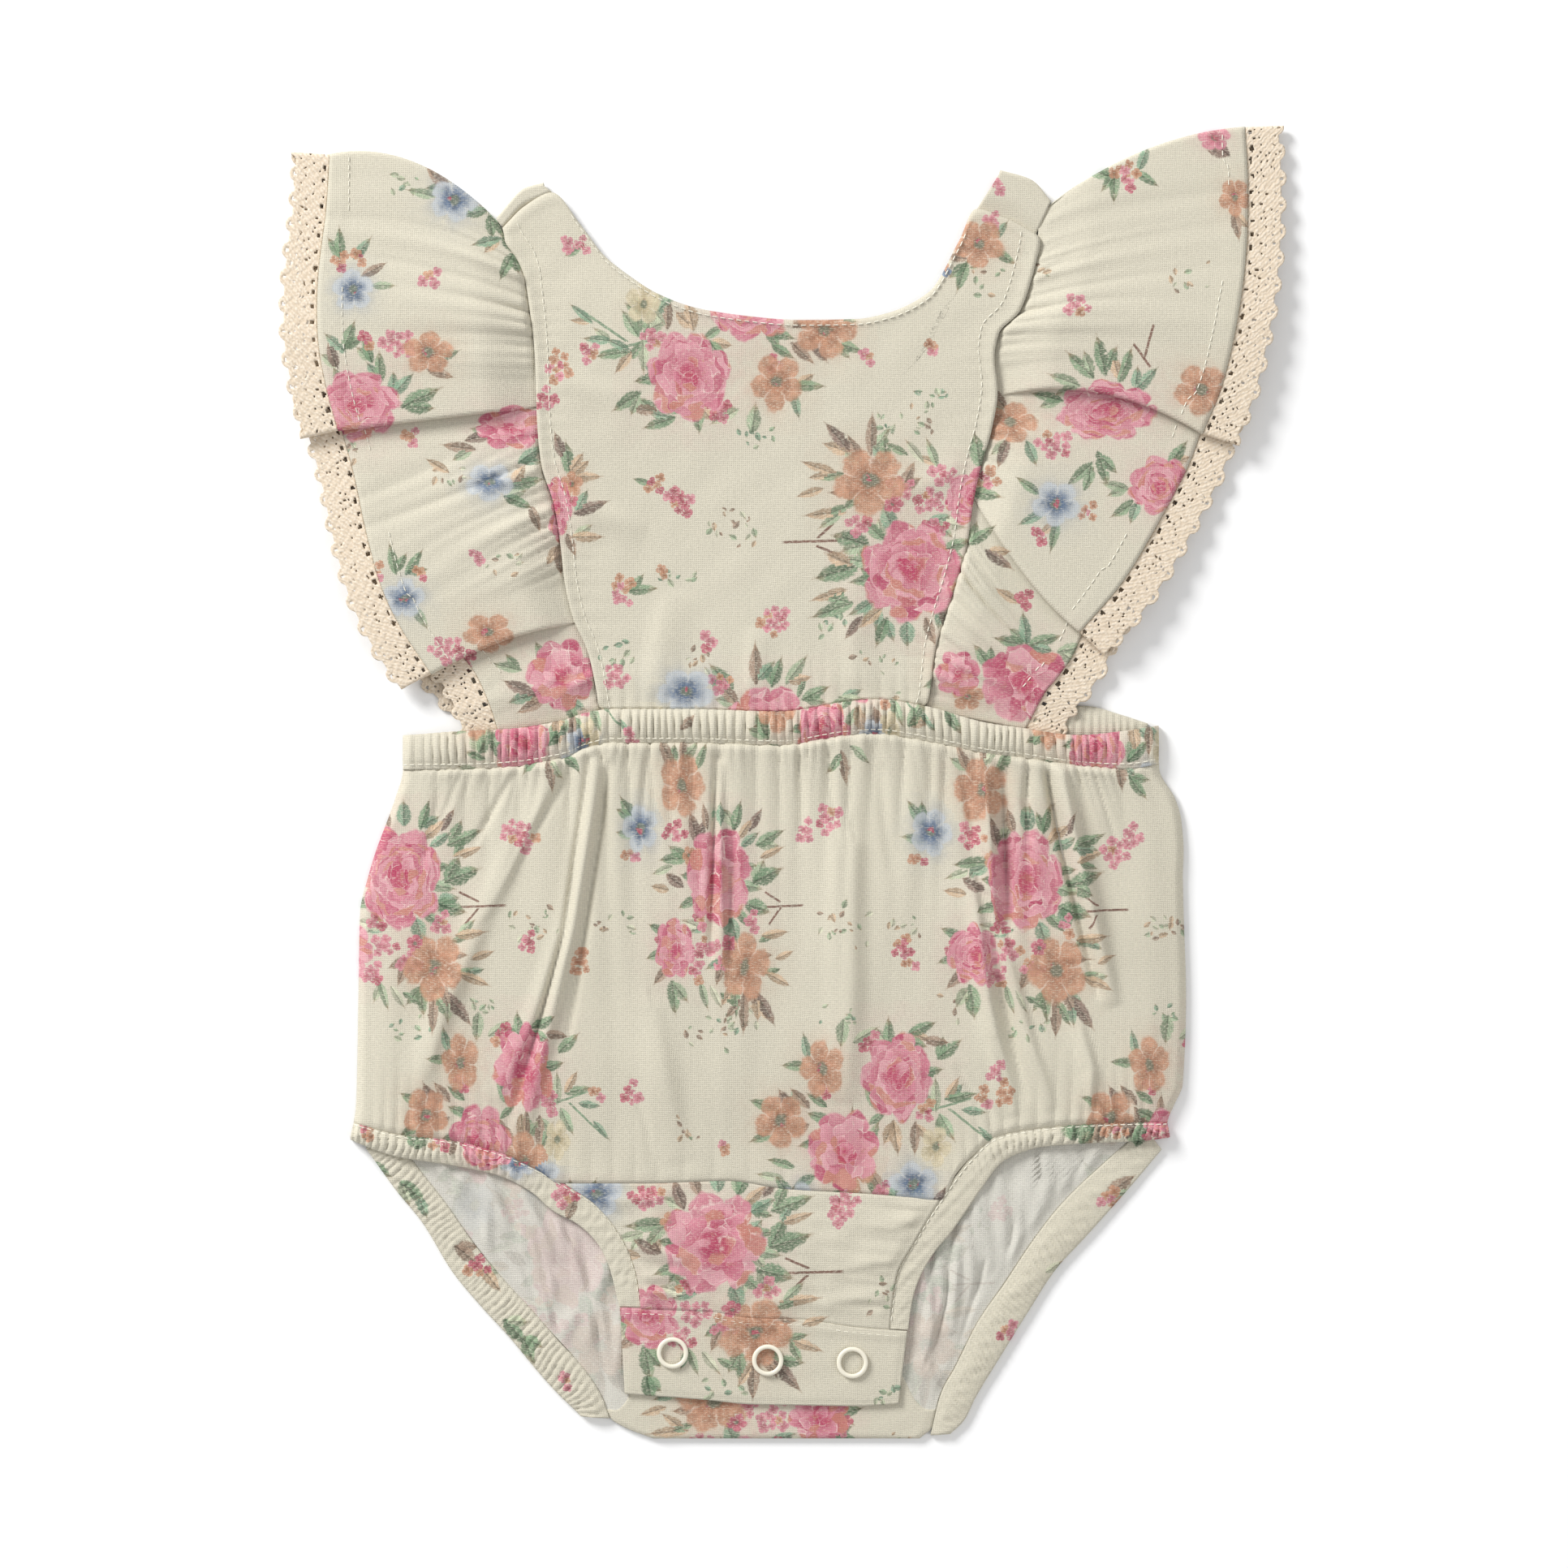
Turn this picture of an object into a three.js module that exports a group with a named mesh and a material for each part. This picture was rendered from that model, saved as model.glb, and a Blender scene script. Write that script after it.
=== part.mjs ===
// A sleeveless baby romper laid flat on its back, in millimetres, +Z up, head end towards +Y.
// Every cloth piece is a thin closed wall, and neighbouring pieces stand a seam gap apart.
import * as THREE from "three";

// Cloth and layers: thicknesses and the heights at which the layers lie.
const WALL = 1.1;
const SEAM_GAP = 0.4;
const RUFFLE_SEAM_GAP = 0.85;
const FRONT_BASE = 2.2;
const BODICE_BASE = 1.4;
const SIDE_ROLL = 3.4;
const BODY_PUFF = 1.4;
const BACK_LAYER_MIDDLE = 0.5;
const RUFFLE_WALL = 1.0;
const TUCK_STEPS = 4;

// Trim: straps, lace, elastic ribs and snaps.
const STRAP_WIDTH = 19;
const LACE_WIDTH = 12;
const SCALLOP_PITCH = 7.9;
const SCALLOP_DEPTH = 1.5;
const BAND_RIBS = 54;
const BAND_RIB_HEIGHT = 0.9;
const BACK_BAND_RIBS = 14;
const BACK_RIB_HEIGHT = 0.55;
const FRONT_CASING_RIBS = 12;
const BACK_CASING_RIBS = 6;
const CASING_RIB_HEIGHT = 0.7;
const RUFFLE_GATHER = 1.3;
const RUFFLE_GATHER_PITCH = 9;
const SNAP_RING_RADIUS = 4.15;
const SNAP_TUBE = 0.9;

// Print ground, lace and snap colours, as plain finishes.
const CLOTH = { color: 0xdfdbcb, roughness: 0.95, metalness: 0 };
const WRONG_SIDE = { color: 0xd8d8d4, roughness: 0.95, metalness: 0 };
const LACE = { color: 0xebd9be, roughness: 0.9, metalness: 0 };
const SNAP = { color: 0xeae3cc, roughness: 0.35, metalness: 0 };

// Both side edges of the bloomers, from the waistband down to the leg hems.
const SIDES = [
  { y: 18, left: -117, right: 115.5 },
  { y: 4.75, left: -117, right: 115.75 },
  { y: -4.75, left: -119.5, right: 120.75 },
  { y: -11, left: -121.75, right: 122.5 },
  { y: -21, left: -125.5, right: 123.25 },
  { y: -28.5, left: -127.75, right: 123 },
  { y: -39.75, left: -130.25, right: 123.25 },
  { y: -65.5, left: -130.75, right: 124 },
  { y: -92.25, left: -131.25, right: 123 },
  { y: -99, left: -131.5, right: 120.25 },
  { y: -104.25, left: -132.25, right: 118.3 },
  { y: -109, left: -133.25, right: 119 },
  { y: -113, left: -133.25, right: 119 },
];

// The front waistband's upper and lower edges.
const FRONT_BAND = [
  { x: -117, top: 15, bottom: 4.75 },
  { x: -98.25, top: 16.25, bottom: 5 },
  { x: -83, top: 17, bottom: 5.75 },
  { x: -67, top: 19.75, bottom: 8.5 },
  { x: -60, top: 22, bottom: 11.5 },
  { x: -52.5, top: 23, bottom: 13 },
  { x: -29.5, top: 23, bottom: 13 },
  { x: -1.25, top: 22.25, bottom: 12.25 },
  { x: 19.5, top: 25.25, bottom: 15.25 },
  { x: 28.25, top: 26, bottom: 15.75 },
  { x: 45.5, top: 23.5, bottom: 13.25 },
  { x: 54, top: 21, bottom: 11.5 },
  { x: 62.5, top: 18.75, bottom: 9.75 },
  { x: 71.25, top: 17.5, bottom: 8.75 },
  { x: 91, top: 15, bottom: 6 },
  { x: 105.75, top: 16.5, bottom: 5 },
  { x: 115.5, top: 18, bottom: 6.5 },
];

// The back waistband, which shows only above the front one at the wearer's left.
const BACK_BAND = [
  { x: -113.5, top: 12.5, bottom: 3 },
  { x: -83, top: 15.5, bottom: 5.5 },
  { x: -60, top: 20.5, bottom: 10.5 },
  { x: 0, top: 21, bottom: 11 },
  { x: 30, top: 24.5, bottom: 14.5 },
  { x: 62, top: 24.6, bottom: 14.6 },
  { x: 93.5, top: 24, bottom: 13.5 },
  { x: 104, top: 21.3, bottom: 10 },
  { x: 112.3, top: 18.6, bottom: 7 },
];

// The seams between the bodice and the two ruffles, and the straps behind them.
const BODICE_SEAMS = [
  { y: 179.5, left: -91.5, right: 82.8 },
  { y: 173, left: -87.6, right: 78.5 },
  { y: 166.25, left: -84.25, right: 78 },
  { y: 161, left: -80.6, right: 76.8 },
  { y: 155, left: -78.25, right: 75.2 },
  { y: 145.25, left: -76.75, right: 71.6 },
  { y: 138.5, left: -75.8, right: 65.2 },
  { y: 131, left: -75.2, right: 63.8 },
  { y: 120.5, left: -74.9, right: 64.8 },
  { y: 109, left: -74.4, right: 63 },
  { y: 98, left: -73.2, right: 59.8 },
  { y: 86.25, left: -69.5, right: 57.3 },
  { y: 74.5, left: -67.5, right: 55.6 },
  { y: 62.75, left: -66.2, right: 52.4 },
  { y: 51, left: -63.5, right: 48.5 },
  { y: 40.75, left: -59, right: 45.6 },
  { y: 29.75, left: -56.5, right: 44.2 },
  { y: 22, left: -55.4, right: 42.8 },
];

// The bodice's upper edge: left shoulder seam, neckline, right shoulder seam.
// The share column is how far along the bodice's width each point belongs.
const BODICE_TOP = [
  { share: 0, x: -86.4, y: 171 },
  { share: 0.05, x: -79.5, y: 177.8 },
  { share: 0.1, x: -71.2, y: 182 },
  { share: 0.16, x: -62.5, y: 172.25 },
  { share: 0.22, x: -55, y: 162.5 },
  { share: 0.29, x: -47.5, y: 156.5 },
  { share: 0.37, x: -38, y: 150.5 },
  { share: 0.45, x: -23.75, y: 145.75 },
  { share: 0.54, x: 4.75, y: 142.75 },
  { share: 0.63, x: 22, y: 143 },
  { share: 0.7, x: 31.75, y: 144.75 },
  { share: 0.77, x: 45, y: 151.5 },
  { share: 0.83, x: 53.75, y: 166.5 },
  { share: 0.9, x: 59.75, y: 177 },
  { share: 0.95, x: 68.75, y: 174 },
  { share: 1, x: 77.9, y: 169 },
];

// Where each strap starts on the front and where it folds over the shoulder.
const STRAPS = {
  left: [
    { share: 0, startX: -86.6, startY: 171.6, foldX: -88, foldY: 173.9 },
    { share: 0.5, startX: -79.7, startY: 178.3, foldX: -79.5, foldY: 183 },
    { share: 1, startX: -71.5, startY: 182.4, foldX: -73.6, foldY: 184.7 },
  ],
  right: [
    { share: 0, startX: 78, startY: 169.6, foldX: 82, foldY: 179.2 },
    { share: 0.5, startX: 69, startY: 174.5, foldX: 76.25, foldY: 185.6 },
    { share: 1, startX: 60, startY: 177.5, foldX: 66.6, foldY: 188.6 },
  ],
};

// Each ruffle follows its cloth from the hidden back waist, over the shoulder, down the front.
// A row is one spoke from the bodice seam to the hem; height is the middle of the cloth.
// A row with turn is a fold: the cloth turns there and goes on at the next row's height.
const RUFFLES = {
  left: [
    { seamY: 27, hemX: -93, hemY: 26.5, bow: 0, height: 0.5, gather: 0 },
    { seamY: 70, hemX: -121, hemY: 62, bow: 0, height: 0.5, gather: 0 },
    { seamY: 110, hemX: -132, hemY: 112, bow: 0, height: 0.5, gather: 0 },
    { seamY: 150, hemX: -137, hemY: 163, bow: 3, height: 0.5, gather: 0 },
    { seamY: 171.5, hemX: -139.4, hemY: 192.4, bow: 8, height: 0.5, gather: 0, turn: true },
    { seamY: 171.5, hemX: -139.4, hemY: 192.4, bow: 8, height: 2.6, gather: 0 },
    { seamY: 160, hemX: -140.4, hemY: 176, bow: 5, height: 3.1, gather: 1 },
    { seamY: 147, hemX: -142.6, hemY: 156.5, bow: 2, height: 4.4, gather: 1 },
    { seamY: 134, hemX: -142.7, hemY: 137.7, bow: 0, height: 5.8, gather: 0.6 },
    { seamY: 124, hemX: -140.4, hemY: 123, bow: 0, height: 5.8, gather: 0 },
    { seamY: 117, hemX: -136.8, hemY: 109.5, bow: 0, height: 5.8, gather: 0, turn: true },
    { seamY: 117, hemX: -136.8, hemY: 109.5, bow: 0, height: 4.2, gather: 0 },
    { seamY: 119, hemX: -139.4, hemY: 121.5, bow: 0, height: 4.2, gather: 0, turn: true },
    { seamY: 119, hemX: -139.4, hemY: 121.5, bow: 0, height: 2.6, gather: 0 },
    { seamY: 111, hemX: -134.6, hemY: 105, bow: 0, height: 2.6, gather: 0 },
    { seamY: 103, hemX: -131.8, hemY: 95, bow: 0, height: 3, gather: 1 },
    { seamY: 88, hemX: -128, hemY: 77.5, bow: 0, height: 4.2, gather: 1 },
    { seamY: 73, hemX: -123.2, hemY: 60.5, bow: 0, height: 5.4, gather: 0.8 },
    { seamY: 61, hemX: -117, hemY: 47.5, bow: 1, height: 5.8, gather: 0 },
    { seamY: 50.5, hemX: -108.5, hemY: 34.6, bow: 2.5, height: 5.8, gather: 0, turn: true },
    { seamY: 50.5, hemX: -108.5, hemY: 34.6, bow: 2.5, height: 4.2, gather: 0 },
    { seamY: 52.5, hemX: -107, hemY: 46.5, bow: 1, height: 4.2, gather: 0, turn: true },
    { seamY: 52.5, hemX: -107, hemY: 46.5, bow: 1, height: 2.6, gather: 0 },
    { seamY: 43, hemX: -96.3, hemY: 36.5, bow: 0, height: 2.6, gather: 0 },
    { seamY: 33, hemX: -91, hemY: 27.5, bow: 0, height: 2.8, gather: 0.8 },
    { seamY: 23.9, hemX: -87, hemY: 21.2, bow: 0, height: 2.8, gather: 0.8 },
  ],
  right: [
    { seamY: 31, hemX: 77, hemY: 33, bow: 0, height: 0.5, gather: 0 },
    { seamY: 70, hemX: 101, hemY: 66, bow: 0, height: 0.5, gather: 0 },
    { seamY: 112, hemX: 124, hemY: 106, bow: 0, height: 0.5, gather: 0 },
    { seamY: 155, hemX: 138, hemY: 170, bow: 2, height: 0.5, gather: 0 },
    { seamY: 177, hemX: 142, hemY: 200.8, bow: 5, height: 0.5, gather: 0, turn: true },
    { seamY: 177, hemX: 142, hemY: 200.8, bow: 5, height: 2.6, gather: 0 },
    { seamY: 163, hemX: 142.8, hemY: 184, bow: 2, height: 3.1, gather: 1 },
    { seamY: 148, hemX: 142, hemY: 162, bow: 1, height: 4.4, gather: 1 },
    { seamY: 136, hemX: 139.2, hemY: 142, bow: 2, height: 5.8, gather: 0.6 },
    { seamY: 127, hemX: 134.8, hemY: 123, bow: 5, height: 5.8, gather: 0 },
    { seamY: 120, hemX: 129, hemY: 108.4, bow: 7, height: 5.8, gather: 0, turn: true },
    { seamY: 120, hemX: 129, hemY: 108.4, bow: 7, height: 4.2, gather: 0 },
    { seamY: 122, hemX: 132.4, hemY: 120.4, bow: 5, height: 4.2, gather: 0, turn: true },
    { seamY: 122, hemX: 132.4, hemY: 120.4, bow: 5, height: 2.6, gather: 0 },
    { seamY: 113, hemX: 126, hemY: 101.5, bow: 5, height: 2.6, gather: 0 },
    { seamY: 107, hemX: 121.5, hemY: 92, bow: 3, height: 3.2, gather: 1 },
    { seamY: 100, hemX: 112.5, hemY: 75.5, bow: 2, height: 4.8, gather: 0.8 },
    { seamY: 95, hemX: 103.5, hemY: 61.2, bow: 0, height: 5.8, gather: 0 },
    { seamY: 90, hemX: 91.6, hemY: 47.4, bow: -4, height: 5.8, gather: 0, turn: true },
    { seamY: 90, hemX: 91.6, hemY: 47.4, bow: -4, height: 4.2, gather: 0 },
    { seamY: 92, hemX: 98.6, hemY: 57, bow: -1, height: 4.2, gather: 0, turn: true },
    { seamY: 92, hemX: 98.6, hemY: 57, bow: -1, height: 2.6, gather: 0 },
    { seamY: 82, hemX: 91.9, hemY: 46, bow: -4, height: 2.6, gather: 0 },
    { seamY: 70, hemX: 88.6, hemY: 39, bow: -3, height: 2.9, gather: 1 },
    { seamY: 52, hemX: 83.5, hemY: 32, bow: -2, height: 3.2, gather: 1 },
    { seamY: 38, hemX: 80.4, hemY: 28.6, bow: 0, height: 3, gather: 1 },
    { seamY: 25.9, hemX: 76.4, hemY: 22, bow: 0, height: 2.8, gather: 0.8 },
  ],
};

// Gathers under the front waistband: where each starts, how high it stands, how far it reaches.
const GATHERS = [
  { x: -117, height: 0.5, reach: 12 },
  { x: -106, height: 1, reach: 25 },
  { x: -97, height: 0.8, reach: 18 },
  { x: -90, height: 1.1, reach: 24 },
  { x: -81, height: 0.9, reach: 30 },
  { x: -66, height: 1.3, reach: 40 },
  { x: -56, height: 1.5, reach: 60 },
  { x: -48, height: 1.2, reach: 34 },
  { x: -41, height: 1, reach: 26 },
  { x: -36, height: 1.1, reach: 30 },
  { x: -28.5, height: 1.3, reach: 40 },
  { x: -19.5, height: 1.5, reach: 60 },
  { x: -8.5, height: 1, reach: 30 },
  { x: -1, height: 1.1, reach: 34 },
  { x: 5, height: 0.9, reach: 24 },
  { x: 14, height: 1.2, reach: 38 },
  { x: 21, height: 1.3, reach: 52 },
  { x: 28, height: 1, reach: 30 },
  { x: 37.5, height: 1.3, reach: 44 },
  { x: 46, height: 1, reach: 28 },
  { x: 50, height: 1.1, reach: 32 },
  { x: 59, height: 1.2, reach: 46 },
  { x: 69, height: 1.1, reach: 40 },
  { x: 75, height: 1.4, reach: 60 },
  { x: 82, height: 1, reach: 28 },
  { x: 91, height: 1.1, reach: 26 },
  { x: 104, height: 0.8, reach: 18 },
  { x: 115.75, height: 0.5, reach: 12 },
];

// The front panel's long soft folds: a ridge from one end over a middle point to the other.
const FOLDS = [
  { fromX: -56, fromY: 4, overX: -66, overY: -46, toX: -86, toY: -110, height: 2, width: 4 },
  { fromX: -61, fromY: -9, overX: -74, overY: -56, toX: -84, toY: -92, height: 1.2, width: 4 },
  { fromX: -92, fromY: -42, overX: -104, overY: -70, toX: -112, toY: -96, height: 1.2, width: 6 },
  { fromX: -19.5, fromY: 6, overX: -19, overY: -28, toX: -18, toY: -60, height: 1.5, width: 3 },
  { fromX: 21, fromY: -20, overX: 21, overY: -60, toX: 19, toY: -98, height: 1.6, width: 9 },
  { fromX: 75, fromY: 4, overX: 87, overY: -28, toX: 99, toY: -68, height: 1.6, width: 4 },
  { fromX: 58, fromY: -28, overX: 63, overY: -66, toX: 71, toY: -102, height: 1.3, width: 4 },
  { fromX: 67, fromY: -46, overX: 76, overY: -80, toX: 83, toY: -100, height: 1.1, width: 4 },
  { fromX: 91, fromY: -74, overX: 95, overY: -88, toX: 94, toY: -100, height: 1.1, width: 4 },
  { fromX: -40, fromY: -70, overX: -36, overY: -92, toX: -30, toY: -116, height: 0.9, width: 8 },
];

// The seam that joins the front panel to the crotch panel.
const CROTCH_SEAM = [
  { x: -68.75, y: -122.75 },
  { x: -43, y: -122.75 },
  { x: -17.25, y: -122 },
  { x: 1, y: -124.5 },
  { x: 26.75, y: -126 },
  { x: 48.4, y: -127.9 },
];

// The front panel's lower edge, from the left side over both legs and the crotch.
const FRONT_LOWER_EDGE = [
  { x: -132.25, y: -104.25 },
  { x: -117.25, y: -108.25 },
  { x: -102.75, y: -109.75 },
  { x: -86.75, y: -113.75 },
  { x: -75, y: -119 },
  ...CROTCH_SEAM,
  { x: 53, y: -120.1 },
  { x: 57.5, y: -114.9 },
  { x: 65.25, y: -108.7 },
  { x: 79.75, y: -106 },
  { x: 95.25, y: -104.75 },
  { x: 110, y: -104.25 },
  { x: 118.3, y: -104.1 },
];

// The line where the snap placket is stitched to the crotch panel, and its lower edge.
const PLACKET = [
  { stitchX: -50.2, stitchY: -161.25, hemX: -48.75, hemY: -187.5 },
  { stitchX: -24.5, stitchY: -162.25, hemX: -24.5, hemY: -189.3 },
  { stitchX: -10, stitchY: -164.5, hemX: -10, hemY: -190.7 },
  { stitchX: 4.75, stitchY: -164.9, hemX: 4.75, hemY: -191 },
  { stitchX: 23, stitchY: -167.4, hemX: 23, hemY: -191.25 },
  { stitchX: 38.2, stitchY: -168.5, hemX: 35.5, hemY: -190.5 },
];
const SNAPS = [
  { name: "snap_1", x: -34, y: -174.75 },
  { name: "snap_2", x: -4.75, y: -177 },
  { name: "snap_3", x: 21.25, y: -177.75 },
];

// Leg casings: pairs of points on the stitched inner edge and the outer edge of the leg.
const LEG_CASINGS = {
  frontLeft: [
    { innerX: -132.2, innerY: -104.4, outerX: -133.25, outerY: -109.4 },
    { innerX: -117.25, innerY: -108.25, outerX: -119, outerY: -114.5 },
    { innerX: -102.75, innerY: -109.75, outerX: -101.75, outerY: -117.25 },
    { innerX: -86.75, innerY: -113.75, outerX: -88, outerY: -120.25 },
    { innerX: -75, innerY: -119, outerX: -77.75, outerY: -125.25 },
    { innerX: -66.8, innerY: -123.6, outerX: -70.75, outerY: -131.25 },
    { innerX: -58.75, innerY: -128.5, outerX: -63, outerY: -135.5 },
    { innerX: -51.5, innerY: -136.5, outerX: -57, outerY: -141.5 },
    { innerX: -47.5, innerY: -143.5, outerX: -53.5, outerY: -148.5 },
    { innerX: -44.75, innerY: -152.25, outerX: -51.5, outerY: -156 },
    { innerX: -43.75, innerY: -161, outerX: -50.4, outerY: -160.7 },
  ],
  frontRight: [
    { innerX: 118.2, innerY: -104.3, outerX: 119, outerY: -108.75 },
    { innerX: 110, innerY: -104.25, outerX: 109, outerY: -109.75 },
    { innerX: 95.25, innerY: -104.75, outerX: 92.75, outerY: -110.5 },
    { innerX: 79.75, innerY: -106, outerX: 79.75, outerY: -111.5 },
    { innerX: 65.25, innerY: -108.9, outerX: 68, outerY: -115.7 },
    { innerX: 57.5, innerY: -115.5, outerX: 61, outerY: -124.25 },
    { innerX: 48.75, innerY: -127.2, outerX: 55.75, outerY: -132 },
    { innerX: 44.5, innerY: -133.5, outerX: 51.5, outerY: -138 },
    { innerX: 40.25, innerY: -140.75, outerX: 47, outerY: -143.25 },
    { innerX: 35, innerY: -150.25, outerX: 42, outerY: -151.75 },
    { innerX: 33.6, innerY: -158, outerX: 39.75, outerY: -158.75 },
    { innerX: 32.6, innerY: -167.6, outerX: 38.4, outerY: -167.8 },
  ],
  backLeft: [
    { innerX: -122, innerY: -107, outerX: -128.5, outerY: -112 },
    { innerX: -112.2, innerY: -119.2, outerX: -119, outerY: -125.25 },
    { innerX: -104.5, innerY: -129, outerX: -111.25, outerY: -134.75 },
    { innerX: -94.5, innerY: -143.2, outerX: -101.75, outerY: -150.25 },
    { innerX: -86.3, innerY: -153, outerX: -93.25, outerY: -160.5 },
    { innerX: -78, innerY: -162, outerX: -84.5, outerY: -170 },
    { innerX: -69.5, innerY: -171.8, outerX: -76, outerY: -180.25 },
    { innerX: -62, innerY: -180, outerX: -69, outerY: -188 },
    { innerX: -56.25, innerY: -188.75, outerX: -64.5, outerY: -192.3 },
    { innerX: -53.8, innerY: -195.2, outerX: -62.25, outerY: -194.6 },
  ],
  backRight: [
    { innerX: 111.6, innerY: -106, outerX: 116.5, outerY: -112.5 },
    { innerX: 100.5, innerY: -115.8, outerX: 107.25, outerY: -123.5 },
    { innerX: 86, innerY: -129.8, outerX: 92.75, outerY: -139.75 },
    { innerX: 77.5, innerY: -140.6, outerX: 84, outerY: -149.25 },
    { innerX: 68.3, innerY: -154.4, outerX: 75.5, outerY: -162.25 },
    { innerX: 60.5, innerY: -165.7, outerX: 67, outerY: -176 },
    { innerX: 53, innerY: -180.3, outerX: 59.25, outerY: -188.75 },
    { innerX: 48.9, innerY: -188, outerX: 55.75, outerY: -195.75 },
    { innerX: 45.6, innerY: -200.5, outerX: 51.5, outerY: -200 },
  ],
};

// The back panel's side edges, inside the leg casings below the hips.
const BACK_SIDES = [
  { y: 2.4, left: -113.2, right: 112 },
  { y: -4.75, left: -116, right: 117 },
  { y: -21, left: -122, right: 119.8 },
  { y: -40, left: -126.7, right: 119.8 },
  { y: -92, left: -127.7, right: 119.4 },
  { y: -100, left: -127, right: 115.8 },
  { y: -106.2, left: -122.2, right: 110.9 },
  { y: -115.8, left: -114.5, right: 100 },
  { y: -129.4, left: -103.7, right: 85.8 },
  { y: -141, left: -95.4, right: 76.7 },
  { y: -153.6, left: -85.2, right: 68.2 },
  { y: -165.7, left: -74.2, right: 60 },
  { y: -180, left: -61.5, right: 52.6 },
  { y: -188.6, left: -55.9, right: 48.1 },
  { y: -195.2, left: -53.3, right: 46.5 },
  { y: -198.25, left: -48.5, right: 45.7 },
  { y: -201.5, left: -40, right: 42 },
];

// Creases of the back panel that show through the leg openings.
const BACK_CREASES = [
  { fromX: -97, fromY: -118, overX: -99, overY: -124, toX: -102, toY: -131, height: 0.7, width: 3 },
  { fromX: -90, fromY: -121, overX: -91, overY: -143, toX: -86, toY: -152, height: 0.8, width: 3 },
  { fromX: -77, fromY: -141, overX: -71, overY: -153, toX: -72, toY: -168, height: 0.8, width: 3 },
  { fromX: -62, fromY: -161, overX: -66, overY: -167, toX: -69, toY: -173, height: 0.7, width: 3 },
  { fromX: 77, fromY: -116, overX: 78, overY: -127, toX: 78, toY: -138, height: 0.8, width: 3 },
  { fromX: 66, fromY: -119, overX: 68, overY: -131, toX: 69, toY: -143, height: 0.7, width: 3 },
  { fromX: 56, fromY: -134, overX: 58, overY: -146, toX: 59, toY: -158, height: 0.8, width: 3 },
  { fromX: 50, fromY: -158, overX: 43, overY: -178, toX: 49, toY: -186, height: 0.8, width: 3 },
];

const clamp = THREE.MathUtils.clamp;
const lerp = THREE.MathUtils.lerp;
const smooth = (value) => THREE.MathUtils.smoothstep(value, 0, 1);

// Reads one column of a table at a key between its rows, on a curve that never overshoots.
function column(table, key, name) {
  const rows = [...table].sort((a, b) => a[key] - b[key]);
  const slopes = rows.map((row, i) => {
    if (i === 0 || i === rows.length - 1) return 0;
    const before = (row[name] - rows[i - 1][name]) / (row[key] - rows[i - 1][key]);
    const after = (rows[i + 1][name] - row[name]) / (rows[i + 1][key] - row[key]);
    return before * after <= 0 ? 0 : (2 * before * after) / (before + after);
  });
  slopes[0] = (rows[1][name] - rows[0][name]) / (rows[1][key] - rows[0][key]);
  const last = rows.length - 1;
  slopes[last] = (rows[last][name] - rows[last - 1][name]) / (rows[last][key] - rows[last - 1][key]);
  return (at) => {
    const place = clamp(at, rows[0][key], rows[last][key]);
    let i = 0;
    while (i < last - 1 && place > rows[i + 1][key]) i++;
    const span = rows[i + 1][key] - rows[i][key];
    const t = (place - rows[i][key]) / span;
    const fromRow = rows[i][name] * (1 + 2 * t) * (1 - t) ** 2 + slopes[i] * span * t * (1 - t) ** 2;
    const toRow = rows[i + 1][name] * t * t * (3 - 2 * t) - slopes[i + 1] * span * t * t * (1 - t);
    return fromRow + toRow;
  };
}

// Makes one closed wall from a grid of under points and a grid of upper points.
function wallMesh(name, finish, under, upper) {
  const lines = under.length;
  const across = under[0].length;
  const points = [...under.flat(), ...upper.flat()].flat();
  const low = (i, j) => i * across + j;
  const high = (i, j) => lines * across + i * across + j;
  const faces = [];
  const quad = (a, b, c, d) => faces.push(a, b, c, a, c, d);
  for (let i = 0; i < lines - 1; i++) {
    for (let j = 0; j < across - 1; j++) {
      quad(high(i, j), high(i + 1, j), high(i + 1, j + 1), high(i, j + 1));
      quad(low(i, j), low(i, j + 1), low(i + 1, j + 1), low(i + 1, j));
    }
    quad(low(i, 0), low(i + 1, 0), high(i + 1, 0), high(i, 0));
    quad(low(i + 1, across - 1), low(i, across - 1), high(i, across - 1), high(i + 1, across - 1));
  }
  for (let j = 0; j < across - 1; j++) {
    quad(low(0, j + 1), low(0, j), high(0, j), high(0, j + 1));
    quad(low(lines - 1, j), low(lines - 1, j + 1), high(lines - 1, j + 1), high(lines - 1, j));
  }
  return solidMesh(name, finish, points, faces);
}

// Wraps points and faces as a mesh whose faces look outwards.
function solidMesh(name, finish, points, faces) {
  let volume = 0;
  const corner = (k) => new THREE.Vector3().fromArray(points, 3 * k);
  for (let k = 0; k < faces.length; k += 3) {
    volume += corner(faces[k]).dot(corner(faces[k + 1]).cross(corner(faces[k + 2])));
  }
  const outward = volume > 0 ? faces : faces.toReversed();
  const geometry = new THREE.BufferGeometry();
  geometry.setAttribute("position", new THREE.Float32BufferAttribute(points, 3));
  geometry.setIndex(outward);
  geometry.computeVertexNormals();
  const mesh = new THREE.Mesh(geometry, new THREE.MeshStandardMaterial(finish));
  mesh.name = name;
  return mesh;
}

// Samples a flat-lying piece: place gives x and y, under and upper give the two heights there.
function layPiece(name, finish, lineShares, acrossShares, place, under, upper) {
  const grid = lineShares.map((v) => acrossShares.map((u) => [...place(u, v), u, v]));
  const raise = (height) => grid.map((line) => line.map(([x, y, u, v]) => [x, y, height(x, y, u, v)]));
  return wallMesh(name, finish, raise(under), raise(upper));
}

const evenly = (count) => Array.from({ length: count + 1 }, (_, i) => i / count);

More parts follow.
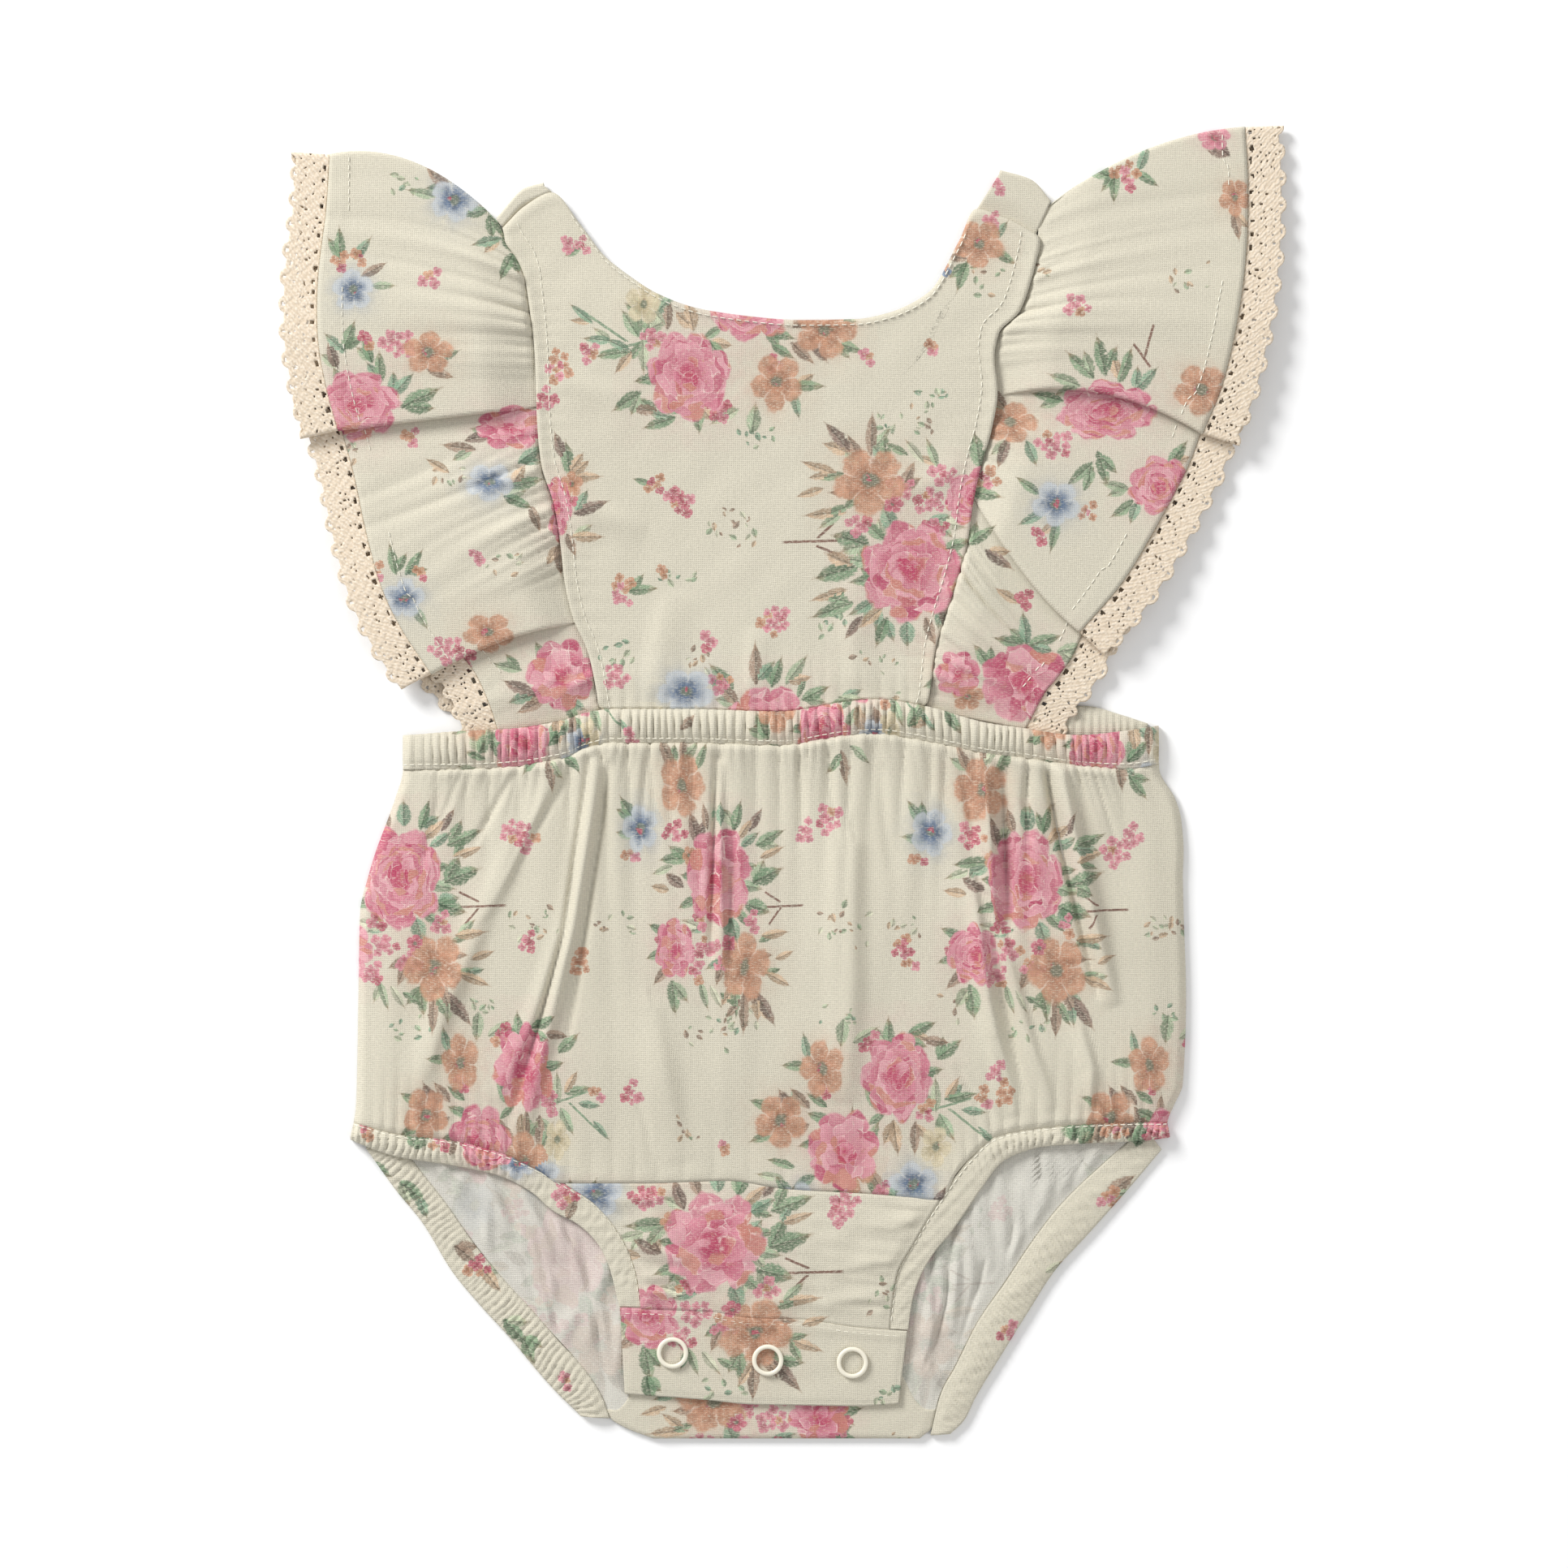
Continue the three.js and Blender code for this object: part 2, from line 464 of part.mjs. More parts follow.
// Fills four edges: each is a function of a share from 0 to 1, and their corners meet.
function patch(bottom, top, left, right) {
  const corners = [bottom(0), bottom(1), top(0), top(1)];
  return (u, v) =>
    [0, 1].map(
      (k) =>
        (1 - v) * bottom(u)[k] + v * top(u)[k] + (1 - u) * left(v)[k] + u * right(v)[k] -
        (1 - u) * (1 - v) * corners[0][k] - u * (1 - v) * corners[1][k] -
        (1 - u) * v * corners[2][k] - u * v * corners[3][k],
    );
}

// The height that a soft ridge adds at a place: a bell across it that tapers at both ends.
function ridgeHeight(fold, x, y) {
  const parts = [
    [fold.fromX, fold.fromY, fold.overX, fold.overY, 0],
    [fold.overX, fold.overY, fold.toX, fold.toY, 1],
  ];
  let best = 0;
  for (const [ax, ay, bx, by, half] of parts) {
    const length = Math.hypot(bx - ax, by - ay);
    const t = clamp(((x - ax) * (bx - ax) + (y - ay) * (by - ay)) / length ** 2, 0, 1);
    const away = Math.hypot(x - lerp(ax, bx, t), y - lerp(ay, by, t));
    const along = (half + t) / 2;
    const taper = Math.sin(Math.PI * clamp(0.12 + 0.88 * along, 0, 1)) ** 0.6;
    best = Math.max(best, fold.height * taper * Math.exp(-((away / fold.width) ** 2)));
  }
  return best;
}

const leftSide = column(SIDES, "y", "left");
const rightSide = column(SIDES, "y", "right");
const bandTop = column(FRONT_BAND, "x", "top");
const bandBottom = column(FRONT_BAND, "x", "bottom");
const seamLeft = column(BODICE_SEAMS, "y", "left");
const seamRight = column(BODICE_SEAMS, "y", "right");
const frontLowerEdge = column(FRONT_LOWER_EDGE, "x", "y");
const crotchSeam = column(CROTCH_SEAM, "x", "y");
const placketHem = column(PLACKET, "hemX", "hemY");
const placketStitch = column(PLACKET, "stitchX", "stitchY");

// The underside of the front layer: level inside, rolled down to the ground at both sides.
function frontUnder(x, y) {
  const inside = Math.min(x - leftSide(y), rightSide(y) - x);
  return FRONT_BASE * smooth(clamp(inside / SIDE_ROLL, 0, 1));
}

// The top of a front wall, kept as thick on the roll as elsewhere.
function frontUpper(x, y) {
  const inside = Math.min(x - leftSide(y), rightSide(y) - x);
  return WALL + FRONT_BASE * smooth(clamp((inside + 0.8) / SIDE_ROLL, 0, 1));
}

function bodyFolds(x, y) {
  const nearest = GATHERS.reduce((best, row, i) => (x >= row.x ? i : best), 0);
  const a = GATHERS[Math.min(nearest, GATHERS.length - 2)];
  const b = GATHERS[Math.min(nearest, GATHERS.length - 2) + 1];
  const t = clamp((x - a.x) / (b.x - a.x), 0, 1);
  const depth = bandBottom(x) - y;
  const size = (row) => row.height * Math.exp(-Math.max(depth, 0) / row.reach);
  const gather = lerp(size(a), size(b), t) * (0.5 + 0.5 * Math.cos(2 * Math.PI * t));
  const folds = FOLDS.reduce((sum, fold) => sum + ridgeHeight(fold, x, y), 0);
  const inside = Math.min(x - leftSide(y), rightSide(y) - x);
  const puff = BODY_PUFF * smooth(clamp(depth / 60, 0, 1)) * smooth(clamp((y + 122) / 40, 0, 1));
  return (gather + folds + puff) * smooth(clamp(inside / 12, 0, 1));
}

function frontPanel() {
  const top = (u) => {
    const x = lerp(-117, 115.75, u);
    return [x, bandBottom(x) - SEAM_GAP];
  };
  const bottom = (u) => {
    const x = lerp(-132.25, 118.3, u);
    return [x, frontLowerEdge(x) + SEAM_GAP];
  };
  const side = (edge) => (v) => {
    const y = lerp(bottom(edge)[1], top(edge)[1], v);
    return [edge ? rightSide(y) : leftSide(y), y];
  };
  const left = (v) => (v === 0 ? bottom(0) : v === 1 ? top(0) : side(0)(v));
  const right = (v) => (v === 0 ? bottom(1) : v === 1 ? top(1) : side(1)(v));
  const place = patch(bottom, top, left, right);
  const columns = GATHERS.slice(1).flatMap((row, i) =>
    [0, 1, 2].map((k) => (lerp(GATHERS[i].x, row.x, k / 3) + 117) / 232.75),
  );
  const edges = [0.006, 0.014, 0.025, 0.974, 0.985, 0.993, 1];
  const shares = [...columns, ...edges].sort((a, b) => a - b);
  const lines = [0, 0.1, 0.24, 0.4, 0.55, 0.7, 0.82, 0.91, 0.97, 1];
  return layPiece("front_panel", CLOTH, lines, shares, place,
    (x, y) => frontUnder(x, y) + bodyFolds(x, y),
    (x, y) => frontUpper(x, y) + bodyFolds(x, y));
}

function bodiceUnder(x, y) {
  const waist = (FRONT_BASE - BODICE_BASE) * smooth(clamp((42 - y) / 12, 0, 1));
  const soft = 0.5 * Math.sin((x + 20) / 17) * Math.sin((y - 20) / 24) + 0.5;
  return BODICE_BASE + waist + soft * smooth(clamp((y - 22) / 20, 0, 1)) * smooth(clamp((165 - y) / 20, 0, 1));
}

function bodiceFront() {
  const topX = column(BODICE_TOP, "share", "x");
  const topY = column(BODICE_TOP, "share", "y");
  const top = (u) => [topX(u), topY(u)];
  const bottom = (u) => {
    const x = lerp(seamLeft(23.4), seamRight(24.6), u);
    return [x, bandTop(x) + SEAM_GAP];
  };
  const left = (v) => {
    const y = lerp(bottom(0)[1], top(0)[1], v);
    return [v === 1 ? top(0)[0] : seamLeft(y), y];
  };
  const right = (v) => {
    const y = lerp(bottom(1)[1], top(1)[1], v);
    return [v === 1 ? top(1)[0] : seamRight(y), y];
  };
  const place = patch(bottom, top, left, right);
  return layPiece("bodice_front", CLOTH, evenly(15), evenly(18), place, bodiceUnder,
    (x, y) => bodiceUnder(x, y) + WALL);
}

// A ribbed wall between two edge curves: ribs cross it, strongest where weight says so.
function ribbedStrip(name, finish, shape) {
  const { inner, outer, ribs, samples, ribHeight, under, upper, weight } = shape;
  const lineShares = evenly(ribs * samples);
  const place = (u, v) => {
    const a = inner(v);
    const b = outer(v);
    return [lerp(a[0], b[0], u), lerp(a[1], b[1], u)];
  };
  const rib = (v) => ribHeight * weight(v) * (0.5 - 0.5 * Math.cos(2 * Math.PI * ribs * v));
  return layPiece(name, finish, lineShares, [0, 1], place, under,
    (x, y, u, v) => upper(x, y) + rib(v));
}

function waistbandFront() {
  return ribbedStrip("waistband_front", CLOTH, {
    inner: (v) => [lerp(-117, 115.5, v), bandBottom(lerp(-117, 115.5, v))],
    outer: (v) => [lerp(-117, 115.5, v), bandTop(lerp(-117, 115.5, v))],
    ribs: BAND_RIBS,
    samples: 3,
    ribHeight: BAND_RIB_HEIGHT,
    under: frontUnder,
    upper: frontUpper,
    weight: (v) => smooth(clamp(v / 0.06, 0, 1)) * smooth(clamp((1 - v) / 0.06, 0, 1)),
  });
}

function waistbandBack() {
  const top = column(BACK_BAND, "x", "top");
  const bottom = column(BACK_BAND, "x", "bottom");
  const x = (v) => lerp(BACK_BAND[0].x, BACK_BAND.at(-1).x, v);
  return ribbedStrip("waistband_back", WRONG_SIDE, {
    inner: (v) => [x(v), bottom(x(v))],
    outer: (v) => [x(v), top(x(v))],
    ribs: BACK_BAND_RIBS,
    samples: 3,
    ribHeight: BACK_RIB_HEIGHT,
    under: () => 0,
    upper: () => WALL,
    weight: () => 1,
  });
}

// Two curves along the pairs of a casing table, a seam gap away from the panel inside it.
function casingEdges(table) {
  let length = 0;
  const rows = table.map((row, i) => {
    if (i) length += Math.hypot(row.outerX - table[i - 1].outerX, row.outerY - table[i - 1].outerY);
    const width = Math.hypot(row.outerX - row.innerX, row.outerY - row.innerY);
    const gap = SEAM_GAP / width;
    return {
      at: length,
      outerX: row.outerX,
      outerY: row.outerY,
      innerX: lerp(row.innerX, row.outerX, gap),
      innerY: lerp(row.innerY, row.outerY, gap),
    };
  });
  const curve = (x, y) => {
    const readX = column(rows, "at", x);
    const readY = column(rows, "at", y);
    return (v) => [readX(v * length), readY(v * length)];
  };
  return { inner: curve("innerX", "innerY"), outer: curve("outerX", "outerY") };
}

function legCasingFront(name, table) {
  return ribbedStrip(name, CLOTH, {
    ...casingEdges(table),
    ribs: FRONT_CASING_RIBS,
    samples: 4,
    ribHeight: CASING_RIB_HEIGHT,
    under: frontUnder,
    upper: frontUpper,
    weight: (v) => 0.25 + 0.75 * smooth(clamp((0.62 - v) / 0.15, 0, 1)),
  });
}

function legCasingBack(name, table) {
  return ribbedStrip(name, WRONG_SIDE, {
    ...casingEdges(table),
    ribs: BACK_CASING_RIBS,
    samples: 4,
    ribHeight: BACK_RIB_HEIGHT,
    under: () => 0,
    upper: () => WALL,
    weight: () => 1,
  });
}

function crotchPanel() {
  const edge = (rows) => {
    const readX = column(rows.map((row, i) => ({ at: i / (rows.length - 1), x: row.innerX })), "at", "x");
    const readY = column(rows.map((row, i) => ({ at: i / (rows.length - 1), y: row.innerY })), "at", "y");
    return (v) => [readX(v), readY(v)];
  };
  const left = edge([{ innerX: -67, innerY: -123.15 }, ...LEG_CASINGS.frontLeft.slice(6)].toReversed());
  const right = edge([{ innerX: 47.9, innerY: -128.3 }, ...LEG_CASINGS.frontRight.slice(7)].toReversed());
  const top = (u) => {
    const x = lerp(left(1)[0], right(1)[0], u);
    return [x, crotchSeam(x) - SEAM_GAP];
  };
  const bottom = (u) => {
    const x = lerp(left(0)[0], right(0)[0], u);
    return [x, placketStitch(x) + SEAM_GAP];
  };
  const pinned = (curve, u) => (v) => (v === 0 ? bottom(u) : v === 1 ? top(u) : curve(v));
  const place = patch(bottom, top, pinned(left, 0), pinned(right, 1));
  const puff = (x, y) => 0.9 * Math.sin(Math.PI * clamp((y + 164) / 40, 0, 1)) * smooth((60 - Math.abs(x + 8)) / 30);
  return layPiece("crotch_panel", CLOTH, evenly(9), evenly(12), place,
    (x, y) => FRONT_BASE + puff(x, y),
    (x, y) => FRONT_BASE + WALL + puff(x, y));
}

function snapPlacket() {
  const place = (u, v) => {
    const topX = lerp(PLACKET[0].stitchX, PLACKET.at(-1).stitchX, u);
    const hemX = lerp(PLACKET[0].hemX, PLACKET.at(-1).hemX, u);
    const top = placketStitch(topX) - SEAM_GAP;
    return [lerp(hemX, topX, v), lerp(placketHem(hemX), top, v)];
  };
  return layPiece("snap_placket", CLOTH, evenly(3), evenly(14), place,
    () => FRONT_BASE,
    () => FRONT_BASE + WALL);
}

function snapRing({ name, x, y }) {
  const ring = new THREE.TorusGeometry(SNAP_RING_RADIUS, SNAP_TUBE, 6, 18);
  ring.translate(x, y, FRONT_BASE + WALL + 0.3 + SNAP_TUBE);
  const mesh = new THREE.Mesh(ring, new THREE.MeshStandardMaterial(SNAP));
  mesh.name = name;
  return mesh;
}

function backPanel() {
  const left = column(BACK_SIDES, "y", "left");
  const right = column(BACK_SIDES, "y", "right");
  const bandEdge = column(BACK_BAND, "x", "bottom");
  const bottomY = BACK_SIDES.at(-1).y;
  const place = (u, v) => {
    const sideY = lerp(bottomY, 2.4, v);
    const x = lerp(left(sideY), right(sideY), u);
    const rise = clamp((v - 0.8) / 0.2, 0, 1);
    return [x, lerp(sideY, bandEdge(x) - SEAM_GAP + (sideY - 2.4), rise)];
  };
  const creases = (x, y) => BACK_CREASES.reduce((most, fold) => Math.max(most, ridgeHeight(fold, x, y)), 0);
  const lines = BACK_SIDES.map((row) => (row.y - bottomY) / (2.4 - bottomY)).toReversed();
  return layPiece("back_panel", WRONG_SIDE, lines, evenly(17), place,
    () => 0,
    (x, y) => WALL + creases(x, y));
}

// Turns the spokes of a folded strip into one wall, offset both ways along its own normal.
function foldedWall(name, finish, lines, thickness) {
  const at = (i, j) => new THREE.Vector3(...lines[clamp(i, 0, lines.length - 1)][clamp(j, 0, lines[0].length - 1)]);
  const offset = (sign) =>
    lines.map((line, i) =>
      line.map((point, j) => {
        const along = at(i + 1, j).sub(at(i, j)).normalize().add(at(i, j).sub(at(i - 1, j)).normalize());
        const across = at(i, j + 1).sub(at(i, j - 1));
        const normal = along.cross(across).normalize();
        return at(i, j).addScaledVector(normal, (sign * thickness) / 2).toArray();
      }),
    );
  return wallMesh(name, finish, offset(-1), offset(1));
}

// Reads a row between two rows of a run, on a soft curve through all of the run's rows.
function between(run, i, t) {
  const rowAt = (k) => run[clamp(k, 0, run.length - 1)];
  const value = (name) => {
    const slope = (k) => (rowAt(k + 1)[name] - rowAt(k - 1)[name]) / (k === 0 || k === run.length - 1 ? 1 : 2);
    const a = rowAt(i)[name] * (1 + 2 * t) * (1 - t) ** 2 + slope(i) * t * (1 - t) ** 2;
    const b = rowAt(i + 1)[name] * t * t * (3 - 2 * t) - slope(i + 1) * t * t * (1 - t);
    return a + b;
  };
  const linear = (name) => lerp(rowAt(i)[name], rowAt(i + 1)[name], t);
  return {
    seamY: value("seamY"), hemX: value("hemX"), hemY: value("hemY"),
    bow: linear("bow"), height: linear("height"), gather: linear("gather"),
  };
}

// All spokes of a ruffle, in order along its cloth, with the half turns at its folds.
function ruffleSpokes(table, seam, seamStep, hemStep, backStep) {
  const spokes = [];
  let run = [];
  let layer = 0;
  table.forEach((row, index) => {
    run.push(row);
    if (!row.turn && index < table.length - 1) return;
    for (let i = 0; i < run.length - 1; i++) {
      const a = run[i];
      const b = run[i + 1];
      const hemLength = Math.hypot(b.hemX - a.hemX, b.hemY - a.hemY);
      const hidden = a.height === BACK_LAYER_MIDDLE;
      const steps = hidden
        ? Math.ceil(hemLength / backStep)
        : Math.ceil(Math.max(Math.abs(b.seamY - a.seamY) / seamStep, hemLength / hemStep));
      for (let k = 0; k < steps; k++) spokes.push({ ...between(run, i, k / steps), layer });
    }
    const end = { ...between(run, run.length - 2, 1), layer };
    const before = spokes.at(-1);
    spokes.push(end);
    if (row.turn) {
      const next = table[index + 1];
      const radius = Math.abs(next.height - row.height) / 2;
      const hemLength = Math.hypot(end.hemX - before.hemX, end.hemY - before.hemY);
      for (let k = 1; k < TUCK_STEPS; k++) {
        const angle = (Math.PI * k) / TUCK_STEPS;
        const out = radius * Math.sin(angle);
        spokes.push({
          ...end,
          layer: null,
          seamY: end.seamY + out * Math.sign(end.seamY - before.seamY),
          hemX: end.hemX + (out * (end.hemX - before.hemX)) / hemLength,
          hemY: end.hemY + (out * (end.hemY - before.hemY)) / hemLength,
          height: lerp(row.height, next.height, (1 - Math.cos(angle)) / 2),
        });
      }
    }
    run = [];
    layer += 1;
  });
  return spokes.map((spoke) => ({ ...spoke, seamX: seam(spoke.seamY) }));
}

// A place on a spoke: share runs from 0 at the seam to 1 at the hem.
function onSpoke(spoke, share, phase) {
  const lift = spoke.bow * 4 * share * (1 - share);
  const wave = RUFFLE_GATHER * spoke.gather * (1 - share) ** 1.5;
  return [
    lerp(spoke.seamX, spoke.hemX, share),
    lerp(spoke.seamY, spoke.hemY, share) + lift,
    spoke.height + wave * (0.5 - 0.5 * Math.cos(phase)),
  ];
}

function ruffle(name, table, side) {
  const seam = side === "left" ? (y) => seamLeft(y) - RUFFLE_SEAM_GAP : (y) => seamRight(y) + RUFFLE_SEAM_GAP;
  const spokes = ruffleSpokes(table, seam, 2.9, 9, 10);
  const lines = spokes.map((spoke) => {
    const phase = (2 * Math.PI * spoke.seamY) / RUFFLE_GATHER_PITCH;
    return [0, 0.18, 0.5, 1].map((share) => onSpoke(spoke, share, phase));
  });
  return foldedWall(name, CLOTH, lines, RUFFLE_WALL);
}

// The way that the lace points from each spoke: mostly square to the hem, softened at the folds.
function laceDirections(spokes) {
  const near = (i, step) => {
    const other = spokes[i + step];
    return other && other.layer === spokes[i].layer ? other : spokes[i];
  };
  let last = [0, 0];
  const square = spokes.map((spoke, i) => {
    const straight = [spoke.hemX - spoke.seamX, spoke.hemY - spoke.seamY];
    const length = Math.hypot(...straight);
    if (spoke.layer !== null) {
      const along = [near(i, 1).hemX - near(i, -1).hemX, near(i, 1).hemY - near(i, -1).hemY];
      const size = Math.hypot(...along);
      const side = Math.sign(along[1] * straight[0] - along[0] * straight[1]);
      last = [(side * along[1]) / size, (-side * along[0]) / size];
    }
    return last.map((value, k) => 3 * value + straight[k] / length);
  });
  return square.map((_, i) => {
    const window = square.slice(Math.max(i - 3, 0), i + 4);
    const sum = [0, 1].map((k) => window.reduce((total, direction) => total + direction[k], 0));
    return sum.map((value) => value / Math.hypot(...sum));
  });
}

// The lace is sewn on along the ruffle's hem and ends in a row of scallops.
function lace(name, table, side) {
  const seam = side === "left" ? (y) => seamLeft(y) - RUFFLE_SEAM_GAP : (y) => seamRight(y) + RUFFLE_SEAM_GAP;
  const spokes = ruffleSpokes(table, seam, 30, SCALLOP_PITCH / 3, 12);
  const directions = laceDirections(spokes);
  let run = 0;
  const lines = spokes.map((spoke, i) => {
    const last = spokes[Math.max(i - 1, 0)];
    run += Math.hypot(spoke.hemX - last.hemX, spoke.hemY - last.hemY);
    const scallop = spoke.height === BACK_LAYER_MIDDLE ? 1 : Math.abs(Math.sin((Math.PI * run) / SCALLOP_PITCH));
    const width = LACE_WIDTH - SCALLOP_DEPTH * (1 - scallop);
    const [directionX, directionY] = directions[i];
    return [SEAM_GAP, width].map((out) => [
      spoke.hemX + out * directionX,
      spoke.hemY + out * directionY,
      spoke.height,
    ]);
  });
  return foldedWall(name, LACE, lines, RUFFLE_WALL);
}

// A strap starts at the shoulder seam, folds over the shoulder and runs down behind the bodice.
function strap(name, table, side) {
  const read = (key) => column(table, "share", key);
  const [startX, startY, foldX, foldY] = ["startX", "startY", "foldX", "foldY"].map(read);
  const sign = side === "left" ? 1 : -1;
  const outerEdge = (y) => (side === "left" ? seamLeft(y) : seamRight(y)) + sign * SEAM_GAP / 2;
  const backBandTop = column(BACK_BAND, "x", "top");
  const frontMiddle = BODICE_BASE + RUFFLE_WALL / 2;
  const radius = (frontMiddle - BACK_LAYER_MIDDLE) / 2;
  const lines = [];
  const shares = evenly(4);
  const fold = (u, out, z) => [foldX(u), foldY(u) - radius + out, z];
  lines.push(shares.map((u) => [startX(u), startY(u), frontMiddle]));
  lines.push(shares.map((u) => fold(u, 0, frontMiddle)));
  for (let k = 1; k < TUCK_STEPS; k++) {
    const angle = (Math.PI * k) / TUCK_STEPS;
    const z = lerp(frontMiddle, BACK_LAYER_MIDDLE, (1 - Math.cos(angle)) / 2);
    lines.push(shares.map((u) => fold(u, radius * Math.sin(angle), z)));
  }
  lines.push(shares.map((u) => fold(u, 0, BACK_LAYER_MIDDLE)));
  for (const t of evenly(20).slice(1)) {
    lines.push(shares.map((u) => {
      const endX = outerEdge(0) + sign * STRAP_WIDTH * u;
      const y = lerp(foldY(u) - radius, backBandTop(endX) + SEAM_GAP, t);
      const settled = outerEdge(y) + sign * STRAP_WIDTH * u;
      const astray = foldX(u) - outerEdge(foldY(u)) - sign * STRAP_WIDTH * u;
      return [settled + astray * (1 - smooth(clamp(t * 5, 0, 1))), y, BACK_LAYER_MIDDLE];
    }));
  }
  return foldedWall(name, CLOTH, lines, RUFFLE_WALL);
}

const romper = new THREE.Group();
romper.add(
  bodiceFront(),
  strap("strap_left", STRAPS.left, "left"),
  strap("strap_right", STRAPS.right, "right"),
  ruffle("ruffle_left", RUFFLES.left, "left"),
  ruffle("ruffle_right", RUFFLES.right, "right"),
  lace("lace_left", RUFFLES.left, "left"),
  lace("lace_right", RUFFLES.right, "right"),
  waistbandFront(),
  waistbandBack(),
  frontPanel(),
  crotchPanel(),
  snapPlacket(),
  legCasingFront("leg_casing_front_left", LEG_CASINGS.frontLeft),
  legCasingFront("leg_casing_front_right", LEG_CASINGS.frontRight),
  backPanel(),
  legCasingBack("leg_casing_back_left", LEG_CASINGS.backLeft),
  legCasingBack("leg_casing_back_right", LEG_CASINGS.backRight),
  ...SNAPS.map(snapRing),
);

// The origin is the middle of the outline, on the ground.
const middle = new THREE.Box3().setFromObject(romper).getCenter(new THREE.Vector3());
romper.position.set(-middle.x, -middle.y, 0);

export default romper;
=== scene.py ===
import math

import bpy
import numpy as np
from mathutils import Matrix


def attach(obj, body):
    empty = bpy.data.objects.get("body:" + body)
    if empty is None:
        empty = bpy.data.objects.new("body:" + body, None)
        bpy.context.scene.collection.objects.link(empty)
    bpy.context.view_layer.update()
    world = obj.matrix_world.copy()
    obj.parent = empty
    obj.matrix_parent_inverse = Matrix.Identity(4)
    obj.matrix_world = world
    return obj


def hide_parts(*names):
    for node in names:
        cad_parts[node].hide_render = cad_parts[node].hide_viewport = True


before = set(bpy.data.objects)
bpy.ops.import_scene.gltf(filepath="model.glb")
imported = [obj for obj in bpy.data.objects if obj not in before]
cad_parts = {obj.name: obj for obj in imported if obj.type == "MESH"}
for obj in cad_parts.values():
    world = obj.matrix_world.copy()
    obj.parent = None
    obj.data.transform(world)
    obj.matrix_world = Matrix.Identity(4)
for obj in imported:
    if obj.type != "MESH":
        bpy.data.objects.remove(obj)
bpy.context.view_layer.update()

# Back bloomer panel: the wrong side of the printed gauze, lying on the table.
# It shows through both leg openings, faded and softly creased, and below the snap placket. Its ground is
# darkened a little as painted shade from the front layer over it.
# Places are in mm as measured in the photo, and ORIGIN_SHIFT brings them to the part's own origin.
ORIGIN_SHIFT = np.array([0.113, -0.688, 0.0])
MM = 0.001
WALL = 1.1
SEAM_GAP = 0.03


def table(names, rows):
    """Rows of numbers as one array for each named column."""
    return dict(zip(names.split(), np.array(rows, float).T))


def column(rows, key, name):
    """A curve through a column: cubic between rows, each slope the harmonic mean of its neighbours."""
    order = np.argsort(rows[key])
    x, y = rows[key][order], rows[name][order]
    step = np.diff(x)
    slope = np.diff(y) / step
    product = slope[:-1] * slope[1:]
    total = np.where(slope[:-1] + slope[1:] == 0, 1, slope[:-1] + slope[1:])
    inner = np.where(product > 0, 2 * product / total, 0)
    tangent = np.concatenate([slope[:1], inner, slope[-1:]])

    def read(at):
        at = np.clip(at, x[0], x[-1])
        i = np.clip(np.searchsorted(x, at, side="right") - 1, 0, len(step) - 1)
        t = (at - x[i]) / step[i]
        start = y[i] * (1 + 2 * t) * (1 - t) ** 2 + tangent[i] * step[i] * t * (1 - t) ** 2
        end = y[i + 1] * t * t * (3 - 2 * t) - tangent[i + 1] * step[i] * t * t * (1 - t)
        return start + end

    return read


def grid(down, across):
    """Two arrays over a grid, one changing down it and one across it. A whole number stands for
    that many even steps from 0 to 1."""
    values = [np.linspace(0, 1, v) if isinstance(v, int) else v for v in (down, across)]
    return np.meshgrid(*values, indexing="ij")


def ease(value):
    """0 below 0, 1 above 1, and a smooth S between them."""
    t = np.clip(value, 0, 1)
    return t * t * (3 - 2 * t)


def blend(a, b, t):
    """A straight mix: a where t is 0, b where t is 1."""
    return a + (b - a) * t


def ridge(rows, x, y, steep=1.0):
    """The highest of several soft ridges: a bell across a bent line, tapering at both its ends.
    A steep ridge falls faster on the right of its direction than on the left."""
    best = np.zeros_like(x)
    for row in zip(*rows.values()):
        from_x, from_y, over_x, over_y, to_x, to_y, height, width = row
        for ax, ay, bx, by, half in (
            (from_x, from_y, over_x, over_y, 0),
            (over_x, over_y, to_x, to_y, 1),
        ):
            square = (bx - ax) ** 2 + (by - ay) ** 2
            t = np.clip(((x - ax) * (bx - ax) + (y - ay) * (by - ay)) / square, 0, 1)
            away = np.hypot(x - blend(ax, bx, t), y - blend(ay, by, t))
            lee = (x - ax) * (by - ay) - (y - ay) * (bx - ax) < 0
            away = away * np.where(lee, steep, 1.0)
            taper = np.sin(np.pi * np.clip(0.12 + 0.44 * (half + t), 0, 1)) ** 0.6
            best = np.maximum(best, height * taper * np.exp(-((away / width) ** 2)))
    return best


def crumple(x, y, size, seed):
    """Small soft unevenness from -1 to 1: four crossed sine waves about one size long."""
    rng = np.random.default_rng(seed)
    total = np.zeros_like(x)
    for turn, phase, stretch in rng.random((4, 3)):
        angle = math.pi * turn
        along = x * math.cos(angle) + y * math.sin(angle)
        total += np.sin(2 * math.pi * along / (size * (0.7 + 0.8 * stretch)) + 6.3 * phase)
    return total / 4
